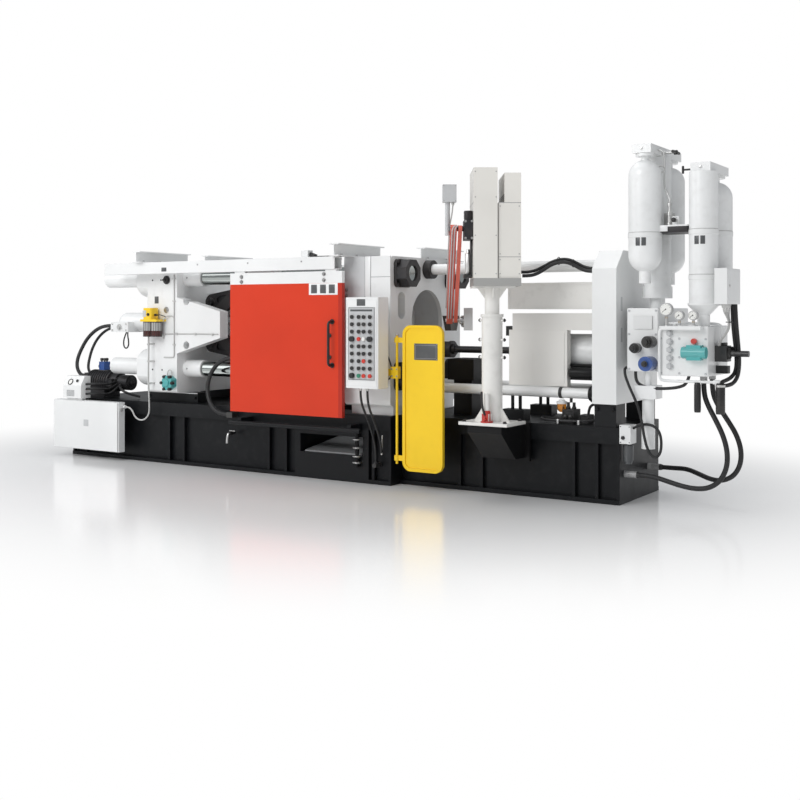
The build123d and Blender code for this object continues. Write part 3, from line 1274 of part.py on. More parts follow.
def make_ladle_housing():
    """Tall housing of the swing gear and the stepped case beside it, on one plate."""
    plate = block((HOUSING_U[0], CASE_U[1]), HOUSING_V, (STEM_TOP_Z + SEAT_GAP, HOUSING_Z))
    tall = block(HOUSING_U, HOUSING_V, (HOUSING_Z, HOUSING_Z + HOUSING_H))
    case_z = HOUSING_Z + SEAT_GAP
    case = block(CASE_U, CASE_V, (case_z, HOUSING_Z + CASE_STEP_H))
    case = case + block((CASE_STEP_U, CASE_U[1]), CASE_V, (case_z, HOUSING_Z + CASE_H))
    return apart([turned_unit(plate + tall), turned_unit(case)])


def make_ladle_drive():
    """Gear head on the housing's side with its motor and the stub shafts of arm and link."""
    z = ARM_PIVOT_Z
    u = (HOUSING_U[0] - DRIVE_T, HOUSING_U[0] - SEAT_GAP)
    head = block(u, DRIVE_V, (z + DRIVE_DZ[0], z + DRIVE_DZ[1]))
    shaft_end = ARM_U - ARM_W / 2 - ARM_SHAFT_OVERRUN
    shaft = rod_x(shaft_end, u[0] + SHAFT_SINK, ARM_PIVOT_V, z, ARM_SHAFT_DIA)
    stub_end = LINK_U - LINK_W / 2 - LINK_PIN_TAIL
    stub = rod_x(stub_end, u[0] + SHAFT_SINK, ARM_PIVOT_V - LINK_AHEAD, z, LINK_SHAFT_DIA)
    motor = rod_z(z + DRIVE_DZ[1], z + DRIVE_MOTOR_DZ, sum(u) / 2, DRIVE_MOTOR_V, DRIVE_MOTOR_DIA)
    return turned_unit(fuse([head, shaft, stub, motor]))


def along_arm(distance):
    """Point (v, z) on the arm at a distance from its pivot."""
    lean = math.radians(ARM_LEAN)
    return ARM_PIVOT_V + distance * math.sin(lean), ARM_PIVOT_Z - distance * math.cos(lean)


def swing_bar(u, width, depth, start, end, bores):
    """Flat bar with round ends across U, bored at both ends."""
    (v0, z0), (v1, z1) = start, end
    length = math.hypot(v1 - v0, z1 - z0)
    angle = math.degrees(math.atan2(z1 - z0, v1 - v0))
    flat = SlotCenterToCenter(length, depth)
    for place, dia in zip((-length / 2, length / 2), bores):
        flat = flat - Pos(place, 0) * Circle(dia / 2 + PIN_CLEAR)
    bar = extrude(flat, width / 2, both=True)
    return Pos(u, (v0 + v1) / 2, (z0 + z1) / 2) * Rot(0, 90, 0) * Rot(0, 0, 90) * Rot(0, 0, angle) * bar


def make_ladle_arm():
    """Swing arm of the ladling unit."""
    bores = (ARM_SHAFT_DIA, HEAD_PIN_DIA)
    return turned_unit(swing_bar(ARM_U, ARM_W, ARM_DEPTH, along_arm(0), along_arm(ARM_LEN), bores))


def make_ladle_link():
    """Link beside the arm that keeps the ladle head level."""
    start_v, start_z = along_arm(0)
    end_v, end_z = along_arm(ARM_LEN)
    ends = ((start_v - LINK_AHEAD, start_z), (end_v - LINK_AHEAD, end_z))
    return turned_unit(swing_bar(LINK_U, LINK_W, LINK_DEPTH, *ends, (LINK_SHAFT_DIA, LINK_PIN_END_DIA)))


def make_level_probe():
    """Level sensor box on its pole, clamped to the arm."""
    v, z = along_arm(PROBE_ALONG)
    flank = ARM_U - ARM_W / 2
    top = (ARM_PIVOT_Z + PROBE_TOP_DZ[0], ARM_PIVOT_Z + PROBE_TOP_DZ[1])
    pole = rod_z(z, top[0], flank - PROBE_POLE_GAP - PIN_CLEAR, v, PROBE_POLE_DIA)
    box = block((flank + PROBE_BOX_U[0], flank + PROBE_BOX_U[1]), about(v, PROBE_BOX_HALF_V), top)
    return turned_unit(pole + box)


def make_ladle_head():
    """Level plate that both bars carry, bored for the ladle's tilt shaft."""
    v, z = along_arm(ARM_LEN)
    u0, u1 = HEAD_PLATE_U
    front_v = v - LINK_AHEAD - HEAD_MARGIN
    plate = block((u0, u1), (front_v, v + CUP_REACH + HEAD_MARGIN), (z + HEAD_PLATE_DZ[0], z + HEAD_PLATE_DZ[1]))
    flange_z = (z + HEAD_FLANGE_DZ[0], z + HEAD_FLANGE_DZ[1])
    flange = block((u0, HEAD_FLANGE_U1), (front_v, front_v + HEAD_FLANGE_T), flange_z)
    arm_pin = rod_x(ARM_U - ARM_W / 2 - HEAD_PIN_TAIL, u0 + PIN_SINK, v, z, HEAD_PIN_DIA)
    link_pin = rod_x(LINK_U - LINK_W / 2 - LINK_PIN_TAIL, u0 + PIN_SINK, v - LINK_AHEAD, z, LINK_PIN_END_DIA)
    hole = rod_x(u0 - PIN_SINK, u1 + PIN_SINK, v + CUP_REACH, z, CUP_SHAFT_DIA + 2 * PIN_CLEAR)
    return turned_unit(fuse([plate, flange, arm_pin, link_pin]) - hole)


def make_ladle_cup():
    """Ladle cup with its pouring lip, tilt shaft and chain wheel."""
    v, z = along_arm(ARM_LEN)
    v = v + CUP_REACH
    rim_z = z + CUP_RIM_RISE
    low = (Align.CENTER, Align.CENTER, Align.MIN)
    bowl = Pos(CUP_U, v, rim_z - CUP_DEPTH) * Cone(CUP_FOOT_R, CUP_R, CUP_DEPTH, align=low)
    hollow = Pos(CUP_U, v, rim_z - CUP_DEPTH + CUP_WALL) * Cone(
        CUP_FOOT_R - CUP_WALL, CUP_R - CUP_WALL, CUP_DEPTH - CUP_WALL, align=low)
    lip_v = (v + CUP_FOOT_R, v + CUP_R + CUP_SPOUT_LEN)
    lip = block(about(CUP_U, CUP_SPOUT_W / 2), lip_v, (rim_z - CUP_SPOUT_H, rim_z))
    channel = block(about(CUP_U, CUP_SPOUT_W / 2 - CUP_WALL), (v, lip_v[1] + 1), (rim_z - CUP_SPOUT_H + CUP_WALL, rim_z + 1))
    wheel_u = HEAD_PLATE_U[1] + CUP_WHEEL_GAP
    shaft = rod_x(CUP_U, HEAD_PLATE_U[1] + CUP_SHAFT_OVERRUN, v, z, CUP_SHAFT_DIA)
    wheel = rod_x(wheel_u, wheel_u + CUP_WHEEL_T, v, z, CUP_WHEEL_DIA)
    return turned_unit(fuse([bowl, lip, shaft, wheel]) - hollow - channel)


def make_shot_sleeve():
    """Shot sleeve with the slot that the ladle pours into."""
    sleeve = rod_x(SLEEVE_LEFT_X, SLEEVE_RIGHT_X, 0, SHOT_Z, SHOT_SLEEVE_OD)
    sleeve = sleeve - rod_x(SLEEVE_LEFT_X - 1, SLEEVE_RIGHT_X + 1, 0, SHOT_Z, SHOT_BORE)
    return sleeve - block(POUR_X, about(0, POUR_HALF_W), (SHOT_Z + POUR_BOTTOM_DZ, SHOT_Z + SHOT_SLEEVE_OD))


def make_plunger():
    """Plunger tip and rod, coupling and piston rod."""
    tip_x1 = PLUNGER_TIP_X + PLUNGER_TIP_LEN
    nut_x0 = COUPLING_X0 + COUPLING_LEN
    nut_x1 = nut_x0 + COUPLING_NUT_LEN
    tip = rod_x(PLUNGER_TIP_X, tip_x1, 0, SHOT_Z, PLUNGER_DIA)
    rod = rod_x(tip_x1, COUPLING_X0, 0, SHOT_Z, PLUNGER_ROD_DIA)
    coupling = rod_x(COUPLING_X0, nut_x0, 0, SHOT_Z, COUPLING_DIA)
    nut = rod_x(nut_x0, nut_x1, 0, SHOT_Z, COUPLING_NUT_DIA)
    piston_rod = rod_x(nut_x1, INJ_CYL_X0 + PISTON_ROD_INSIDE, 0, SHOT_Z, PISTON_ROD_DIA)
    return fuse([tip, rod, coupling, nut, piston_rod])


def make_injection_cylinder():
    """Injection cylinder with its front head and nose, bored for the piston rod."""
    body = rod_x(INJ_CYL_X0, INJ_CYL_X1, 0, SHOT_Z, INJ_CYL_DIA)
    head = rod_x(INJ_CYL_X0, INJ_CYL_X0 + INJ_HEAD_T, 0, SHOT_Z, INJ_HEAD_DIA)
    nose = rod_x(INJ_CYL_X0 - INJ_NOSE_LEN, INJ_CYL_X0, 0, SHOT_Z, INJ_NOSE_DIA)
    bore_x = (INJ_CYL_X0 - INJ_NOSE_LEN - 1, INJ_CYL_X0 + INJ_BORE_LEN)
    return fuse([body, head, nose]) - rod_x(*bore_x, 0, SHOT_Z, PISTON_ROD_DIA + 2 * PIN_CLEAR)


def make_injection_frame():
    """Thick end plate that carries the cylinder and the tie tubes."""
    side, top, cut = FRAME_HALF_Y, FRAME_TOP_Z, FRAME_CHAMFER
    outline = [
        (-side, FRAME_BOTTOM_Z),
        (-side, top - cut),
        (-side + cut, top),
        (side - cut, top),
        (side, top - cut),
        (side, FRAME_BOTTOM_Z),
    ]
    return along_x(outline, FRAME_X0, FRAME_X1) - rod_x(FRAME_X0 - 1, FRAME_X1 + 1, 0, SHOT_Z, INJ_CYL_DIA)


def make_tie_tubes():
    """The three tubes between the fixed platen and the injection frame."""
    tubes = [rod_x(FIXED_X1, FRAME_X0, 0, TUBE_TOP_Z, TUBE_DIA)]
    for side in (-1, 1):
        tubes.append(rod_x(FIXED_X1, FRAME_X0, side * TUBE_LOW_Y, TUBE_LOW_Z, TUBE_LOW_DIA))
    return apart(tubes)


def make_injection_covers():
    """Framed cover, lid and side box round the injection cylinder."""
    end_x = FRAME_X0 - SEAT_GAP
    upper = block((UPPER_X0, end_x), about(0, UPPER_HALF_Y), UPPER_Z)
    edge = UPPER_FRAME_W
    for side in (-1, 1):
        y = (side * (UPPER_HALF_Y - UPPER_FRAME_T), side * (UPPER_HALF_Y + 1))
        upper = upper - block((UPPER_X0 + edge, end_x - edge), y, (UPPER_Z[0] + edge, UPPER_Z[1] - edge))
    lid = block((LID_X0, end_x), about(0, LID_HALF_Y), LID_Z)
    box_z = (SIDE_BOX_BOTTOM_Z, LID_Z[0] - SEAT_GAP)
    box = block(SIDE_BOX_X, SIDE_BOX_Y, box_z)
    door_x = (SIDE_DOOR_X0, SIDE_BOX_X[1] - SIDE_DOOR_EDGE)
    door_y = (SIDE_BOX_Y[0] - SIDE_DOOR_T, SIDE_BOX_Y[0])
    door = block(door_x, door_y, (box_z[0] + SIDE_DOOR_EDGE, box_z[1] - SIDE_DOOR_EDGE))
    return apart([upper, lid, box + door])


def make_sleeve_tray():
    """Drip block under the plunger on its inset foot, with a rim round its top."""
    edge = TRAY_TRIM_W
    body = block(TRAY_X, TRAY_Y, TRAY_Z)
    body = body - block((TRAY_X[0] + edge, TRAY_X[1] - edge), (TRAY_Y[0] + edge, TRAY_Y[1] - edge),
                        (TRAY_Z[1] - TRAY_TRIM_T, TRAY_Z[1] + 1))
    inset = TRAY_FOOT_INSET
    foot = block((TRAY_X[0] + inset, TRAY_X[1] - inset), (TRAY_Y[0] + inset, TRAY_Y[1] - inset),
                 (BASE_TOP_Z + SEAT_GAP, TRAY_Z[0]))
    return body + foot


def make_manifold():
    """The two manifold blocks, the spacer between them and the drain filter below the first."""
    first = chamfer(block(BLOCK1_X, BLOCK1_Y, BLOCK1_Z).edges(), BLOCK_EDGE)
    second = chamfer(block(BLOCK2_X, BLOCK2_Y, BLOCK2_Z).edges(), BLOCK_EDGE)
    inset = BLOCK_JOIN_INSET
    spacer_x = (BLOCK1_X[1] - BLOCK_JOIN, BLOCK2_X[0] + BLOCK_JOIN)
    spacer = block(spacer_x, (BLOCK2_Y[0] + inset, BLOCK2_Y[1] - inset), (BLOCK2_Z[0] + inset, BLOCK2_Z[1] - inset))
    x = BLOCK1_X[0] + DRAIN_DX
    bottom = BLOCK1_Z[0]
    head_z = (bottom - DRAIN_BLOCK_DROP[1], bottom - DRAIN_BLOCK_DROP[0])
    neck = rod_z(head_z[1], bottom + BLOCK_JOIN, x, DRAIN_Y, DRAIN_NECK_DIA)
    head = block(about(x, DRAIN_BLOCK_X / 2), about(DRAIN_Y, DRAIN_BLOCK_Y / 2), head_z)
    can = rod_z(bottom - DRAIN_CAN_DROP, head_z[0], x, DRAIN_Y, DRAIN_CAN_DIA)
    motor = rod_z(bottom - DRAIN_MOTOR_DROP, bottom - DRAIN_CAN_DROP, x, DRAIN_Y, DRAIN_MOTOR_DIA)
    return fuse([first, second, spacer, neck, head, can, motor])


def gas_bottle(x, y, z0, z1):
    """Bottle with round ends, a neck below and a collared neck above."""
    r = BOTTLE_DIA / 2
    body = rod_z(z0 + r, z1 - r, x, y, BOTTLE_DIA)
    ends = [Pos(x, y, z) * Sphere(r) for z in (z0 + r, z1 - r)]
    low = rod_z(z0 - BOTTLE_NECK_LEN, z0 + NECK_SINK, x, y, BOTTLE_NECK_DIA)
    high = rod_z(z1 - NECK_SINK, z1 + BOTTLE_COLLAR_GAP, x, y, BOTTLE_TOP_NECK_DIA)
    collar_z = z1 + BOTTLE_COLLAR_GAP
    collar = rod_z(collar_z, collar_z + BOTTLE_COLLAR_LEN, x, y, BOTTLE_COLLAR_DIA)
    return fuse([body] + ends + [low, high, collar])


def make_gas_bottles():
    """The three nitrogen bottles."""
    bottles = [gas_bottle(ROW1_X, y, *BOTTLE1_Z) for y in ROW1_Y]
    bottles.append(gas_bottle(ROW2_X, ROW2_Y[1], *BOTTLE2_Z))
    return apart(bottles)


def bridge(x, y, seat_z):
    """Bar between a piston tube and the bottles beside it."""
    return block(about(x, BRIDGE_T / 2), y, (seat_z + BRIDGE_RISE[0], seat_z + BRIDGE_RISE[1]))


def header(x, rows, z):
    """Flat header over one row of bottles."""
    y = (rows[0] - HEADER_OVERHANG, rows[1] + HEADER_OVERHANG)
    return block(about(x, HEADER_HALF_W), y, (z, z + HEADER_T))


def make_accumulators():
    """The two piston accumulators with their bridges, and the headers over the bottles."""
    seat1 = BLOCK1_Z[1]
    flange = (seat1 + TUBE1_FLANGE_RISE[0], seat1 + TUBE1_FLANGE_RISE[1])
    steps = (
        (seat1 + SEAT_GAP, flange[0], PISTON_NECK_DIA),
        (flange[0], flange[1], PISTON_FLANGE_DIA),
        (flange[1], HEADER1_Z - SEAT_GAP, PISTON_TUBE_DIA),
    )
    clear = BOTTLE_DIA / 2 + SEAT_GAP
    first = stepped(steps, ROW1_X, TUBE_B_Y) + bridge(ROW1_X, (ROW1_Y[0] + clear, ROW1_Y[1] - clear), seat1)
    seat2 = BLOCK2_Z[1]
    cone = (seat2 + TUBE2_CONE_RISE[0], seat2 + TUBE2_CONE_RISE[1])
    neck_r, tube_r, ring_r = PISTON_NECK2_DIA / 2, PISTON_TUBE_DIA / 2, PISTON_FLANGE_DIA / 2
    profile = [
        (neck_r, seat2 + SEAT_GAP),
        (neck_r, cone[0]),
        (ring_r, cone[1]),
        (ring_r, cone[1] + TUBE2_RING_T),
        (tube_r, cone[1] + TUBE2_RING_T),
        (tube_r, HEADER2_Z - SEAT_GAP),
    ]
    second = turned(profile, ROW2_X, ROW2_Y[0]) + bridge(ROW2_X, (ROW2_Y[0], ROW2_Y[1] - clear), seat2)
    return apart([first, second, header(ROW1_X, ROW1_Y, HEADER1_Z), header(ROW2_X, ROW2_Y, HEADER2_Z)])


def make_terminal_boxes():
    """Terminal box on the accumulator and the small box on the base's end."""
    seat = BLOCK2_Z[1]
    box_x = (BLOCK2_X[1] + TERMINAL_DX[0], BLOCK2_X[1] + TERMINAL_DX[1])
    box = block(box_x, TERMINAL_Y, (seat + TERMINAL_RISE[0], seat + TERMINAL_RISE[1]))
    arm = block((ROW2_X, box_x[0]), TERMINAL_ARM_Y, (seat + TERMINAL_ARM_RISE[0], seat + TERMINAL_ARM_RISE[1]))
    arm = arm - rod_z(seat, HEADER2_Z, ROW2_X, ROW2_Y[0], PISTON_TUBE_DIA + 2 * PIN_CLEAR)
    small_x = (BASE_RIGHT_X + SEAT_GAP, BASE_RIGHT_X + SMALL_BOX_T)
    return apart([box + arm, block(small_x, SMALL_BOX_Y, SMALL_BOX_Z)])


def make_valves():
    """Valves on the manifold, the gear pump, and the ends that the hoses leave from."""
    x1, z1 = BLOCK1_X[0], BLOCK1_Z[0]
    x2, z2 = BLOCK2_X[0], BLOCK2_Z[0]
    y = BLOCK1_Y[0] - SEAT_GAP
    valves = [rod_y(y - out, y, x1 + dx, z1 + dz, dia) for dx, dz, dia, out in BLOCK1_VALVES]
    plate_x = (x1 + BLOCK1_PLATE_DX[0], x1 + BLOCK1_PLATE_DX[1])
    valves.append(block(plate_x, (y - BLOCK1_PLATE_T, y), (z1 + BLOCK1_PLATE_DZ[0], z1 + BLOCK1_PLATE_DZ[1])))
    y = BLOCK2_Y[0] - SEAT_GAP
    dx, dz, dia, out = BUTTON_VALVE
    valves.append(rod_y(y - out, y, x2 + dx, z2 + dz, dia))
    spool_z = z2 + SPOOL_VALVE_DZ
    spool_y = y - SPOOL_VALVE_DIA / 2
    spool = rod_x(x2 + SPOOL_VALVE_DX[0], x2 + SPOOL_VALVE_DX[1], spool_y, spool_z, SPOOL_VALVE_DIA)
    body_x = (x2 + SPOOL_BODY_DX[0], x2 + SPOOL_BODY_DX[1])
    valves.append(spool + block(body_x, (y - SPOOL_BODY_T, y), about(spool_z, SPOOL_BODY_H / 2)))
    side_x = (BLOCK2_X[1] + SEAT_GAP, BLOCK2_X[1] + SIDE_VALVE_T)
    side_z = (z2 + SIDE_VALVE_DZ[0], z2 + SIDE_VALVE_DZ[1])
    end = rod_x(side_x[1], side_x[1] + SIDE_SPOOL_LEN, sum(SIDE_VALVE_Y) / 2, sum(side_z) / 2, SIDE_SPOOL_DIA)
    valves.append(block(side_x, SIDE_VALVE_Y, side_z) + end)
    platen_y = -PLATEN_HALF_Y
    pump_y = (platen_y - GEAR_PUMP_T, platen_y - SEAT_GAP)
    valves.append(rod_y(*pump_y, GEAR_PUMP_X, PAD_TOP_Z + GEAR_PUMP_RISE, GEAR_PUMP_DIA))
    return apart(valves + hose_ends())


def hose_ends():
    """Fittings at the ends of the hoses and of the panel's cable."""
    port_x = (BASE_RIGHT_X + SEAT_GAP, BASE_RIGHT_X + RETURN_FITTING_LEN)
    ends = [rod_x(*port_x, y, RETURN_PORT_Z, RETURN_FITTING_DIA) for y in RETURN_PORT_Y]
    drop_z = BLOCK2_Z[0] - SEAT_GAP
    for dx, y in DROP_FITTING_AT:
        ends.append(rod_z(drop_z - DROP_FITTING_LEN, drop_z, BLOCK2_X[0] + dx, y, DROP_FITTING_DIA))
    wall_y = -BASE_HALF_WIDE + BASE_PANEL_INSET - SEAT_GAP
    elbow = rod_y(-BASE_HALF_WIDE - PANEL_END_REACH, wall_y, PANEL_END_X, PANEL_END_Z, PANEL_END_DIA)
    neck_top = PANEL_END_Z + PANEL_END_LEN - SEAT_GAP
    ends.append(elbow + rod_z(PANEL_END_Z, neck_top, PANEL_END_X, PANEL_END_Y, PANEL_END_NECK_DIA))
    pipe_x = (MOVING_X0 - COOLING_PIPE_LEN, MOVING_X0 - SEAT_GAP)
    ends.append(rod_x(*pipe_x, COOLING_START_Y, COOLING_START_Z, COOLING_PIPE_DIA))
    end_y = (COOLING_END_Y - COOLING_END_W / 2, -BASE_HALF_WIDE - SEAT_GAP)
    ends.append(block(COOLING_END_X, end_y, about(COOLING_END_Z, COOLING_END_H / 2)))
    return ends


def make_gauges():
    """Three pressure gauges on their bar."""
    x, top = BLOCK2_X[0], BLOCK2_Z[1]
    y = BLOCK2_Y[0] - GAUGE_STANDOFF
    bar_x = (x + GAUGE_BAR_DX[0], x + GAUGE_BAR_DX[1])
    gauges = [block(bar_x, (y - GAUGE_BAR_T, BLOCK2_Y[0] - SEAT_GAP), (top - GAUGE_BAR_H, top))]
    for dx, rise, dia in GAUGES:
        gauges.append(rod_y(y - GAUGE_T / 2, y + GAUGE_T / 2, x + dx, top + rise, dia))
        gauges.append(rod_z(top - GAUGE_BAR_H / 2, top + rise, x + dx, y, GAUGE_STEM_DIA))
    return fuse(gauges)


def make_hose(points, dia):
    """Round hose along straight runs joined by arcs as large as the runs allow."""
    corners = [Vector(*p) for p in points]
    radii = []
    for before, here, after in zip(corners, corners[1:], corners[2:]):
        run_in = here - before
        run_out = after - here
        turn = math.radians(run_in.get_angle(run_out))
        radii.append(0.45 * min(run_in.length, run_out.length) / math.tan(turn / 2))
    path = FilletPolyline(*points, radius=radii)
    start = Plane(origin=path @ 0, z_dir=path % 0)
    hose = sweep(start * Circle(dia / 2), path)
    ideal = math.pi * (dia / 2) ** 2 * path.length
    print(f"hose length {path.length:.0f} mm, volume ratio {hose.volume / ideal:.4f},",
          "radii", [round(r) for r in radii])
    return hose


HOSES = {
    "clamp_hose_a": (HOSE_DIA, CLAMP_HOSE_A),
    "clamp_hose_b": (THIN_HOSE_DIA, CLAMP_HOSE_B),
    "cooling_hose": (COOLING_DIA, COOLING_HOSE),
    "return_hose_a": (HOSE_DIA, RETURN_HOSE_A),
    "return_hose_b": (HOSE_DIA, RETURN_HOSE_B),
    "ladle_hose": (SMALL_HOSE_DIA, LADLE_HOSE),
    "panel_cable_a": (CABLE_DIA, PANEL_CABLE_A),
    "cabinet_cable": (SIGNAL_DIA, CABINET_CABLE),
}

NODES = {
    "base_frame": make_base,
    "base_bay": make_bay,
    "die_chute": make_chute,
    "base_pads": make_base_pads,
    "rear_platen": make_rear_platen,
    "moving_platen": make_moving_platen,
    "fixed_platen": make_fixed_platen,
    "tie_bars": make_tie_bars,
    "tie_bar_nuts": make_tie_nuts,
    "tie_bar_covers": make_tie_covers,
    "toggle_links": make_toggle_links,
    "toggle_pins": make_toggle_pins,
    "crosshead": make_crosshead,
    "clamp_cylinder": make_clamp_cylinder,
    "door_rails": make_door_rails,
    "door_panel": make_door_panel,
    "door_hanger": make_door_hanger,
    "door_handle": make_door_handle,
    "rear_door": make_rear_door,
    "door_guide": make_door_guide,
    "rail_beams": make_lifting_beams,
    "platen_cover": make_platen_cover,
    "operator_panel": make_operator_panel,
    "panel_controls": make_panel_controls,
    "control_cabinet": make_control_cabinet,
    "remote_unit": make_remote_unit,
    "lubricator": make_lubricator,
    "pump_group": make_pump_group,
    "guard_post": make_guard_post,
    "splash_guard": make_splash_guard,
    "ladle_seat": make_ladle_seat,
    "ladle_column": make_ladle_column,
    "ladle_housing": make_ladle_housing,
    "ladle_drive": make_ladle_drive,
    "ladle_arm": make_ladle_arm,
    "ladle_link": make_ladle_link,
    "level_probe": make_level_probe,
    "ladle_head": make_ladle_head,
    "ladle_cup": make_ladle_cup,
    "shot_sleeve": make_shot_sleeve,
    "plunger": make_plunger,
    "injection_cylinder": make_injection_cylinder,
    "injection_frame": make_injection_frame,
    "tie_tubes": make_tie_tubes,
    "injection_covers": make_injection_covers,
    "sleeve_tray": make_sleeve_tray,
    "manifold_block": make_manifold,
    "gas_bottles": make_gas_bottles,
    "accumulators": make_accumulators,
    "terminal_boxes": make_terminal_boxes,
    "hydraulic_valves": make_valves,
    "pressure_gauges": make_gauges,
}

os.makedirs("parts", exist_ok=True)
for name, make in NODES.items():
    export_step(make(), f"parts/{name}.step")
for name, (dia, points) in HOSES.items():
    export_step(make_hose(points, dia), f"parts/{name}.step")
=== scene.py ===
"""Looks of a horizontal cold-chamber die casting machine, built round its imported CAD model.

X runs along the machine to the injection end, Y to the far side and Z up, in metres.
"""
from __future__ import annotations

import logging
import math
from dataclasses import dataclass, replace
from enum import Enum
from typing import Any, Iterable, Sequence

import bpy
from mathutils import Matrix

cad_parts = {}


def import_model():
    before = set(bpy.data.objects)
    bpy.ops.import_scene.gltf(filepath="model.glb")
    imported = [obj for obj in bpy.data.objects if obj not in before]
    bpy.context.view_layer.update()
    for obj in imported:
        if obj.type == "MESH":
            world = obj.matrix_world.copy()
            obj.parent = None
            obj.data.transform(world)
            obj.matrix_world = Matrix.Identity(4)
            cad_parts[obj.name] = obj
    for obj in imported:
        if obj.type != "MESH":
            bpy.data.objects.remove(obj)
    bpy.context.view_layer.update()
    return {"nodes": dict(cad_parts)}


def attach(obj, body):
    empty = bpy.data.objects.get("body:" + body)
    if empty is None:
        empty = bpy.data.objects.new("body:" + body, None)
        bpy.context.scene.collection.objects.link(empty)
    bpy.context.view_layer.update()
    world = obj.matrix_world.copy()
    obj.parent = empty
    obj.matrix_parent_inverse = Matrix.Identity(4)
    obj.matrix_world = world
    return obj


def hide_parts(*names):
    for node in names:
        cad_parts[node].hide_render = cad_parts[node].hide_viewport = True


logging.basicConfig(level=logging.INFO, format="%(name)s: %(message)s")
LOG = logging.getLogger("machine")

Point = tuple[float, float, float]
Span = tuple[float, float]
Colour = tuple[float, float, float]
Tree = bpy.types.NodeTree
Socket = bpy.types.NodeSocket
Part = bpy.types.Object
BEVEL_ANGLE = math.radians(40)  # edges sharper than this are rounded
SMOOTH_ANGLE = math.radians(35)  # faces that meet flatter than this are shaded as one
FACES_ALONG = 0.9  # least cosine of the angle between a face and the direction that it faces
WASHER = 1.4  # a washer's diameter to its bolt head's


class Surface(Enum):
    """What a finish is made of, which sets its grain, wear and shine."""

    ENAMEL = "enamel"
    METAL = "metal"
    CAST = "cast"
    RUBBER = "rubber"
    PLASTIC = "plastic"
    GLASS = "glass"


class Axis(Enum):
    """The direction that a round piece stands along."""

    X = (0.0, math.pi / 2, 0.0)
    Y = (-math.pi / 2, 0.0, 0.0)
    Z = (0.0, 0.0, 0.0)


@dataclass(frozen=True)
class Zone:
    """A box in the row frame, by its x, y and z values, where a finish has another colour."""

    x: Span
    y: Span
    z: Span
    colour: Colour


@dataclass(frozen=True)
class Finish:
    """One surface finish.

    Attributes:
        colour: base colour, linear.
        surface: what it is made of.
        rough: mean roughness.
        grain: how many grains to a metre.
        bump: height of the grain in the shading.
        dirt: how much dust and wear shows, 0 to 1.
        tint: colour of the dust and wear.
        zones: boxes with other colours.
        shine: how strongly it mirrors, 0.5 for plain paint.
        slot: name of the record's material slot for its pieces; not used.
    """

    colour: Colour
    surface: Surface = Surface.ENAMEL
    rough: float = 0.34
    grain: float = 260.0
    bump: float = 0.03
    dirt: float = 0.12
    tint: Colour = (0.30, 0.28, 0.25)
    zones: tuple[Zone, ...] = ()
    shine: float = 0.5
    slot: str = "white_paint"


WHITE = Finish((0.86, 0.87, 0.87))
WARM_WHITE = Finish((0.83, 0.82, 0.79), dirt=0.16)
CREAM = Finish((0.86, 0.84, 0.79), rough=0.42, grain=700.0, bump=0.05)
BLACK = Finish((0.0035, 0.0042, 0.0055), rough=0.42, dirt=0.12, tint=(0.05, 0.05, 0.05), shine=0.22,
               slot="black_paint")
DEEP_BLACK = Finish((0.003, 0.003, 0.0035), rough=0.45, dirt=0.12, tint=(0.04, 0.04, 0.04), shine=0.2,
                    slot="black_paint")
ORANGE = Finish((0.66, 0.042, 0.012), rough=0.36, dirt=0.05, tint=(0.30, 0.03, 0.01), shine=0.25)
RED = Finish((0.76, 0.15, 0.105), rough=0.36, dirt=0.12, tint=(0.30, 0.06, 0.05))
YELLOW = Finish((0.95, 0.63, 0.022), rough=0.32, dirt=0.06, tint=(0.45, 0.27, 0.02), shine=0.3)
GREY = Finish((0.30, 0.31, 0.32), rough=0.40, slot="grey_metal")
PALE_GREY = Finish((0.55, 0.56, 0.57), rough=0.40, slot="machined_steel")
CHROME = Finish((0.42, 0.45, 0.44), Surface.METAL, rough=0.09, grain=90.0, bump=0.01, dirt=0.05)
STEEL = Finish((0.46, 0.46, 0.46), Surface.METAL, rough=0.30, grain=150.0, bump=0.05, dirt=0.15,
               slot="machined_steel")
BRASS = Finish((0.55, 0.38, 0.14), Surface.METAL, rough=0.28, grain=150.0, bump=0.04, slot="machined_steel")
DARK_STEEL = Finish((0.035, 0.035, 0.038), Surface.CAST, rough=0.42, grain=190.0, bump=0.12, dirt=0.3,
                    tint=(0.10, 0.08, 0.07), slot="dark_steel")
CRUCIBLE = Finish((0.060, 0.052, 0.048), Surface.CAST, rough=0.75, grain=240.0, bump=0.35, dirt=0.5,
                  tint=(0.15, 0.09, 0.06))
RUBBER = Finish((0.012, 0.012, 0.013), Surface.RUBBER, rough=0.52, grain=420.0, bump=0.10, dirt=0.15,
                tint=(0.06, 0.06, 0.06), slot="rubber_hose")
SHEATH = Finish((0.50, 0.50, 0.49), Surface.RUBBER, rough=0.45, grain=500.0, bump=0.06, slot="grey_cable")
PLASTIC = Finish((0.010, 0.010, 0.011), Surface.PLASTIC, rough=0.40, grain=900.0, bump=0.05,
                 slot="black_plastic")
TEAL = Finish((0.075, 0.40, 0.40), rough=0.35, dirt=0.15, tint=(0.03, 0.15, 0.14), slot="teal_paint")
BLUE = Finish((0.015, 0.075, 0.30), Surface.PLASTIC, rough=0.30, grain=500.0, bump=0.04, slot="teal_paint")
BUTTON_RED = Finish((0.60, 0.035, 0.02), Surface.PLASTIC, rough=0.25, grain=800.0, bump=0.02,
                    slot="black_plastic")
BUTTON_GREEN = Finish((0.02, 0.22, 0.13), Surface.PLASTIC, rough=0.25, grain=800.0, bump=0.02,
                      slot="black_plastic")
DIAL = Finish((0.85, 0.85, 0.82), Surface.PLASTIC, rough=0.35, grain=600.0, bump=0.01, slot="gauge_face")
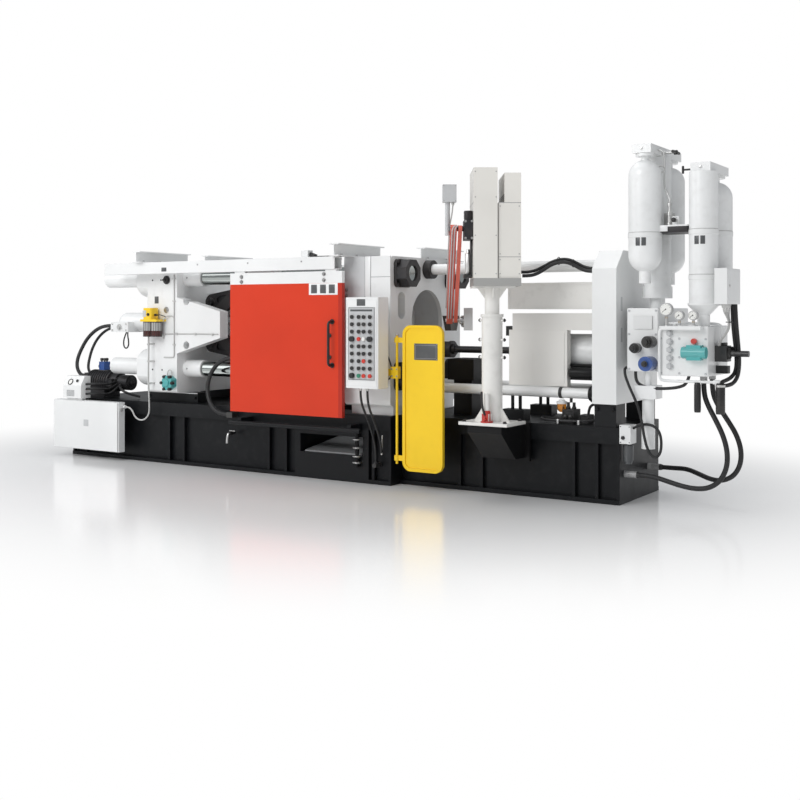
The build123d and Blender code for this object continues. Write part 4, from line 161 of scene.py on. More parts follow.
AMBER = Finish((0.50, 0.19, 0.02), Surface.GLASS, rough=0.08, grain=120.0, bump=0.02, slot="black_plastic")
SILVER = Finish((0.66, 0.66, 0.65), Surface.METAL, rough=0.35, grain=400.0, bump=0.06, dirt=0.1,
                slot="machined_steel")
JACK_RED = Finish((0.52, 0.022, 0.014), rough=0.30, dirt=0.12, tint=(0.15, 0.02, 0.01), slot="red_paint")
DARK_PLATE = Finish((0.075, 0.080, 0.085), Surface.PLASTIC, rough=0.32, grain=500.0, bump=0.02,
                    slot="black_plastic")
OIL_DARK = Finish((0.035, 0.02, 0.02), Surface.PLASTIC, rough=0.25, grain=300.0, bump=0.02,
                  slot="black_plastic")


def feed(tree: Tree, target: bpy.types.Node, inputs: dict[str | int, Any]) -> None:
    """Give a node's inputs their values, and link those that come from a socket."""
    for key, value in inputs.items():
        if isinstance(value, Socket):
            tree.links.new(value, target.inputs[key])
        else:
            target.inputs[key].default_value = value


def node(tree: Tree, kind: str, inputs: dict[str | int, Any], **settings: str) -> bpy.types.Node:
    """Shader node of a kind, with its settings and inputs."""
    made = tree.nodes.new("ShaderNode" + kind)
    for name, value in settings.items():
        setattr(made, name, value)
    feed(tree, made, inputs)
    return made


class FinishLibrary:
    """Makes each finish's node material once."""

    PATCH_NOISE = (1.6, 5.0)  # scale and detail of the colour's patches
    PATCH_SPAN = (0.30, 0.75)  # noise at which they begin and are full
    PATCH_SHADE = 0.90  # how dark they are
    ROUGH_NOISE = (9.0, 4.0)
    ROUGH_SPAN = (-0.07, 0.10)  # about the finish's own roughness
    WEAR_NOISE = (14.0, 8.0)
    WEAR_SPAN = (0.50, 0.78)
    EDGE_SPAN = (0.52, 0.62)  # pointiness of an edge that is worn
    EDGE_SHARE = 0.6  # how much an edge wears, to a patch's 1
    GRAIN_HEIGHT = 0.0015
    GRAIN_GAIN = 4
    BRUSHED = (0.06, 1.0, 1.0)  # stretch of the grain on metal
    PLAIN_SHINE = 0.5  # paint that is duller has hardly any clear coat
    SURFACE_INPUTS = {Surface.METAL: {"Metallic": 1.0}, Surface.CAST: {"Metallic": 0.55},
                      Surface.GLASS: {"Transmission Weight": 0.88, "IOR": 1.46}}

    def __init__(self) -> None:
        self._made: dict[Finish, bpy.types.Material] = {}

    def material(self, finish: Finish, name: str) -> bpy.types.Material:
        """Material of a finish.

        Args:
            finish: the finish.
            name: name for a material that isn't made yet.

        Returns:
            The material, shared by all the pieces with that finish.
        """
        if finish not in self._made:
            self._made[finish] = self._build(finish, name)
        return self._made[finish]

    def _build(self, finish: Finish, name: str) -> bpy.types.Material:
        """Node tree of one finish: colour patches, worn edges, grain, and roughness patches."""
        material = bpy.data.materials.new("mat_" + name)
        material.use_nodes = True
        tree = material.node_tree
        place = node(tree, "TexCoord", {}).outputs["Object"]
        colour = self._patches(tree, place, finish.colour)
        for zone in finish.zones:
            colour = self._blend(tree, self._inside(tree, place, zone), colour, zone.colour)
        colour = self._blend(tree, self._wear(tree, place, finish), colour, finish.tint)
        smoother, rougher = self.ROUGH_SPAN
        rough = node(tree, "MapRange", {"Value": self._noise(tree, place, *self.ROUGH_NOISE),
                                        "To Min": max(0.02, finish.rough + smoother),
                                        "To Max": min(1.0, finish.rough + rougher)})
        bump = node(tree, "Bump", {"Strength": min(1.0, finish.bump * self.GRAIN_GAIN),
                                   "Distance": self.GRAIN_HEIGHT, "Height": self._grain(tree, place, finish)})
        feed(tree, tree.nodes["Principled BSDF"], {
            "Base Color": colour, "Roughness": rough.outputs["Result"], "Normal": bump.outputs["Normal"],
            "Specular IOR Level": finish.shine, **self._surface(finish)})
        return material

    def _surface(self, finish: Finish) -> dict[str, float]:
        """Shader inputs that depend on what a finish is made of."""
        if finish.surface is Surface.ENAMEL:
            coated = finish.shine >= self.PLAIN_SHINE
            return {"Coat Weight": 0.35 if coated else 0.06, "Coat Roughness": 0.18}
        return self.SURFACE_INPUTS.get(finish.surface, {})

    def _patches(self, tree: Tree, place: Socket, colour: Colour) -> Socket:
        """Colour with large and slightly darker patches."""
        ramp = node(tree, "ValToRGB", {"Fac": self._noise(tree, place, *self.PATCH_NOISE)})
        shades = (colour, tuple(part * self.PATCH_SHADE for part in colour))
        for stop, position, shade in zip(ramp.color_ramp.elements, self.PATCH_SPAN, shades):
            stop.position = position
            stop.color = (*shade, 1.0)
        return ramp.outputs["Color"]

    @staticmethod
    def _noise(tree: Tree, place: Socket, scale: float, detail: float) -> Socket:
        """Noise over the object's own coordinates."""
        return node(tree, "TexNoise", {"Vector": place, "Scale": scale, "Detail": detail}).outputs["Fac"]

    def _grain(self, tree: Tree, place: Socket, finish: Finish) -> Socket:
        """Height of the surface's grain: brush lines on metal, cells on castings, peel on paint."""
        if finish.surface is Surface.METAL:
            stretch = node(tree, "Mapping", {"Vector": place, "Scale": self.BRUSHED})
            return self._noise(tree, stretch.outputs["Vector"], finish.grain * 4, 3.0)
        if finish.surface is Surface.CAST:
            return node(tree, "TexVoronoi", {"Vector": place, "Scale": finish.grain}).outputs["Distance"]
        return self._noise(tree, place, finish.grain, 2.0)

    def _wear(self, tree: Tree, place: Socket, finish: Finish) -> Socket:
        """Mask of dust and wear, strongest on sharp edges and in scattered patches."""
        edge = self._between(tree, node(tree, "NewGeometry", {}).outputs["Pointiness"], self.EDGE_SPAN)
        patch = self._between(tree, self._noise(tree, place, *self.WEAR_NOISE), self.WEAR_SPAN)
        both = self._math(tree, "MAXIMUM", patch, self._math(tree, "MULTIPLY", edge, self.EDGE_SHARE))
        return self._math(tree, "MULTIPLY", both, finish.dirt)

    @staticmethod
    def _between(tree: Tree, value: Socket, span: Span) -> Socket:
        """Mask that rises from 0 to 1 between two values."""
        limits = {"Value": value, "From Min": span[0], "From Max": span[1]}
        return node(tree, "MapRange", limits).outputs["Result"]

    @staticmethod
    def _math(tree: Tree, operation: str, first: Socket, second: Socket | float) -> Socket:
        """One Math node."""
        return node(tree, "Math", {0: first, 1: second}, operation=operation).outputs["Value"]

    def _inside(self, tree: Tree, place: Socket, zone: Zone) -> Socket:
        """Mask that is 1 inside a zone's box."""
        parts = node(tree, "SeparateXYZ", {"Vector": place})
        mask = None
        for axis, (low, high) in zip("XYZ", (zone.x, zone.y, zone.z)):
            offset = self._math(tree, "SUBTRACT", parts.outputs[axis], (low + high) / 2)
            distance = self._math(tree, "ABSOLUTE", offset, 0.0)
            near = self._math(tree, "LESS_THAN", distance, (high - low) / 2)
            mask = near if mask is None else self._math(tree, "MULTIPLY", mask, near)
        return mask

    @staticmethod
    def _blend(tree: Tree, mask: Socket, under: Socket, over: Colour) -> Socket:
        """Colour that turns to another one where the mask is 1."""
        inputs = {"Factor": mask, 6: under, 7: (*over, 1.0)}
        return node(tree, "Mix", inputs, data_type="RGBA").outputs[2]


@dataclass(frozen=True)
class Placement:
    """Where a piece drawn about its own origin stands.

    Attributes:
        at: place of its origin.
        turn: turn about Z, in degrees.
        tilt: tilt about X before the turn, in degrees.
    """

    at: Point = (0.0, 0.0, 0.0)
    turn: float = 0.0
    tilt: float = 0.0


HERE = Placement()


@dataclass(frozen=True)
class Workshop:
    """Makes pieces from shaped primitives, and gives each its finish and its body."""

    library: FinishLibrary

    @staticmethod
    def _alone(obj: Part) -> None:
        """Make one object the only selected and the active one."""
        bpy.ops.object.select_all(action="DESELECT")
        obj.select_set(True)
        bpy.context.view_layer.objects.active = obj

    def _edges(self, obj: Part, width: float, steps: int = 2) -> Part:
        """Round an object's sharp edges and shade it."""
        self._alone(obj)
        bpy.ops.object.transform_apply(location=True, rotation=True, scale=True)
        if width > 0:
            bevel = obj.modifiers.new("edge", "BEVEL")
            bevel.width = width
            bevel.segments = steps
            bevel.limit_method = "ANGLE"
            bevel.angle_limit = BEVEL_ANGLE
            bpy.ops.object.modifier_apply(modifier=bevel.name)
        bpy.ops.object.shade_smooth_by_angle(angle=SMOOTH_ANGLE)
        return obj

    def box(self, x: Span, y: Span, z: Span, edge: float = 0.003) -> Part:
        """Box between two x, two y and two z values with rounded edges."""
        bpy.ops.object.select_all(action="DESELECT")
        middle = ((x[0] + x[1]) / 2, (y[0] + y[1]) / 2, (z[0] + z[1]) / 2)
        bpy.ops.mesh.primitive_cube_add(size=1, location=middle)
        obj = bpy.context.active_object
        obj.scale = (abs(x[1] - x[0]), abs(y[1] - y[0]), abs(z[1] - z[0]))
        return self._edges(obj, edge)

    def tray(self, x: Span, y: Span, z: Span, facing: Point, rim: float, depth: float,
             edge: float = 0.0015) -> Part:
        """Box with one face inset and sunk, or raised where the depth is negative.

        Args:
            x: its two x values.
            y: its two y values.
            z: its two z values.
            facing: direction of the face that is shaped.
            rim: width of the rim left round it.
            depth: how far it is sunk.
            edge: width of the rounded edges.

        Returns:
            The box.
        """
        obj = self.box(x, y, z, 0)
        bpy.ops.object.mode_set(mode="EDIT")
        bpy.ops.mesh.select_all(action="DESELECT")
        bpy.ops.mesh.select_mode(type="FACE")
        bpy.ops.object.mode_set(mode="OBJECT")
        for face in obj.data.polygons:
            face.select = sum(n * f for n, f in zip(face.normal, facing)) > FACES_ALONG
        bpy.ops.object.mode_set(mode="EDIT")
        bpy.ops.mesh.inset(thickness=rim, depth=0)
        bpy.ops.mesh.inset(thickness=min(rim, abs(depth)) / 4, depth=-depth)
        bpy.ops.object.mode_set(mode="OBJECT")
        return self._edges(obj, edge)

    def turned(self, axis: Axis, start: Point, steps: Sequence[Span], edge: float = 0.0008,
               sides: int = 32) -> Part:
        """Round piece: a disc extruded and resized step by step along an axis.

        Args:
            axis: direction that its distances are counted in.
            start: point that they are counted from.
            steps: distance and diameter of each step.
            edge: width of the rounded edges.
            sides: number of its sides.

        Returns:
            The piece.
        """
        bpy.ops.object.select_all(action="DESELECT")
        bpy.ops.mesh.primitive_circle_add(vertices=sides, radius=steps[0][1] / 2, fill_type="NGON")
        obj = bpy.context.active_object
        bpy.ops.object.mode_set(mode="EDIT")
        bpy.ops.mesh.select_all(action="SELECT")
        bpy.ops.transform.translate(value=(0, 0, steps[0][0]))
        for (place, wide), (far, narrow) in zip(steps, steps[1:]):
            bpy.ops.mesh.extrude_region_move(TRANSFORM_OT_translate={"value": (0, 0, far - place)})
            scale = narrow / wide
            bpy.ops.transform.resize(value=(scale, scale, 1), center_override=(0, 0, far))
        bpy.ops.mesh.select_all(action="SELECT")
        bpy.ops.mesh.normals_make_consistent(inside=False)
        bpy.ops.object.mode_set(mode="OBJECT")
        obj.rotation_euler = axis.value
        obj.location = start
        return self._edges(obj, edge, 1)

    def rod(self, axis: Axis, start: Point, length: float, dia: float, edge: float = 0.001, sides: int = 32,
            tip: float = 1.0) -> Part:
        """Round bar from a point along an axis, tapered to tip times its diameter."""
        return self.turned(axis, start, ((0, dia), (length, dia * tip)), min(edge, abs(length) / 3), sides)

    def ring(self, axis: Axis, middle: Point, dia: float, wire: float, sides: int = 32) -> Part:
        """Torus about a point."""
        bpy.ops.object.select_all(action="DESELECT")
        bpy.ops.mesh.primitive_torus_add(location=middle, rotation=axis.value, major_radius=dia / 2,
                                         minor_radius=wire / 2, major_segments=sides, minor_segments=8)
        return self._edges(bpy.context.active_object, 0)

    def lean(self, obj: Part, axis: str, degrees: float, about: Point) -> Part:
        """Turn a part about a point."""
        self._alone(obj)
        bpy.ops.transform.rotate(value=math.radians(degrees), orient_axis=axis, center_override=about)
        return self._edges(obj, 0)

    def copies(self, obj: Part, places: Iterable[Point]) -> list[Part]:
        """Copies of a piece drawn at the origin, each with its own mesh, at all the places."""
        made = []
        for place in places:
            self._alone(obj)
            bpy.ops.object.duplicate()
            twin = bpy.context.active_object
            twin.location = place
            bpy.ops.object.transform_apply(location=True, rotation=False, scale=False)
            made.append(twin)
        bpy.data.objects.remove(obj)
        return made

    def joined(self, parts: Iterable[Part]) -> Part:
        """Parts joined into one object."""
        parts = list(parts)
        self._alone(parts[0])
        for part in parts:
            part.select_set(True)
        if len(parts) > 1:
            bpy.ops.object.join()
        return bpy.context.active_object

    def bolts(self, axis: Axis, places: Iterable[Point], across: float, height: float) -> list[Part]:
        """Hexagon heads on washers, standing along the axis, or against it where the height is negative."""
        washer = self.turned(axis, (0, 0, 0),
                             ((0, across * WASHER), (height * 0.2, across * WASHER)), 0.0005, 16)
        head = self.turned(axis, (0, 0, 0), ((height * 0.2, across), (height * 0.85, across),
                                             (height, across * 0.8)), 0.0, 6)
        return self.copies(self.joined((washer, head)), places)

    def screws(self, axis: Axis, places: Iterable[Point], dia: float, height: float) -> list[Part]:
        """Low round heads."""
        head = self.turned(axis, (0, 0, 0), ((0, dia), (height * 0.6, dia), (height, dia * 0.65)), 0.0, 16)
        return self.copies(head, places)

    def pipe(self, points: Sequence[Point], dia: float) -> Part:
        """Fixed pipe or conduit along a smooth line, as a mesh."""
        line = self.curve("pipe_line", points, dia, bevel=3, steps=6)
        self._alone(line)
        bpy.ops.object.convert(target="MESH")
        return self._edges(bpy.context.active_object, 0)

    @staticmethod
    def curve(name: str, points: Sequence[Point], dia: float, order: int = 3, bevel: int = 6,
              steps: int = 10) -> Part:
        """Round NURBS line through control points."""
        data = bpy.data.curves.new(name, "CURVE")
        data.dimensions = "3D"
        data.bevel_depth = 1.0
        data.bevel_resolution = bevel
        data.resolution_u = steps
        data.use_fill_caps = True
        spline = data.splines.new("NURBS")
        spline.points.add(len(points) - 1)
        for target, place in zip(spline.points, points):
            target.co = (*place, 1.0)
            target.radius = dia / 2
        spline.order_u = order
        spline.use_endpoint_u = True
        obj = bpy.data.objects.new(name, data)
        bpy.context.scene.collection.objects.link(obj)
        return obj

    def piece(self, name: str, parts: Iterable[Part], finish: Finish, body: str = "machine",
              place: Placement = HERE, slot: str = "") -> None:
        """Join parts into one named piece.

        Args:
            name: name of the piece.
            parts: objects that become the piece.
            finish: its finish.
            body: the body that it rides on.
            place: where it stands, for parts drawn about their own origin.
            slot: name of the record's material slot for it, where that isn't the finish's own; not used.
        """
        obj = self.joined(parts)
        obj.rotation_euler = (math.radians(place.tilt), 0.0, math.radians(place.turn))
        obj.location = place.at
        self._alone(obj)
        bpy.ops.object.transform_apply(location=True, rotation=True, scale=True)
        obj.name = name
        obj.data.name = name
        obj.data.materials.clear()
        obj.data.materials.append(self.library.material(finish, name))
        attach(obj, body)
        LOG.info("piece %s: %d faces, rides on %s", name, len(obj.data.polygons), body)


def circle(axis: Axis, middle: Point, radius: float, count: int, first: float = 0.0) -> list[Point]:
    """Points round a middle, across an axis.

    Args:
        axis: the axis that they lie round.
        middle: their middle.
        radius: how far from it they are.
        count: how many there are.
        first: angle of the first, in degrees.

    Returns:
        The points.
    """
    x, y, z = middle
    points = []
    for index in range(count):
        angle = math.radians(first + 360 / count * index)
        across, along = radius * math.cos(angle), radius * math.sin(angle)
        points.append({Axis.X: (x, y + across, z + along), Axis.Y: (x + across, y, z + along),
                       Axis.Z: (x + across, y + along, z)}[axis])
    return points


@dataclass(frozen=True)
class HoseRoute:
    """One hose or cable: its CAD node, diameter, finish and control points."""

    node: str
    dia: float
    finish: Finish
    points: tuple[Point, ...]


def route(node: str, dia: float, finish: Finish, *points: Point) -> HoseRoute:
    """Route from points in millimetres."""
    return HoseRoute(node, dia, finish, tuple((x / 1000, y / 1000, z / 1000) for x, y, z in points))


ROUTES = (
    route("clamp_hose_a", 0.038, RUBBER, (-2905.3, -150, 1352), (-3042, -150, 1352), (-3169, -172, 1300),
          (-3266, -205, 1203), (-3318, -245, 1076), (-3318, -290, 984), (-3286, -325, 905),
          (-3225, -350, 845), (-3146, -370, 812), (-3060.3, -370, 812)),
    route("clamp_hose_b", 0.030, RUBBER, (-2905.3, -60, 1330), (-3029, -60, 1330), (-3143, -72, 1283),
          (-3230, -95, 1196), (-3277, -125, 1082), (-3277, -165, 960), (-3249, -200, 894), (-3198, -228, 843),
          (-3132, -250, 815), (-3060.3, -250, 815)),
    route("cooling_hose", 0.040, RUBBER, (-810.3, -560, 1060), (-901, -560, 1060), (-1001, -570, 1019),
          (-1074, -584, 946), (-1115, -600, 846), (-1115, -617, 744), (-1074, -634, 644), (-1001, -648, 571),
          (-901, -655, 530), (-815.3, -655, 530)),
    route("return_hose_a", 0.038, RUBBER, (3100.3, -330, 232), (3220, -330, 232), (3340, -338, 205),
          (3460, -352, 178), (3580, -372, 168), (3690, -394, 188), (3780, -414, 255), (3828, -424, 360),
          (3830, -424, 475), (3795, -414, 590), (3735, -400, 700), (3675, -388, 800), (3640, -380, 890),
          (3640, -380, 985)),
    route("return_hose_b", 0.038, RUBBER, (3100.3, 190, 232), (3210, 190, 232), (3340, 150, 240),
          (3455, 90, 215), (3570, 20, 190), (3680, -40, 195), (3780, -85, 245), (3840, -115, 340),
          (3850, -130, 455), (3815, -135, 570), (3750, -140, 675), (3680, -148, 780), (3635, -152, 880),
          (3635, -152, 985)),
    route("ladle_hose", 0.028, RUBBER, (2238, -590, 1790), (2290, -556.6, 1790), (2338, -528, 1806),
          (2386, -504, 1838), (2432, -480, 1874), (2490, -460, 1897), (2552, -442, 1899), (2610, -424, 1874),
          (2662, -408, 1842), (2719, -400, 1822), (2779.7, -400, 1822)),
    route("panel_cable_a", 0.020, RUBBER, (800, -790, 854.7), (800, -790, 780), (806, -774, 700),
          (818, -742, 625), (830, -706, 545), (838, -672, 460), (842, -640, 375), (842, -620, 290),
          (842, -620, 200)),
    route("cabinet_cable", 0.016, SHEATH, (-2137.7, -700, 545), (-2100, -700, 545), (-2065, -699, 530.5),
          (-2038, -697, 503.6), (-2022.7, -694, 466.6), (-1994.4, -690, 438.3), (-1957.4, -686, 423),
          (-1917.4, -682, 423), (-1880.4, -678, 438.3), (-1852.1, -674, 466.6), (-1836.8, -671, 503.6),
          (-1837, -669, 545), (-1839, -668, 615), (-1843, -672, 730), (-1838, -682, 905), (-1843, -672, 1085),
          (-1843, -672, 1254.7)),
)


class HoseSet(Workshop):
    """The free hoses and cables, each a smooth line on its CAD route."""

    @staticmethod
    def _length(obj: Part) -> float:
        """Length of a curve's own line."""
        depth = obj.data.bevel_depth
        obj.data.bevel_depth = 0.0
        graph = bpy.context.evaluated_depsgraph_get()
        line = bpy.data.meshes.new_from_object(obj.evaluated_get(graph))
        total = sum((line.vertices[a].co - line.vertices[b].co).length
                    for a, b in (e.vertices for e in line.edges))
        bpy.data.meshes.remove(line)
        obj.data.bevel_depth = depth
        return total

    def build(self, routes: Iterable[HoseRoute]) -> None:
        for item in routes:
            hose = self.curve("line_" + item.node, item.points, item.dia)
            hose.data.materials.append(self.library.material(item.finish, item.node))
            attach(hose, "machine")
            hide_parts(item.node)
            length = round(self._length(hose), 3)
            LOG.info("hose %s: %.3f m long", item.node, length)


@dataclass(frozen=True)
class Studio:
    """Camera, floor, surroundings and lights of the picture.

    Attributes:
        eye: the camera's place, level and turned by yaw degrees about Z.
        yaw: that turn.
        lens: focal length in mm for the sensor's width in mm.
        sensor: that width.
        shift_y: the camera's vertical shift.
        far_clip: how far the camera sees.
        floor_size: side of the floor.
        floor_shades: darkest and palest grey of the floor.
        floor_look: its roughness, specular level and index of refraction.
        white_from: half lengths of the oval outside which the floor is plain white.
        fade_from: share of the oval at which it starts to fade.
        sky: colour and strength of the surroundings' light.
        lights: name, place, aim, size and power of each light.
    """

    eye: Point = (6.19469, -8.56699, 1.5)
    yaw: float = 32.7
    lens: float = 49.725
    sensor: float = 36.0
    shift_y: float = -0.11
    far_clip: float = 200.0
    floor_size: float = 60.0
    floor_shades: Span = (0.955, 0.975)
    floor_look: Point = (0.15, 1.0, 2.4)
    white_from: Span = (6.2, 5.0)
    fade_from: float = 0.42
    sky: tuple[Colour, float] = ((0.95, 0.97, 1.0), 0.46)
    lights: tuple[tuple[str, Point, Point, float, float], ...] = (
        ("key_light", (-0.8, -9.0, 6.2), (0.0, 0.0, 1.0), 5.0, 430.0),
        ("left_light", (-7.0, -4.5, 4.5), (-1.5, 0.0, 1.2), 4.0, 95.0),
        ("top_light", (0.0, 0.5, 8.0), (0.0, 0.0, 0.8), 7.0, 230.0))

    def camera(self) -> None:
        """Level camera at the place that the photo was taken from."""
        data = bpy.data.cameras.new("camera")
        data.lens = self.lens
        data.sensor_width = self.sensor
        data.shift_y = self.shift_y
        data.clip_end = self.far_clip
        camera = bpy.data.objects.new("camera", data)
        camera.location = self.eye
        camera.rotation_euler = (math.pi / 2, 0.0, math.radians(self.yaw))
        bpy.context.scene.collection.objects.link(camera)
        bpy.context.scene.camera = camera

    def floor(self) -> None:
        """Pale, slightly glossy floor under the machine, which fades to plain white."""
        bpy.ops.object.select_all(action="DESELECT")
        bpy.ops.mesh.primitive_plane_add(size=self.floor_size, location=(0, 0, -0.001))
        floor = bpy.context.active_object
        floor.name = "studio_floor"
        material = bpy.data.materials.new("mat_studio_floor")
        material.use_nodes = True
        tree = material.node_tree
        shader = tree.nodes["Principled BSDF"]
        place = node(tree, "TexCoord", {}).outputs["Object"]
        noise = node(tree, "TexNoise", {"Vector": place, "Scale": 3.0})
        ramp = node(tree, "ValToRGB", {"Fac": noise.outputs["Fac"]})
        for stop, shade in zip(ramp.color_ramp.elements, self.floor_shades):
            stop.color = (shade, shade, shade, 1.0)
        rough, specular, refraction = self.floor_look
        feed(tree, shader, {"Base Color": ramp.outputs["Color"], "Roughness": rough,
                            "Specular IOR Level": specular, "IOR": refraction})
        shrink = (1 / self.white_from[0], 1 / self.white_from[1], 1.0)
        oval = node(tree, "Mapping", {"Vector": place, "Scale": shrink})
        length = node(tree, "VectorMath", {0: oval.outputs["Vector"]}, operation="LENGTH")
        fade = node(tree, "MapRange", {"Value": length.outputs["Value"], "From Min": self.fade_from,
                                       "From Max": 1.0}, interpolation_type="SMOOTHSTEP")
        plain = node(tree, "Emission", {"Color": (1.0, 1.0, 1.0, 1.0)})
        mix = node(tree, "MixShader", {"Fac": fade.outputs["Result"], 1: shader.outputs["BSDF"],
                                       2: plain.outputs["Emission"]})
        feed(tree, tree.nodes["Material Output"], {"Surface": mix.outputs["Shader"]})
        floor.data.materials.append(material)

    @staticmethod
    def light(name: str, place: Point, aim: Point, size: float, power: float) -> None:
        """Soft area light turned to a point."""
        data = bpy.data.lights.new(name, "AREA")
        data.shape = "SQUARE"
        data.size = size
        data.energy = power
        lamp = bpy.data.objects.new(name, data)
        lamp.location = place
        away = [a - p for a, p in zip(aim, place)]
        flat = math.hypot(away[0], away[1])
        lamp.rotation_euler = (math.atan2(flat, -away[2]), 0.0, math.atan2(away[1], away[0]) - math.pi / 2)
        bpy.context.scene.collection.objects.link(lamp)

    def world(self) -> None:
        """White surroundings, seen as plain white and lighting the machine softly."""
        world = bpy.data.worlds.new("studio_world")
        bpy.context.scene.world = world
        world.use_nodes = True
        tree = world.node_tree
        sky = tree.nodes["Background"]
        colour, strength = self.sky
        feed(tree, sky, {"Color": (*colour, 1.0), "Strength": strength})
        seen = node(tree, "Background", {"Color": (1.0, 1.0, 1.0, 1.0), "Strength": 1.0})
        ray = node(tree, "LightPath", {}).outputs
        either = node(tree, "Math", {0: ray["Is Camera Ray"], 1: ray["Is Transmission Ray"]},
                      operation="MAXIMUM")
        mix = node(tree, "MixShader", {"Fac": either.outputs["Value"], 1: sky.outputs["Background"],
                                       2: seen.outputs["Background"]})
        feed(tree, tree.nodes["World Output"], {"Surface": mix.outputs["Shader"]})

    def build(self) -> None:
        """Set the whole studio up."""
        bpy.context.scene.view_settings.view_transform = "Standard"
        self.world()
        self.floor()
        for light in self.lights:
            self.light(*light)


ALL = (-9.0, 9.0)
TIE_Y = 0.436
TIE_Z = 0.448
AXIS_Z = 1.389
BARS = tuple((sy * TIE_Y, AXIS_Z + sz * TIE_Z) for sy in (-1, 1) for sz in (-1, 1))
SHADED = (0.60, 0.61, 0.62)
FIXED = replace(WHITE, zones=(Zone((0.69, 0.95), (-0.27, 0.27), (0.8, 1.71), SHADED),))
# the door's strip from X 0.562 to 0.62 is painted darker red: painted shade of its folded right edge
LEFT_DOOR = replace(ORANGE, zones=(Zone((0.562, 0.62), ALL, ALL, (0.44, 0.026, 0.012)),))
COVER = replace(WHITE, zones=(Zone((0.50, 0.724), (-0.63, -0.60), (1.63, 1.985), SHADED),))
CUP = replace(CRUCIBLE, zones=(Zone((1.30, 1.60), ALL, ALL, (0.20, 0.20, 0.20)),))
POTS = Finish(YELLOW.colour, rough=0.22, dirt=0.08, tint=YELLOW.tint,
              zones=(Zone((-1.92, -1.66), ALL, (1.315, 1.405), (0.42, 0.43, 0.42)),
                     Zone((-1.92, -1.66), ALL, (1.20, 1.315), (0.055, 0.006, 0.006))))
COLUMN = replace(WARM_WHITE, zones=(Zone((2.043, 2.101), (-0.911, -0.853), (0.63, 0.70), (0.5, 0.03, 0.02)),))
HOUSING = replace(CREAM, zones=(Zone(ALL, ALL, (1.700, 1.766), (0.36, 0.36, 0.35)),))
PANEL = replace(PLASTIC, zones=(Zone(ALL, (-0.9068, -0.80), ALL, (0.50, 0.51, 0.52)),))
VALVES = Finish((0.45, 0.45, 0.45), rough=0.35, zones=(
    Zone((3.08, 3.29), (-0.46, -0.414), (1.35, 1.50), (0.74, 0.75, 0.75)),
    Zone((3.50, 3.70), (-0.60, -0.463), (1.12, 1.256), TEAL.colour),
    Zone((3.57, 3.62), (-0.60, -0.463), (1.259, 1.31), BUTTON_RED.colour),
    Zone((3.17, 3.30), (-0.56, -0.416), (1.045, 1.17), BLUE.colour),
    Zone((3.08, 3.30), (-0.53, -0.416), (1.18, 1.325), PLASTIC.colour),
    Zone((3.698, 3.94), (-0.32, -0.16), (1.10, 1.26), PLASTIC.colour),
    Zone((-0.83, -0.62), ALL, (0.45, 1.10), PLASTIC.colour),
    Zone((0.80, 0.90), ALL, (0.10, 0.25), PLASTIC.colour),
    Zone((-1.70, -1.50), ALL, (0.70, 0.90), TEAL.colour)))
GAUGES = Finish(STEEL.colour, rough=0.30, grain=150.0, bump=0.05, dirt=0.10,
                zones=(Zone((3.30, 3.70), ALL, (1.30, 1.40), (0.80, 0.81, 0.81)),))

FINISHED_NODES: tuple[tuple[Finish, str], ...] = (
    (WHITE, "rear_platen moving_platen tie_bar_covers clamp_cylinder door_rails door_hanger rear_door "
            "rail_beams operator_panel control_cabinet remote_unit injection_cylinder injection_frame "
            "tie_tubes manifold_block gas_bottles accumulators terminal_boxes"),
    (BLACK, "base_frame base_bay base_pads door_guide"),
    (DARK_STEEL, "tie_bar_nuts toggle_links pump_group ladle_drive shot_sleeve plunger"),
    (STEEL, "toggle_pins crosshead"), (CHROME, "tie_bars"), (GREY, "die_chute"),
    (YELLOW, "guard_post splash_guard"), (RED, "ladle_arm ladle_link"),
    (DEEP_BLACK, "ladle_seat sleeve_tray"), (PALE_GREY, "level_probe ladle_head"),
    (FIXED, "fixed_platen"), (LEFT_DOOR, "door_panel"), (PLASTIC, "door_handle"), (COVER, "platen_cover"),
    (PANEL, "panel_controls"), (POTS, "lubricator"), (COLUMN, "ladle_column"), (HOUSING, "ladle_housing"),
    (CUP, "ladle_cup"), (WARM_WHITE, "injection_covers"), (VALVES, "hydraulic_valves"),
    (GAUGES, "pressure_gauges"))
NODE_FINISH = {name: finish for finish, names in FINISHED_NODES for name in names.split()}


def finish_nodes(nodes: dict[str, Part], library: FinishLibrary) -> None:
    """Give every CAD node its finish."""
    for name, obj in nodes.items():
        if name in NODE_FINISH:
            obj.data.materials.clear()
            obj.data.materials.append(library.material(NODE_FINISH[name], name))
            LOG.info("node %s: finished", name)


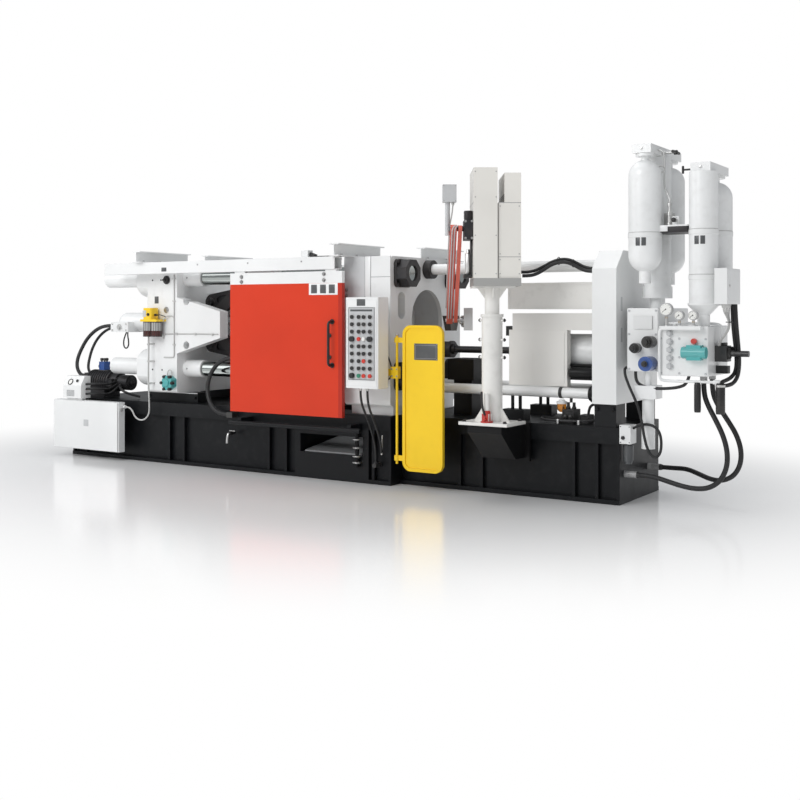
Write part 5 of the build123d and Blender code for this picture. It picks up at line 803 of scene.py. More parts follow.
@dataclass(frozen=True)
class BaseFittings(Workshop):
    """Small parts on the base: drain tap, coupling stack, foot bolts and the platen pads' edge."""

    front: float = -0.595
    tap: Point = (-0.80, -0.575, 0.352)
    stack: Point = (0.647, -0.622, 0.14)
    stack_top: float = 0.46
    ring_heights: tuple[float, ...] = (0.168, 0.222, 0.298, 0.370)
    foot_bolt_x: tuple[float, ...] = (2.815, 2.945)
    foot_front: float = 0.435

    def _tap(self) -> None:
        """Drain tap with its lever and spout."""
        x, y, z = self.tap
        body = self.turned(Axis.Y, self.tap, ((0, .026), (-.04, .026), (-.04, .042), (-.085, .042),
                                              (-.085, .03), (-.10, .03)), sides=20)
        lever = self.box((x - .008, x + .062), (y - .075, y - .055), (z + .022, z + .030), .002)
        spout = self.pipe(((x, y - .09, z), (x - .004, y - .105, z - .01), (x - .006, y - .106, z - .09)),
                          .022)
        self.piece("drain_tap", (body,), DARK_STEEL)
        self.piece("tap_lever", (lever, spout), SILVER)

    def _stack(self) -> None:
        """Four flared couplings on an upright pipe in front of the chute's mouth."""
        x, y, _ = self.stack
        pipe = self.rod(Axis.Z, self.stack, self.stack_top - self.stack[2], .034)
        ties = [self.box((x - .012, x + .012), (y, self.front + .004), (z, z + .03), .002)
                for z in (self.stack[2] + .005, self.stack_top - .04)]
        self.piece("coupling_pipe", [pipe] + ties, DEEP_BLACK)
        flare = self.turned(Axis.Z, (0, 0, 0), ((0, .04), (.012, .084), (.018, .084), (.022, .06)), sides=32)
        rings = self.copies(flare, [(x, y, z) for z in self.ring_heights])
        self.piece("coupling_rings", rings, SILVER)

    def _bolts(self) -> None:
        """Bolts of the injection frame's feet and of the platen pads."""
        near = [(x, -self.foot_front, .742) for x in self.foot_bolt_x]
        far = [(x, self.foot_front, .742) for x in self.foot_bolt_x]
        heads = self.bolts(Axis.Y, near, .030, -.020) + self.bolts(Axis.Y, far, .030, .020)
        pad_x = (-2.045, -1.42, -.885, -.195)
        heads += self.bolts(Axis.Y, [(x, -.455, .65) for x in pad_x], .026, -.018)
        heads += self.bolts(Axis.Y, [(x, .455, .65) for x in pad_x], .026, .018)
        self.piece("foot_bolts", heads, BLACK)
        edge = [self.box((-2.07, -1.39), (s * .455, s * .462), (.688, .698), .0015) for s in (-1, 1)]
        self.piece("pad_edges", edge, PALE_GREY)

    def build(self) -> None:
        """Make all the parts on the base."""
        self._tap()
        self._stack()
        self._bolts()


@dataclass(frozen=True)
class ClampDetails(Workshop):
    """Fittings on the rear platen's operator side, its conduits, and the cylinder's bolts."""

    face: float = -0.600
    conduit_dia: float = 0.011
    conduit_gap: float = 0.006
    seam_x: float = -1.562
    branch_z: float = 1.284
    flange_x: float = -1.993
    bolt_circle: float = 0.270
    dots: tuple[Span, ...] = ((-1.745, 1.817), (-1.86, 1.817), (-1.86, .925), (-1.73, .925))

    def _face_fittings(self) -> None:
        """Plug, black knob, small screws and bare plates on the platen's face."""
        plug = self.turned(Axis.Y, (-1.671, self.face, 1.52),
                           ((0, .062), (-.006, .062), (-.006, .046), (-.011, .044)))
        self.piece("bore_plug", (plug,), STEEL)
        knob = self.turned(Axis.Y, (-1.664, self.face, 1.817), ((0, .084), (-.014, .084), (-.016, .05),
                                                                (-.034, .044), (-.034, .022), (-.048, .02)))
        wing = self.box((-1.70, -1.628), (self.face - .034, self.face - .02), (1.808, 1.826), .004)
        screws = self.screws(Axis.Y, [(x, self.face, z) for x, z in self.dots], .016, -.006)
        self.piece("face_knob", [knob, wing] + screws, PLASTIC)
        plate = self.box((-1.832, -1.778), (self.face - .002, self.face), (1.585, 1.655), .0008)
        rail_plate = self.box((-1.54, -1.475), (-.802, -.800), (1.892, 1.93), .0008)
        self.piece("clamp_bare_plates", (plate, rail_plate), DARK_PLATE)

    def _conduits(self) -> None:
        """Grey conduits on the platen, with their clips."""
        y = self.face - self.conduit_gap
        seam = ((self.seam_x, y, 1.868), (self.seam_x, y, 1.50), (self.seam_x, y, 1.10),
                (self.seam_x, y, 1.052), (self.seam_x - .05, y, 1.050), (-1.700, y, 1.050))
        feed = ((-1.676, -.64, 1.415), (-1.650, -.63, 1.458), (-1.610, y, 1.462), (-1.575, y, 1.455),
                (self.seam_x, y, 1.43), (self.seam_x, y, 1.36))
        branch = ((-1.705, y, 1.235), (-1.700, y, 1.270), (-1.660, y, self.branch_z),
                  (-1.40, y, self.branch_z), (-1.20, y, self.branch_z + .004),
                  (-.985, y, self.branch_z + .002))
        pipes = [self.pipe(line, self.conduit_dia) for line in (seam, feed, branch)]
        self.piece("platen_conduits", pipes, SHEATH)
        clips = [self.box((x - .012, x + .012), (y - .010, self.face),
                          (self.branch_z - .010, self.branch_z + .012), .001) for x in (-1.53, -1.28, -1.06)]
        clips += [self.box((self.seam_x - .014, self.seam_x + .014), (y - .010, self.face), (z, z + .016),
                           .001) for z in (1.82, 1.60, 1.17)]
        clips += [self.box((-1.857, -1.829), (-.683, self.face), (z, z + .018), .002)
                  for z in (.78, 1.00, 1.17)]
        self.piece("conduit_clips", clips, SILVER)

    def _bolt_circle(self) -> None:
        """Bolts round the clamp cylinder's flange and screws on the tie-bar sleeves."""
        ring = circle(Axis.X, (self.flange_x, 0.0, AXIS_Z), self.bolt_circle / 2, 8, 22.5)
        heads = self.bolts(Axis.X, ring, .026, -.020)
        heads += self.screws(Axis.Y, [(-1.47, -.522, z) for _, z in BARS[:2]], .018, -.006)
        self.piece("flange_bolts", heads, STEEL)

    def build(self) -> None:
        """Make all the clamp end's fittings."""
        self._face_fittings()
        self._conduits()
        self._bolt_circle()


@dataclass(frozen=True)
class LubricatorDetails(Workshop):
    """Ribs and caps of the lubricator's clear pots, and its bare front plate."""

    centres: tuple[float, ...] = (-1.843, -1.737)
    depth: float = -0.672
    pot_dia: float = 0.104
    pot_z: Span = (1.255, 1.405)
    ribs: int = 14

    def build(self) -> None:
        """Make the cages, the plate and the switch on top."""
        cages = []
        for x in self.centres:
            for place in circle(Axis.Z, (x, self.depth, self.pot_z[0] + .004), self.pot_dia / 2, self.ribs):
                cages.append(self.rod(Axis.Z, place, self.pot_z[1] - self.pot_z[0] - .005, .005, 0, 8))
            for z in (self.pot_z[0], self.pot_z[1] - .010):
                cages.append(self.ring(Axis.Z, (x, self.depth, z + .006), self.pot_dia, .010))
        self.piece("pot_cages", cages, OIL_DARK)
        plate = self.box((-1.868, -1.822), (-.7305, -.7275), (1.452, 1.515), .001)
        self.piece("lubricator_plate", (plate,), PALE_GREY, slot="grey_metal")
        switch = self.turned(Axis.Y, (-1.790, -.728, 1.475),
                             ((0, .03), (-.010, .03), (-.010, .018), (-.02, .016)))
        gland = self.turned(Axis.X, (-1.759, -.672, 1.47), ((0, .024), (.02, .024), (.02, .016), (.04, .014)))
        lead = self.pipe(((-1.724, -.672, 1.47), (-1.69, -.672, 1.474), (-1.665, -.65, 1.462),
                          (-1.65, -.62, 1.45)), .010)
        self.piece("lubricator_switch", (switch, gland, lead), PLASTIC)


@dataclass(frozen=True)
class PumpDetails(Workshop):
    """Valve, fasteners and short hoses of the pump set, and the port block's parts."""

    axis_y: float = -0.350
    axis_z: float = 0.760
    valve_x: Span = (-2.865, -2.785)
    valve_z: Span = (0.872, 0.972)
    flange_x: float = -2.670

    def _valve(self) -> None:
        """Blue valve over the motor with its black knobs."""
        x0, x1 = self.valve_x
        z0, z1 = self.valve_z
        foot = self.box((x0 - .01, x1 + .06), (self.axis_y - .05, self.axis_y + .05),
                        (z0 - .02, z0 + .012), .004)
        knobs = [self.turned(Axis.Z, (x, y, z1 - .002), ((0, .018), (.012, .018), (.012, .034), (.034, .034),
                                                         (.040, .026)), sides=20)
                 for x, y in ((x0 + .02, self.axis_y - .02), (x0 + .055, self.axis_y + .02),
                              (x1 - .015, self.axis_y - .02))]
        plug = self.turned(Axis.X, (x0 + .002, self.axis_y, z0 + .05), ((0, .05), (-.03, .05), (-.035, .04)))
        self.piece("pump_valve_knobs", [foot, plug] + knobs, PLASTIC)
        body = self.tray((x0, x1), (self.axis_y - .042, self.axis_y + .042), (z0, z1), (0, -1, 0), .010, .005)
        self.piece("pump_valve", (body,), BLUE)

    def _fasteners(self) -> None:
        """Bolts of the bell housing, the end cover and the terminal box."""
        ring = circle(Axis.X, (self.flange_x + .10, self.axis_y, self.axis_z), .085, 6, 30)
        parts = self.bolts(Axis.X, ring, .016, .012)
        parts.append(self.tray((-2.66, -2.585), (-.475, -.44), (.72, .80), (0, -1, 0), .008, .004))
        cover = self.turned(Axis.X, (-2.421, self.axis_y, self.axis_z),
                            ((0, .12), (.012, .12), (.014, .06), (.04, .056), (.04, .03), (.055, .03)))
        low = self.pipe(((-2.50, -.43, .74), (-2.44, -.50, .72), (-2.36, -.52, .68), (-2.30, -.46, .645),
                         (-2.24, -.40, .625)), .026)
        self.piece("pump_fasteners", parts + [cover, low], DARK_STEEL)

    def _hoses(self) -> None:
        """Three short hoses from the small unit to the pump."""
        lines = [((-2.692, -.72, z), (-2.65, -.725, z + .004), (-2.60, -.70, z + .006), (-2.56, -.62, z),
                  (-2.53 - .015 * i, -.52, z - .004), (-2.52 - .02 * i, -.425, .735 + .02 * i))
                 for i, z in enumerate((.655, .705, .755))]
        hoses = [self.pipe(line, .024) for line in lines]
        self.piece("unit_hoses", hoses, RUBBER)

    def _port_block(self) -> None:
        """Screws, side plug and black wire loop of the port block."""
        heads = self.screws(Axis.Y,
                            [(x, -.19, z) for x in (-2.88, -2.67) for z in (1.305, 1.372)], .022, -.008)
        flange = self.turned(Axis.Y, (-2.77, -.19, 1.338),
                             ((0, .064), (-.012, .064), (-.012, .042), (-.02, .04)))
        self.piece("port_screws", heads + [flange], SILVER)
        loop = self.pipe(((-2.672, -.18, 1.287), (-2.685, -.192, 1.245), (-2.703, -.195, 1.19),
                          (-2.700, -.195, 1.13), (-2.662, -.195, 1.105), (-2.625, -.195, 1.14),
                          (-2.628, -.195, 1.20), (-2.648, -.19, 1.25), (-2.655, -.18, 1.287)), .015)
        self.piece("port_wire", (loop,), RUBBER)

    def build(self) -> None:
        """Make the pump set's details."""
        self._valve()
        self._fasteners()
        self._hoses()
        self._port_block()


@dataclass(frozen=True)
class GearPumpDetails(Workshop):
    """Lobes, knobs and conduit of the teal gear pump on the platen."""

    centre: Point = (-1.598, -0.600, 0.803)
    lobes: int = 6
    lobe_circle: float = 0.094
    knob_circle: float = 0.140

    def build(self) -> None:
        """Make the lobes, the black knobs and the conduit."""
        x, y, z = self.centre
        lobe = self.turned(Axis.Y, (0, 0, 0), ((0, .05), (-.072, .05), (-.078, .04)), sides=20)
        parts = self.copies(lobe, circle(Axis.Y, self.centre, self.lobe_circle / 2, self.lobes, 30))
        parts.append(self.turned(Axis.Y, self.centre, ((-.068, .07), (-.086, .07), (-.090, .05))))
        self.piece("gear_pump_lobes", parts, TEAL)
        knob = self.turned(Axis.Y, (0, 0, 0), ((-.050, .030), (-.084, .030), (-.090, .02)), sides=16)
        knobs = self.copies(knob, circle(Axis.Y, self.centre, self.knob_circle / 2, self.lobes))
        self.piece("gear_pump_knobs", knobs, PLASTIC)
        loop = self.pipe(((x - .028, y - .03, z + .062), (x - .03, y - .03, z + .10),
                          (x - .01, y - .03, z + .128), (x + .02, y - .03, z + .124),
                          (x + .032, y - .03, z + .10), (x + .03, y - .03, z + .062)), .010)
        self.piece("gear_pump_pipe", (loop,), SHEATH)


@dataclass(frozen=True)
class CabinetDetails(Workshop):
    """Lock, hinges, bare plate and cable gland of the low cabinet, and the small unit's face."""

    front: float = -0.780
    side: float = -2.168
    lock: Span = (-0.733, 0.515)
    unit_front: float = -0.790
    unit_slope: float = 26.6

    def _cabinet(self) -> None:
        """Parts on the low cabinet."""
        y, z = self.lock
        lock = self.turned(Axis.X, (self.side, y, z),
                           ((0, .036), (.008, .036), (.008, .024), (.014, .022), (.014, .008), (.02, .008)))
        nut = self.turned(Axis.X, (self.side, -.700, .545), ((.002, .042), (.014, .042)), sides=6)
        hinges = [self.turned(Axis.Z, (-3.122, -.762, h), ((0, .016), (.07, .016)), sides=12)
                  for h in (.17, .43)]
        self.piece("cabinet_lock", [lock, nut] + hinges, SILVER)
        plate = self.box((-2.662, -2.592), (self.front - .0015, self.front), (.332, .398), .0006)
        self.piece("cabinet_bare_plate", (plate,), PALE_GREY, slot="grey_metal")

    def _unit(self) -> None:
        """Dial, knob and louvres of the small unit."""
        slats = [self.box((-2.905, -2.79), (self.unit_front - .003, self.unit_front), (z, z + .005), .001)
                 for z in (.632, .643, .654, .665, .676, .687)]
        self.piece("unit_louvres", slats, GREY)
        slope = Placement((-2.862, -.774, .776), 0.0, -self.unit_slope)
        rim = self.turned(Axis.Y, (0, 0, 0), ((0, .066), (-.008, .066), (-.008, .054), (-.002, .052)))
        self.piece("unit_dial_rim", (rim,), DARK_STEEL, slot="black_plastic", place=slope)
        face = self.turned(Axis.Y, (0, 0, 0), ((0, .050), (-.004, .050)))
        self.piece("unit_dial_face", (face,), DIAL, place=slope)
        knob = self.turned(Axis.Y, (0, 0, 0), ((0, .030), (-.012, .028), (-.014, .02)), sides=20)
        self.piece("unit_knob", (knob,), PLASTIC,
                   place=Placement((-2.765, -.768, .788), 0.0, -self.unit_slope))

    def build(self) -> None:
        """Make the parts of both housings."""
        self._cabinet()
        self._unit()


@dataclass(frozen=True)
class ToggleDetails(Workshop):
    """Retaining plates on the toggle pins' ends."""

    knuckles: tuple[Span, ...] = ((-1.075, 1.121), (-1.075, 1.657))
    pivots: tuple[Span, ...] = ((-1.405, 1.174), (-1.405, 1.604), (-0.745, 1.174), (-0.745, 1.604))
    knuckle_end: float = 0.307
    pivot_end: float = 0.275

    def build(self) -> None:
        """Make a plate with three screws on each pin's end."""
        parts = []
        for places, end in ((self.knuckles, self.knuckle_end), (self.pivots, self.pivot_end)):
            for side in (-1, 1):
                cap = self.turned(Axis.Y, (0, 0, 0),
                                  ((0, .086), (side * .007, .086), (side * .007, .03), (side * .014, .026)))
                parts += self.copies(cap, [(x, side * end, z) for x, z in places])
                around = [spot for x, z in places
                          for spot in circle(Axis.Y, (x, side * (end + .007), z), .03, 3, 90)]
                parts += self.screws(Axis.Y, around, .010, side * .005)
        self.piece("pin_plates", parts, DARK_STEEL)


@dataclass(frozen=True)
class DoorDetails(Workshop):
    """Bolts, label field and handle roses of the doors, and the fittings on the rail and the beams."""

    face: float = -0.785
    hanger_bolts: tuple[Span, ...] = ((-.537, 1.823), (-.537, 1.777), (.408, 1.833), (.408, 1.780))
    field_x: Span = (0.243, 0.556)
    field_z: Span = (1.650, 1.752)
    rail_front: float = -0.800
    beam_x: tuple[float, ...] = (-1.07, -0.45, 0.17)
    beams: tuple[Span, ...] = ((-1.836, -1), (-1.836, 1), (.560, -1), (.840, 1))
    beam_foot: float = 1.994
    rear_face: float = 0.785

    def _leaf(self) -> None:
        """Parts that ride on the door."""
        heads = self.bolts(Axis.Y, [(x, self.face, z) for x, z in self.hanger_bolts], .028, -.016)
        self.piece("hanger_bolts", heads, STEEL, "sliding_door")
        field = self.box(self.field_x, (self.face - .0015, self.face), self.field_z, .0006)
        self.piece("door_white_field", (field,), WHITE, "sliding_door")
        labels = [self.box((x, x + .064), (self.face - .0028, self.face - .0012), (1.664, 1.740), .0005)
                  for x in (.268, .366, .462)]
        self.piece("door_bare_labels", labels, DARK_PLATE, "sliding_door")
        roses = [self.turned(Axis.Y, (.470, self.face, z), ((0, .038), (-.006, .038), (-.008, .03)))
                 for z in (1.105, 1.295)]
        self.piece("handle_roses", roses, PLASTIC, "sliding_door")

    def _rail(self) -> None:
        """Switch box on the rail, with its lead, and the rail's screws."""
        box = self.tray((.146, .222), (-.775, -.700), (1.985, 2.048), (0, -1, 0), .008, .003)
        self.piece("rail_switch_box", (box,), WHITE)
        lead = self.pipe(((.222, -.74, 2.015), (.25, -.74, 2.018), (.275, -.735, 2.01), (.285, -.73, 1.992),
                          (.31, -.73, 1.989), (.56, -.73, 1.989)), .014)
        gland = self.turned(Axis.X, (.222, -.74, 2.015), ((0, .03), (.014, .03), (.014, .022), (.03, .02)))
        block = self.box((.238, .284), (-.76, -.715), (1.985, 2.012), .003)
        self.piece("rail_switch_lead", (lead, gland, block), PLASTIC)
        screws = self.screws(Axis.Y, [(x, self.rail_front, 1.948) for x in self.beam_x], .016, -.005)
        self.piece("rail_screws", screws, STEEL)

    def _beams(self) -> None:
        """Bolts on the tops of the cross beams."""
        spots = [(x + dx, s * y, self.beam_foot) for x, s in self.beams for dx in (-.033, .033)
                 for y in (.20, .55, .78)]
        self.piece("beam_bolts", self.bolts(Axis.Z, spots, .020, .012), STEEL)

    def _rear_door(self) -> None:
        """Handle, roses and bolts of the rear door."""
        y = self.rear_face
        grip = self.pipe(((-.42, y, 1.31), (-.42, y + .028, 1.31), (-.42, y + .040, 1.29),
                          (-.42, y + .040, 1.11), (-.42, y + .028, 1.09), (-.42, y, 1.09)), .020)
        roses = [self.turned(Axis.Y, (-.42, y, z), ((0, .040), (.006, .040), (.008, .030)))
                 for z in (1.09, 1.31)]
        self.piece("rear_door_handle", [grip] + roses, PLASTIC)
        spots = [(x, y, z) for x in (-.537, .408) for z in (1.78, 1.83)]
        self.piece("rear_door_bolts", self.bolts(Axis.Y, spots, .028, .016), STEEL)

    def build(self) -> None:
        """Make the door's and the rail's details."""
        self._leaf()
        self._rail()
        self._beams()
        self._rear_door()


@dataclass(frozen=True)
class PanelDetails(Workshop):
    """Bezels, caps, tags and glands of the operator panel."""

    face: float = -0.9063
    columns: tuple[float, ...] = (0.798, 0.868, 0.919, 0.982)
    first_row: float = 1.458
    row_step: float = 0.062
    rows: int = 9
    reach: float = 0.0155
    caps: tuple[tuple[int, int, str], ...] = (
        (3, 1, "red"), (3, 2, "white"), (6, 2, "orange"), (8, 1, "green"), (8, 2, "red"), (8, 3, "red"))

    def _row_z(self, row: int) -> float:
        """Height of a row of buttons."""
        return self.first_row - self.row_step * row

    def _buttons(self) -> None:
        """Silver bezels round all the buttons and coloured caps on some."""
        bezel = self.turned(Axis.Y, (0, 0, 0), ((0, .043), (-.004, .043), (-.006, .038)), 0.0, 28)
        grid = [(x, self.face, self._row_z(row)) for row in range(self.rows) for x in self.columns]
        self.piece("button_bezels", self.copies(bezel, grid), SILVER)
        tones = {"red": BUTTON_RED, "white": DIAL, "orange": BUTTON_RED, "green": BUTTON_GREEN}
        for tone in sorted(set(name for _, _, name in self.caps)):
            cap = self.turned(Axis.Y, (0, 0, 0), ((.002, .0355), (-.010, .0355), (-.013, .030)), 0.0, 24)
            spots = [(self.columns[col], self.face - self.reach + .009, self._row_z(row))
                     for row, col, name in self.caps if name == tone]
            self.piece("caps_" + tone, self.copies(cap, spots), tones[tone], slot="black_plastic")
        big = self.turned(Axis.Y, (self.columns[0], self.face, self._row_z(8)),
                          ((0, .047), (-.022, .047), (-.027, .040)))
        self.piece("cap_big", (big,), PLASTIC)
        tag = self.box((-.015, .015), (-.0008, 0), (.021, .028), .0002)
        self.piece("button_tags", self.copies(tag, grid), PALE_GREY, slot="grey_metal")

    def _housing(self) -> None:
        """Bare name plate, seam, frame and screws of the housing."""
        plate = self.box((.838, .925), (-.9015, -.900), (1.552, 1.608), .0006)
        self.piece("panel_bare_plate", (plate,), DARK_PLATE)
        strip = self.box((.775, 1.0), (self.face - .0008, self.face), (1.505, 1.522), .0003)
        x0, x1, z0, z1 = .7545, 1.0195, .928, 1.5375
        sides = [self.box(x, (self.face - .0008, self.face), z, .0003)
                 for x, z in (((x0, x1), (z1 - .004, z1)), ((x0, x1), (z0, z0 + .004)),
                              ((x0, x0 + .0035), (z0, z1)), ((x1 - .0035, x1), (z0, z1)))]
        self.piece("panel_frame", [strip] + sides, DARK_PLATE)
        spots = [(x, self.face, z) for x in (.760, 1.014) for z in (.934, 1.532)]
        self.piece("panel_screws", self.screws(Axis.Y, spots, .010, -.003), STEEL)

    def _cables(self) -> None:
        """Glands and the second cable below the panel, and the lever on the base."""
        nut = self.turned(Axis.Z, (0, 0, 0), ((0, .036), (-.014, .036), (-.014, .028), (-.028, .026)), 0.0, 6)
        nuts = self.copies(nut, [(x, -.79, .8548) for x in (.80, .872)])
        self.piece("panel_glands", nuts, SILVER)
        cable = self.pipe(((.872, -.79, .83), (.872, -.79, .76), (.880, -.776, .68), (.893, -.745, .60),
                           (.902, -.706, .52), (.905, -.668, .44), (.903, -.630, .36), (.898, -.615, .28)),
                          .020)
        loop = self.pipe(((1.02, -.735, 1.16), (1.045, -.715, 1.10), (1.055, -.69, 1.02), (1.035, -.665, .95),
                          (.99, -.64, .92), (.93, -.625, .90)), .014)
        self.piece("panel_cable_b", (cable, loop), RUBBER)
        lever = self.pipe(((.898, -.60, .43), (.902, -.612, .40), (.905, -.615, .34), (.900, -.612, .285)),
                          .012)
        tip = self.turned(Axis.Z, (.900, -.612, .285), ((0, .018), (-.018, .018), (-.022, .010)))
        self.piece("base_lever", (lever, tip), SILVER)

    def build(self) -> None:
        """Make all the panel's details."""
        self._buttons()
        self._housing()
        self._cables()


@dataclass(frozen=True)
class PlatenDetails(Workshop):
    """Seams, strip, screws and bolts on the fixed platen and its cover."""

    cover_front: float = -0.612
    nut_x: float = 1.018
    corner: float = 0.098

    def build(self) -> None:
        """Make the cover's strip and bolts, and the nut flanges' bolts."""
        strip = self.box((.728, .784), (self.cover_front - .006, self.cover_front), (1.64, 1.98), .0015)
        self.piece("cover_strip", (strip,), WHITE)
        seams = [self.box((.728, .99), (self.cover_front - .0012, self.cover_front), (1.802, 1.807), .0004),
                 self.box((.7215, .7275), (self.cover_front - .0012, self.cover_front), (1.63, 1.985), .0004),
                 self.box((.7845, .7885), (self.cover_front - .0012, self.cover_front), (1.63, 1.985), .0004)]
        self.piece("cover_seams", seams, GREY)
        column = self.screws(Axis.Y,
                             [(.470, self.cover_front, 1.66 + .062 * row) for row in range(6)], .016, -.006)
        self.piece("cover_screws", column, DARK_STEEL)
        heads = self.bolts(Axis.Y,
                           ((.526, self.cover_front, 1.694), (.526, self.cover_front, 1.645)), .022, -.012)
        self.piece("cover_bolts", heads, STEEL)
        spots = [(self.nut_x, y + sy * self.corner, z + sz * self.corner) for y, z in BARS
                 for sy in (-1, 1) for sz in (-1, 1)]
        self.piece("nut_flange_bolts", self.bolts(Axis.X, spots, .026, .016), DARK_STEEL)


@dataclass(frozen=True)
class GuardDetails(Workshop):
    """Bolts of the guard's post and clamp, and the bare plate on its dish."""

    floor: float = -0.693
    plate_x: Span = (1.282, 1.510)
    plate_z: Span = (1.098, 1.236)

    def build(self) -> None:
        """Make the plate with its screws and the clamp's bolts."""
        plate = self.box(self.plate_x, (self.floor - .002, self.floor), self.plate_z, .0008)
        self.piece("guard_bare_plate", (plate,), DARK_PLATE, "guard")
        x0, x1, z0, z1 = *self.plate_x, *self.plate_z
        lines = [self.box(x, (self.floor - .0028, self.floor - .0018), z, .0002)
                 for x, z in (((x0 + .012, x1 - .012), (z1 - .015, z1 - .012)),
                              ((x0 + .012, x1 - .012), (z0 + .012, z0 + .015)),
                              ((x0 + .012, x0 + .015), (z0 + .012, z1 - .012)),
                              ((x1 - .015, x1 - .012), (z0 + .012, z1 - .012)))]
        self.piece("guard_plate_border", lines, GREY, "guard")
        spots = [(x, self.floor - .002, z) for x in (self.plate_x[0] + .007, self.plate_x[1] - .007)
                 for z in (self.plate_z[0] + .007, self.plate_z[1] - .007)]
        self.piece("guard_plate_screws", self.screws(Axis.Y, spots, .007, -.002), STEEL, "guard")
        heads = self.bolts(Axis.Y,
                           [(x, -.704, z) for x in (1.064, 1.112) for z in (.955, 1.015)], .012, -.007)
        cap = self.turned(Axis.Z, (1.101, -.68, 1.30), ((0, .030), (.008, .030), (.012, .018)))
        self.piece("clamp_screws", heads + [cap], STEEL)


@dataclass(frozen=True)
class LadlerDetails(Workshop):
    """Fasteners, seams, grille and cylinder of the ladling unit, drawn in its own turned frame."""

    place: Placement = Placement((2.055, -0.76, 0.0), 32.7)
    seat_top: float = 0.630
    pivot: Span = (0.020, 2.166)
    end: Span = (0.759, 1.427)
    fins: int = 7

    def _seat(self) -> None:
        """Bolts of the seat and the column's clamps, in the row's own frame."""
        spots = [(x, y, self.seat_top) for x in (1.875, 2.235) for y in (-.89, -.63)]
        heads = self.bolts(Axis.Z, spots, .026, .016)
        heads += self.bolts(Axis.X, [(2.1635, -.76, z) for z in (1.434, 1.279, 1.139)], .022, .012)
        heads += self.bolts(Axis.X, [(1.9465, -.76, z) for z in (1.434, 1.279, 1.139)], .022, -.012)
        self.piece("seat_bolts", heads, DARK_STEEL)
        jack = self.turned(Axis.Z, (2.072, -.882, .630), ((0, .098), (.012, .098), (.014, .064), (.085, .060),
                                                          (.095, .046), (.118, .044), (.122, .030)))
        nose = self.turned(Axis.Y, (2.072, -.910, .660), ((0, .03), (-.022, .03), (-.026, .018)), sides=20)
        self.piece("column_jack", (jack, nose), JACK_RED)
        grip = self.pipe(((2.072, -.915, .690), (2.060, -.925, .735), (2.052, -.927, .80),
                          (2.050, -.925, .875)), .018)
        self.piece("jack_lever", (grip,), DARK_STEEL)

    def _housing(self) -> None:
        """Seams, cover screws and grille of the housing."""
        seams = [self.box((.0375, .2155), (-.1512, -.150), (z, z + .004), .0005) for z in (1.93, 2.355)]
        seams += [self.box((-.159, -.158), (-.165, .31), (z, z + .004), .0004) for z in (1.86, 2.36)]
        self.piece("ladler_seams", seams, GREY, place=self.place)
        spots = [(u, -.150, z) for u in (.05, .20) for z in (1.80, 1.91, 1.955, 2.33)]
        spots += [(u, -.165, z) for u in (-.145, .018) for z in (1.80, 2.10, 2.40, 2.60)]
        self.piece("ladler_screws", self.screws(Axis.Y, spots, .010, -.003), STEEL, place=self.place)
        slats = [self.box((.0835, .085), (-.13, .33), (z, z + .006), .0005)
                 for z in (2.375, 2.39, 2.405, 2.42)]
        self.piece("ladler_grille", slats, DARK_STEEL, place=self.place)

    def _drive(self) -> None:
        """Cooling fins, gearbox bolts, cylinder and bracket of the arm's drive."""
        fins = [self.turned(Axis.Z, (-.193, -.06, 2.235 + .009 * i), ((0, .074), (.004, .074)), 0.0, 24)
                for i in range(self.fins)]
        self.piece("drive_fins", fins, DARK_STEEL, place=self.place)
        heads = self.bolts(Axis.Y,
                           [(u, -.115, z) for u in (-.218, -.168) for z in (2.082, 2.215)], .014, -.008)
        cap = self.turned(Axis.X, (-.332, *self.pivot),
                          ((0, .052), (-.006, .052), (-.008, .030), (-.014, .028)))
        self.piece("drive_bolts", heads, STEEL, place=self.place)
        self.piece("arm_cap", (cap,), STEEL, "arm", self.place)
        cylinder = self.turned(Axis.Z, (-.190, .02, 1.80),
                               ((0, .03), (0.004, .05), (.165, .05), (.17, .03), (.20, .026)))
        self.piece("drive_cylinder", (cylinder,), SILVER, slot="grey_metal", place=self.place)
        bracket = self.box((-.225, -.158), (-.045, .085), (1.772, 1.798), .003)
        stay = self.box((-.172, -.158), (-.045, .085), (1.798, 2.071), .003)
        self.piece("drive_bracket", (bracket, stay), PLASTIC, slot="black_paint", place=self.place)

    def _arm(self) -> None:
        """Tubes and conduit along the arm, and the probe box's screws and gland."""
        (v0, z0), (v1, z1) = self.pivot, self.end
        run = [(-.338, v0 + (v1 - v0) * t, z0 + (z1 - z0) * t + .055) for t in (.05, .35, .7, .93)]
        tubes = []
        for u in (-.319, -.298):
            line = [(u + .030, v0 - .045, z0 + .022), (u + .012, v0 - .050, z0 + .012),
                    (u, v0 - .044, z0 - .012)]
            line += [(u, v0 + (v1 - v0) * t - .026, z0 + (z1 - z0) * t - .026) for t in (.06, .35, .65, .94)]
            tubes.append(self.pipe(line, .011))
        self.piece("arm_tubes", tubes, PALE_GREY, "arm", self.place)
        spots = [(u, .021, z) for u in (-.384, -.290) for z in (2.388, 2.512)]
        screws = self.screws(Axis.Y, spots, .008, -.003)
        self.piece("probe_box_screws", screws, STEEL, "arm", self.place)
        gland = self.turned(Axis.Z, (-.310, .05, 2.38), ((0, .024), (-.02, .024), (-.02, .016), (-.03, .014)))
        lead = self.pipe([(-.310, .05, 2.36), (-.315, .052, 2.30), (-.330, .07, 2.22)] + run, .011)
        self.piece("arm_conduit", (gland, lead), SHEATH, "arm", self.place)

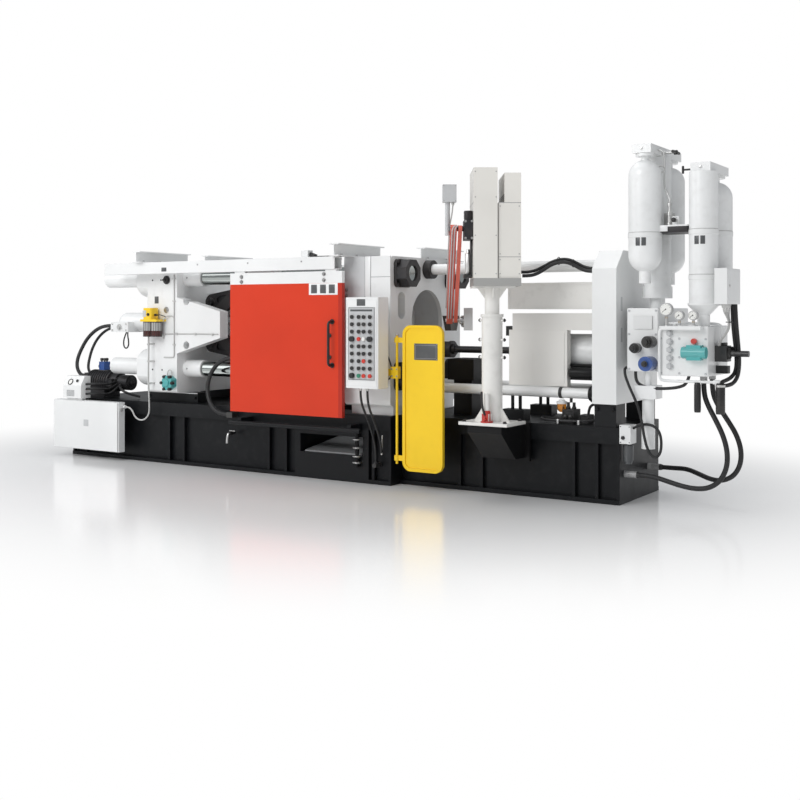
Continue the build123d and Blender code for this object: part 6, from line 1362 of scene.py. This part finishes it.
    def _head(self) -> None:
        """Pipe loop and bolts of the ladle head's plate."""
        spots = [(-.188, v, z) for v in (.70, .80, .98) for z in (1.385, 1.452)]
        loop = self.pipe(((-.188, .685, 1.452), (-.202, .672, 1.460), (-.220, .655, 1.458),
                          (-.226, .648, 1.435), (-.222, .662, 1.408), (-.205, .690, 1.394),
                          (-.188, .705, 1.392)), .013)
        self.piece("head_pipe", (loop,), SILVER, "head", self.place)
        self.piece("head_bolts", self.bolts(Axis.X, spots, .014, -.008), STEEL, "head", self.place)

    def build(self) -> None:
        """Make all the ladling unit's details."""
        self._seat()
        self._housing()
        self._drive()
        self._arm()
        self._head()


@dataclass(frozen=True)
class InjectionDetails(Workshop):
    """Fittings of the injection unit: second hose, switch, filter, valve blocks and pipes on the base."""

    base_top: float = 0.602
    filter_at: Point = (2.437, -0.270, 0.752)

    def _filter(self) -> None:
        """Filter bowl with its white head on a bracket."""
        x, y, z = self.filter_at
        bowl = self.turned(Axis.Z, self.filter_at, ((0, .078), (-.045, .076), (-.062, .050), (-.068, .020)))
        self.piece("filter_bowl", (bowl,), AMBER)
        head = self.turned(Axis.Z, self.filter_at, ((0, .088), (.018, .088), (.024, .05), (.034, .046)))
        self.piece("filter_head", (head,), WHITE)
        clip = self.turned(Axis.X, (x, -.270, .843), ((-.014, .094), (.014, .094)))
        self.piece("filter_bracket", (clip,), PLASTIC, slot="black_paint")

    def _hose(self) -> None:
        """Second hose over the covers, with the ties that hold both."""
        hose = self.pipe(((2.1885, -.579, 1.82), (2.235, -.548, 1.82), (2.27, -.527, 1.822),
                          (2.32, -.50, 1.836), (2.375, -.475, 1.868), (2.43, -.452, 1.902),
                          (2.49, -.432, 1.922), (2.555, -.414, 1.922), (2.61, -.396, 1.898),
                          (2.66, -.38, 1.866), (2.72, -.366, 1.846), (2.781, -.366, 1.846)), .026)
        ties = [self.ring(Axis.X, place, .060, .006, 24)
                for place in ((2.49, -.446, 1.908), (2.60, -.412, 1.888))]
        self.piece("ladle_hose_b", [hose] + ties, RUBBER)

    def _base_top(self) -> None:
        """Black valve blocks, pipes and hose ends on the base under the sleeve."""
        top = self.base_top
        blocks = [self.tray((2.47, 2.57), (-.34, -.20), (top, .712), (0, -1, 0), .012, .006),
                  self.tray((2.60, 2.68), (-.30, -.18), (top, .672), (0, -1, 0), .010, .005),
                  self.box((2.385, 2.45), (-.30, -.22), (top, .660), .004)]
        blocks += [self.turned(Axis.Z, (x, -.27, .712), ((0, .036), (.02, .036), (.02, .026), (.055, .024)))
                   for x in (2.495, 2.545)]
        blocks += [self.turned(Axis.Y, (x, -.34, .655), ((0, .034), (-.014, .034), (-.018, .02)), 0.0, 6)
                   for x in (2.50, 2.545)]
        self.piece("base_valve_blocks", blocks, PLASTIC, slot="black_paint")
        lines = [((2.385, -.26, .632), (2.33, -.27, .635), (2.28, -.30, .640), (2.30, -.38, .632),
                  (2.42, -.42, .630), (2.56, -.42, .630), (2.70, -.40, .632), (2.76, -.36, .640)),
                 ((2.52, -.27, .765), (2.515, -.268, .82), (2.545, -.255, .86), (2.60, -.23, .865),
                  (2.66, -.21, .84), (2.70, -.20, .78), (2.705, -.20, .72)),
                 ((2.64, -.20, .672), (2.645, -.20, .72), (2.67, -.19, .75), (2.71, -.18, .755),
                  (2.76, -.17, .75))]
        pipes = [self.pipe(line, dia) for line, dia in zip(lines, (.020, .024, .022))]
        self.piece("base_top_hoses", pipes, RUBBER)
        rests = [self.box((x, x + .02), (-.432, -.408), (top, .640), .002) for x in (2.46, 2.64)]
        self.piece("hose_rests", rests, STEEL)

    def _switch(self) -> None:
        """Switch box beside the sleeve."""
        box = self.tray((1.90, 1.982), (-.22, -.125), (1.30, 1.382), (0, -1, 0), .010, .004)
        gland = self.turned(Axis.Z, (1.94, -.17, 1.30),
                            ((0, .026), (-.018, .026), (-.018, .018), (-.03, .016)))
        self.piece("sleeve_switch", (box, gland), PLASTIC)

    def _cylinder(self) -> None:
        """Darker strips painted on the frame's face as the shade of its recessed slots, and the collar, tray
        and small cylinder under the injection cylinder.
        """
        # flat strips, not recesses: their darker grey is painted shade standing in for the slots' hollows
        slot_shades = [self.box((2.9795, 2.9815), (s * y - .016, s * y + .016), (z - .055, z + .055), .0)
                 for y, z in ((.349, 1.563), (.349, 1.32)) for s in (-1, 1)]
        self.piece("frame_slot_shades", slot_shades, PALE_GREY, slot="grey_metal")
        y, z = -.270, .843
        collar = self.turned(Axis.X, (2.685, y, z), ((0, .110), (.018, .138), (.040, .138), (.040, .116),
                                                     (.070, .116), (.092, .138)))
        tray = self.tray((2.44, 2.775), (-.20, .20), (.945, 1.075), (0, -1, 0), .018, .010)
        low = self.turned(Axis.X, (2.50, -.245, 1.005),
                          ((0, .07), (.012, .09), (.20, .09), (.212, .06), (.27, .05)))
        self.piece("cylinder_saddle", (collar, tray, low), DEEP_BLACK)

    def build(self) -> None:
        """Make the injection unit's details."""
        self._filter()
        self._hose()
        self._base_top()
        self._switch()
        self._cylinder()


@dataclass(frozen=True)
class BottleDetails(Workshop):
    """Straps, header bolts, shut-off valves, shelf and bare plates of the gas bottles and accumulators."""

    bottles: tuple[Point, ...] = ((3.19, -0.40, 2.087), (3.19, 0.15, 2.151), (3.64, -0.08, 2.098))
    bottle_dia: float = 0.250
    tubes: tuple[Point, ...] = ((3.19, -0.122, 2.087), (3.64, -0.384, 2.098))
    plate_pitch: float = 0.046
    tube_dia: float = 0.212
    low_strap: float = 1.759
    header_tops: tuple[tuple[float, Span, float], ...] = ((3.19, (-0.44, 0.19), 2.783),
                                                          (3.64, (-0.424, -0.04), 2.613))

    def _straps(self) -> None:
        """Bands round bottles and tubes, each with a grey seam on its upper edge."""
        levels = [(x, y, z, self.bottle_dia) for x, y, z in self.bottles]
        levels += [(x, y, z, self.tube_dia) for x, y, z in self.tubes]
        levels += [(3.64, y, self.low_strap, dia)
                   for y, dia in ((-.08, self.bottle_dia), (-.384, self.tube_dia))]
        parts = [self.turned(Axis.Z, (x, y, z), ((-.019, dia + .001), (-.017, dia + .007), (.017, dia + .007),
                                                 (.019, dia + .001)), 0.0, 48) for x, y, z, dia in levels]
        self.piece("bottle_straps", parts, WHITE)
        seams = [self.turned(Axis.Z, (x, y, z + .019), ((0, dia + .003), (.004, dia + .003)), 0.0, 48)
                 for x, y, z, dia in levels]
        self.piece("strap_seams", seams, SHEATH, slot="machined_steel")

    def _headers(self) -> None:
        """Caps and bolts on the header blocks."""
        spots = [(x + dx, y, z - .0105) for x, ends, z in self.header_tops for y in ends
                 for dx in (-.028, .028)]
        bolts = self.screws(Axis.Z, spots, .018, .009)
        fronts = [(x, -.4805 if z > 2.7 else -.4645, z - .033) for x, _, z in self.header_tops]
        plugs = self.copies(self.turned(Axis.Y, (0, 0, 0),
                                        ((.004, .024), (-.005, .024), (-.006, .016)), 0, 6), fronts)
        self.piece("header_plugs", bolts + plugs, SILVER)

    def _handles(self) -> None:
        """Shut-off valves with black handles."""
        stem = self.turned(Axis.X, (3.222, -.22, 2.735),
                           ((0, .044), (.03, .044), (.03, .03), (.07, .03), (.07, .018), (.155, .016)))
        low = self.turned(Axis.X, (3.600, -.30, 2.585), ((0, .030), (-.08, .026), (-.08, .016), (-.15, .014)))
        self.piece("shutoff_stems", (stem,), SILVER)
        bar = self.turned(Axis.Y, (3.372, -.22, 2.735),
                          ((-.085, .018), (-.07, .024), (.07, .024), (.085, .018)))
        hub = self.turned(Axis.X, (3.36, -.22, 2.735), ((0, .036), (.024, .036), (.028, .02)))
        bar_low = self.turned(Axis.Z, (3.455, -.30, 2.585),
                              ((-.03, .014), (-.024, .018), (.024, .018), (.03, .014)))
        self.piece("shutoff_handles", (bar, hub, bar_low, low), PLASTIC)

    def _shelf(self) -> None:
        """Valve cluster on a shelf between the bottles, with its pipe and small gauge."""
        shelf = self.box((3.28, 3.530), (-.42, -.12), (2.148, 2.160), .002)
        lip = self.box((3.28, 3.375), (-.422, -.414), (2.112, 2.160), .002)
        block = self.tray((3.405, 3.455), (-.40, -.33), (2.160, 2.225), (0, -1, 0), .010, .004)
        self.piece("valve_shelf", (shelf, lip, block), WHITE)
        channel = self.box((3.285, 3.528), (-.412, -.14), (2.104, 2.149), .003)
        self.piece("shelf_channel", (channel,), DARK_STEEL)
        side_box = self.box((3.300, 3.372), (-.29, -.23), (2.159, 2.262), .004)
        self.piece("shelf_box", (side_box,), SHEATH, slot="machined_steel")
        body = self.turned(Axis.Z, (3.372, -.36, 2.160), ((0, .05), (.02, .05), (.02, .036), (.075, .036),
                                                          (.075, .048), (.10, .048), (.10, .026), (.15, .024),
                                                          (.15, .034), (.17, .034), (.175, .02)))
        side = self.turned(Axis.X, (3.385, -.36, 2.200),
                           ((0, .022), (.045, .022), (.045, .030), (.055, .030)))
        nose = self.turned(Axis.Y, (3.430, -.40, 2.195),
                           ((0, .034), (-.016, .034), (-.016, .022), (-.03, .02)), 0.0, 6)
        pipe = self.pipe(((3.372, -.36, 2.330), (3.370, -.358, 2.36), (3.352, -.35, 2.40),
                          (3.326, -.34, 2.45), (3.320, -.335, 2.50), (3.320, -.33, 2.60),
                          (3.318, -.325, 2.70), (3.305, -.322, 2.738), (3.27, -.32, 2.748),
                          (3.222, -.32, 2.748)), .014)
        gauge = self.ring(Axis.Y, (3.296, -.335, 2.597), .050, .012)
        self.piece("shelf_valve", (body, side, nose, pipe, gauge), SILVER)
        wheel = self.turned(Axis.Y, (3.430, -.43, 2.195),
                            ((0, .02), (-.006, .036), (-.016, .036), (-.02, .022)))
        self.piece("shelf_valve_wheel", (wheel,), PLASTIC)

    def _plates(self) -> None:
        """Bare plates on two of the bottles, each turned to lie on its round side."""
        for name, at, dia, middle in (("a", self.bottles[0], self.bottle_dia, 5.0),
                                      ("b", self.tubes[1], self.tube_dia, 1.5)):
            for index in (-1, 1):
                turn = middle + index * math.degrees(self.plate_pitch / dia)
                plate = self.box((-.017, .017), (-dia / 2 - .002, -dia / 2 + .004), (2.004, 2.066), .0008)
                self.piece("bottle_plate_%s_%d" % (name, (index + 3) // 2), (plate,), DARK_PLATE,
                           place=Placement((at[0], at[1], 0.0), turn))

    def build(self) -> None:
        """Make all the bottles' details."""
        self._straps()
        self._headers()
        self._handles()
        self._shelf()
        self._plates()


@dataclass(frozen=True)
class TerminalDetails(Workshop):
    """Lid, lock, glands and cables of the terminal box, and the small box's fittings."""

    lid_x: float = 3.850
    bottom: float = 1.558
    cable_y: tuple[float, ...] = (-0.44, -0.40, -0.36, -0.32, -0.28)

    def _box(self) -> None:
        """Raised lid, lock and glands."""
        lid = self.tray((self.lid_x - .002, self.lid_x + .004), (-.498, -.176), (1.564, 1.816),
                        (1, 0, 0), .012, -.002)
        self.piece("terminal_lid", (lid,), WHITE)
        lock = self.turned(Axis.X, (self.lid_x + .004, -.46, 1.69), ((0, .026), (.006, .026), (.008, .016)))
        gland = self.turned(Axis.Z, (0, 0, 0),
                            ((.002, .028), (-.012, .028), (-.012, .022), (-.026, .020)), 0.0, 6)
        glands = self.copies(gland, [(3.803, y, self.bottom) for y in self.cable_y])
        self.piece("terminal_glands", [lock] + glands, SILVER)

    def _cables(self) -> None:
        """Five thin grey cables that bunch, and the thick black ones down to the lower fittings."""
        thin = []
        for index, y in enumerate(self.cable_y):
            near = (index - 2) * .011
            thin.append(self.pipe(((3.803, y, self.bottom - .02), (3.803, y, 1.51),
                                   (3.812, -.36 + near * 1.6, 1.47), (3.826, -.36 + near, 1.43),
                                   (3.818, -.355 + near, 1.37), (3.782, -.345 + near, 1.32),
                                   (3.745, -.33 + near, 1.28), (3.735, -.30 + near, 1.248)), .009))
        self.piece("solenoid_cables", thin, SHEATH)
        thick = [self.pipe(line, .030) for line in (((3.803, -.205, self.bottom + .01), (3.805, -.204, 1.46),
                                                     (3.812, -.196, 1.34), (3.824, -.186, 1.22),
                                                     (3.830, -.184, 1.12), (3.826, -.20, 1.05),
                                                     (3.812, -.26, 1.01), (3.797, -.34, .992),
                                                     (3.785, -.405, .984), (3.780, -.43, .970)),
                                                    ((3.834, -.235, self.bottom + .01), (3.836, -.228, 1.46),
                                                     (3.843, -.218, 1.34), (3.852, -.208, 1.22),
                                                     (3.856, -.204, 1.11), (3.850, -.22, 1.02),
                                                     (3.836, -.28, .97), (3.815, -.35, .955),
                                                     (3.795, -.41, .955), (3.780, -.43, .945)))]
        tie = self.ring(Axis.Z, (3.826, -.36, 1.425), .048, .007, 24)
        self.piece("thick_cables", thick + [tie], RUBBER)

    def _small_box(self) -> None:
        """Knob and round housing at the small box on the base."""
        knob = self.turned(Axis.Y, (3.030, -.445, .527),
                           ((0, .030), (-.008, .030), (-.010, .02), (-.020, .018)))
        screws = self.screws(Axis.Y, [(x, -.445, z) for x in (3.01, 3.08) for z in (.492, .613)], .008, -.003)
        self.piece("small_box_knob", [knob] + screws, PLASTIC)
        can = self.turned(Axis.Z, (3.050, -.385, .48),
                          ((0, .05), (-.012, .05), (-.014, .08), (-.13, .08), (-.145, .06), (-.16, .056)))
        self.piece("small_box_can", (can,), DARK_PLATE, slot="dark_steel")

    def build(self) -> None:
        """Make the electric fittings."""
        self._box()
        self._cables()
        self._small_box()


@dataclass(frozen=True)
class ManifoldDetails(Workshop):
    """Fasteners, valve parts, plugs, connectors and hoses of the manifold blocks."""

    front_a: float = -0.415
    front_b: float = -0.462
    top_b: float = 1.395
    plug_z: tuple[float, ...] = (1.340, 1.278, 1.216, 1.154, 1.092)
    gauges: tuple[tuple[float, float, float], ...] = ((3.400, 1.520, .096), (3.500, 1.475, .070),
                                                      (3.605, 1.475, .070))
    scale_ticks: int = 9
    scale_from: float = -45.0
    scale_step: float = 33.75
    needle_turn: float = 128.0

    def _fasteners(self) -> None:
        """Socket screws on the blocks, plugs and the cover plate's bolts."""
        spots = [(x, self.front_a, z) for x in (3.068, 3.282) for z in (1.06, 1.33, 1.51)]
        spots += [(x, self.front_b, z) for x in (3.34, 3.68) for z in (1.04, 1.30)]
        spots += [(3.48, self.front_b, z) for z in (1.04, 1.16, 1.30)]
        self.piece("block_screws", self.screws(Axis.Y, spots, .018, -.006), PALE_GREY)
        plug = self.turned(Axis.Y, (0, 0, 0),
                           ((.004, .052), (-.018, .052), (-.018, .036), (-.03, .034)), 0.0, 6)
        plugs = self.copies(plug, [(3.409, self.front_b, z) for z in self.plug_z])
        self.piece("block_plugs", plugs, PALE_GREY)

    def _valves(self) -> None:
        """Black knobs, coil nuts and ports of the block's valves."""
        black = self.turned(Axis.Y, (3.246, -.52, 1.272),
                            ((0, .06), (-.012, .06), (-.012, .036), (-.03, .034)), 0, 8)
        blue_nut = self.turned(Axis.Y, (3.240, -.548, 1.107),
                               ((0, .05), (-.010, .05), (-.012, .03), (-.024, .028)), 0.0, 8)
        round_nut = self.turned(Axis.Y, (3.131, -.512, 1.223),
                                ((0, .05), (-.010, .05), (-.010, .03), (-.02, .028)))
        self.piece("valve_nuts", (black, blue_nut, round_nut), PLASTIC)
        fins = [self.turned(Axis.X, (x, -.497, 1.198), ((0, .090), (.007, .090)), 0.0, 32)
                for x in (3.522, 3.537, 3.668, 3.683)]
        self.piece("spool_ribs", fins, TEAL)
        tag = self.box((3.572, 3.648), (-.5345, -.530), (1.172, 1.222), .0005)
        self.piece("spool_bare_tag", (tag,), DARK_PLATE)
        side = [self.box((3.72, 3.768), (-.282, -.20), (1.247, 1.27), .004),
                self.turned(Axis.X, (3.787, -.24, 1.187), ((-.03, .085), (.012, .085), (.018, .06)))]
        self.piece("side_coil", side, PLASTIC)

    def _pipes(self) -> None:
        """White pipes on the second block."""
        lines = [((3.348, -.30, 1.412), (3.45, -.30, 1.414), (3.60, -.30, 1.414), (3.70, -.295, 1.412),
                  (3.742, -.29, 1.400), (3.752, -.29, 1.36), (3.752, -.29, 1.27)),
                 ((3.42, -.455, 1.372), (3.42, -.478, 1.376), (3.39, -.480, 1.378), (3.35, -.480, 1.376),
                  (3.333, -.480, 1.36), (3.332, -.480, 1.28), (3.332, -.480, 1.10), (3.332, -.478, 1.01),
                  (3.345, -.470, .984), (3.40, -.455, .980), (3.55, -.445, .980), (3.66, -.437, .980),
                  (3.735, -.430, .980))]
        pipes = [self.pipe(line, .022) for line in lines]
        pipes.append(self.turned(Axis.X, (3.725, -.43, .980),
                                 ((0, .03), (.012, .034), (.05, .034), (.055, .022))))
        rests = [self.box((x, x + .022), (-.315, -.285), (self.top_b, 1.412), .002) for x in (3.38, 3.55)]
        self.piece("block_pipes", pipes + rests, WHITE)

    def _connectors(self) -> None:
        """Plugs on the block's side, and sleeves under it and on the return hoses' ends."""
        parts = [self.tray((3.758, 3.826), (-.20, -.135), (1.170, 1.238), (0, -1, 0), .008, .004),
                 self.tray((3.697, 3.786), (-.27, -.20), (1.037, 1.095), (0, -1, 0), .008, .004),
                 self.box((3.697, 3.762), (-.19, -.145), (1.182, 1.226), .003)]
        parts += [self.turned(Axis.Z, (x, y, z), ((0, dia * .9), (.02, dia), (h - .02, dia), (h, dia * .8)))
                  for x, y, z, dia, h in ((3.612, -.441, .752, .050, .222), (3.780, -.43, .745, .068, .228))]
        parts += [self.turned(Axis.X, (x, y, z), ((0, .048), (.03, .052), (.10, .052), (.12, .042)))
                  for x, y, z in ((3.004, -.33, .232), (3.004, .19, .232))]
        self.piece("side_connectors", parts, PLASTIC)
        band = self.turned(Axis.Z, (3.780, -.43, .945), ((0, .071), (.016, .071)), 0.0)
        self.piece("connector_band", (band,), SILVER)

    def _hoses(self) -> None:
        """The loop down from the first block and the short hose under it."""
        loop = self.pipe(((3.045, -.36, 1.06), (3.030, -.40, 1.08), (3.036, -.43, 1.02), (3.08, -.44, .92),
                          (3.14, -.44, .80), (3.18, -.44, .66), (3.20, -.44, .53), (3.235, -.44, .42),
                          (3.29, -.44, .385), (3.33, -.44, .43), (3.335, -.44, .53), (3.31, -.43, .60),
                          (3.26, -.42, .635), (3.17, -.40, .64), (3.09, -.385, .60)), .022)
        short = self.pipe(((3.10, -.36, 1.043), (3.102, -.37, .99), (3.13, -.38, .94), (3.22, -.39, .915),
                           (3.34, -.40, .915), (3.46, -.42, .93), (3.53, -.43, .96), (3.545, -.43, 1.022)),
                          .024)
        self.piece("block_hoses", (loop, short), RUBBER)

    def _gauges(self) -> None:
        """Dials, needles and stems of the pressure gauges."""
        dials, needles, ticks, stems = [], [], [], []
        for x, z, dia in self.gauges:
            dials.append(self.turned(Axis.Y, (x, -.535, z), ((.003, dia - .012), (-.001, dia - .012)), 0.0))
            needle = self.box((x - .0015, x + .0015), (-.5375, -.5362), (z - .006, z + dia * .36), .0003)
            needles += [self.lean(needle, "Y", self.needle_turn, (x, -.537, z)),
                        self.turned(Axis.Y, (x, -.536, z), ((0, .010), (-.002, .008)), 0.0, 16)]
            for index in range(self.scale_ticks):
                angle = math.radians(self.scale_from + self.scale_step * index)
                reach = (dia - .024) / 2
                ticks.append((x + reach * math.cos(angle), -.5362, z + reach * math.sin(angle)))
            stems.append(self.turned(Axis.Z, (x, -.515, z - dia / 2 + .004),
                                     ((0, .016), (-.012, .016), (-.012, .022), (-.024, .022)), 0.0, 6))
        marks = self.screws(Axis.Y, ticks, .0035, -.0006)
        self.piece("gauge_dials", dials, DIAL)
        self.piece("gauge_needles", needles + marks, PLASTIC)
        self.piece("gauge_stems", stems, BRASS)

    def build(self) -> None:
        """Make the manifold's details."""
        self._fasteners()
        self._valves()
        self._pipes()
        self._connectors()
        self._hoses()
        self._gauges()


ASSEMBLIES = (BaseFittings, ClampDetails, LubricatorDetails, PumpDetails, GearPumpDetails, CabinetDetails,
              ToggleDetails, DoorDetails, PanelDetails, PlatenDetails, GuardDetails, LadlerDetails,
              InjectionDetails, BottleDetails, TerminalDetails, ManifoldDetails)


def main() -> None:
    """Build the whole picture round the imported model."""
    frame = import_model()
    library = FinishLibrary()
    studio = Studio()
    studio.build()
    studio.camera()
    HoseSet(library).build(ROUTES)
    finish_nodes(frame["nodes"], library)
    for assembly in ASSEMBLIES:
        assembly(library).build()


if __name__ == "__main__":
    main()
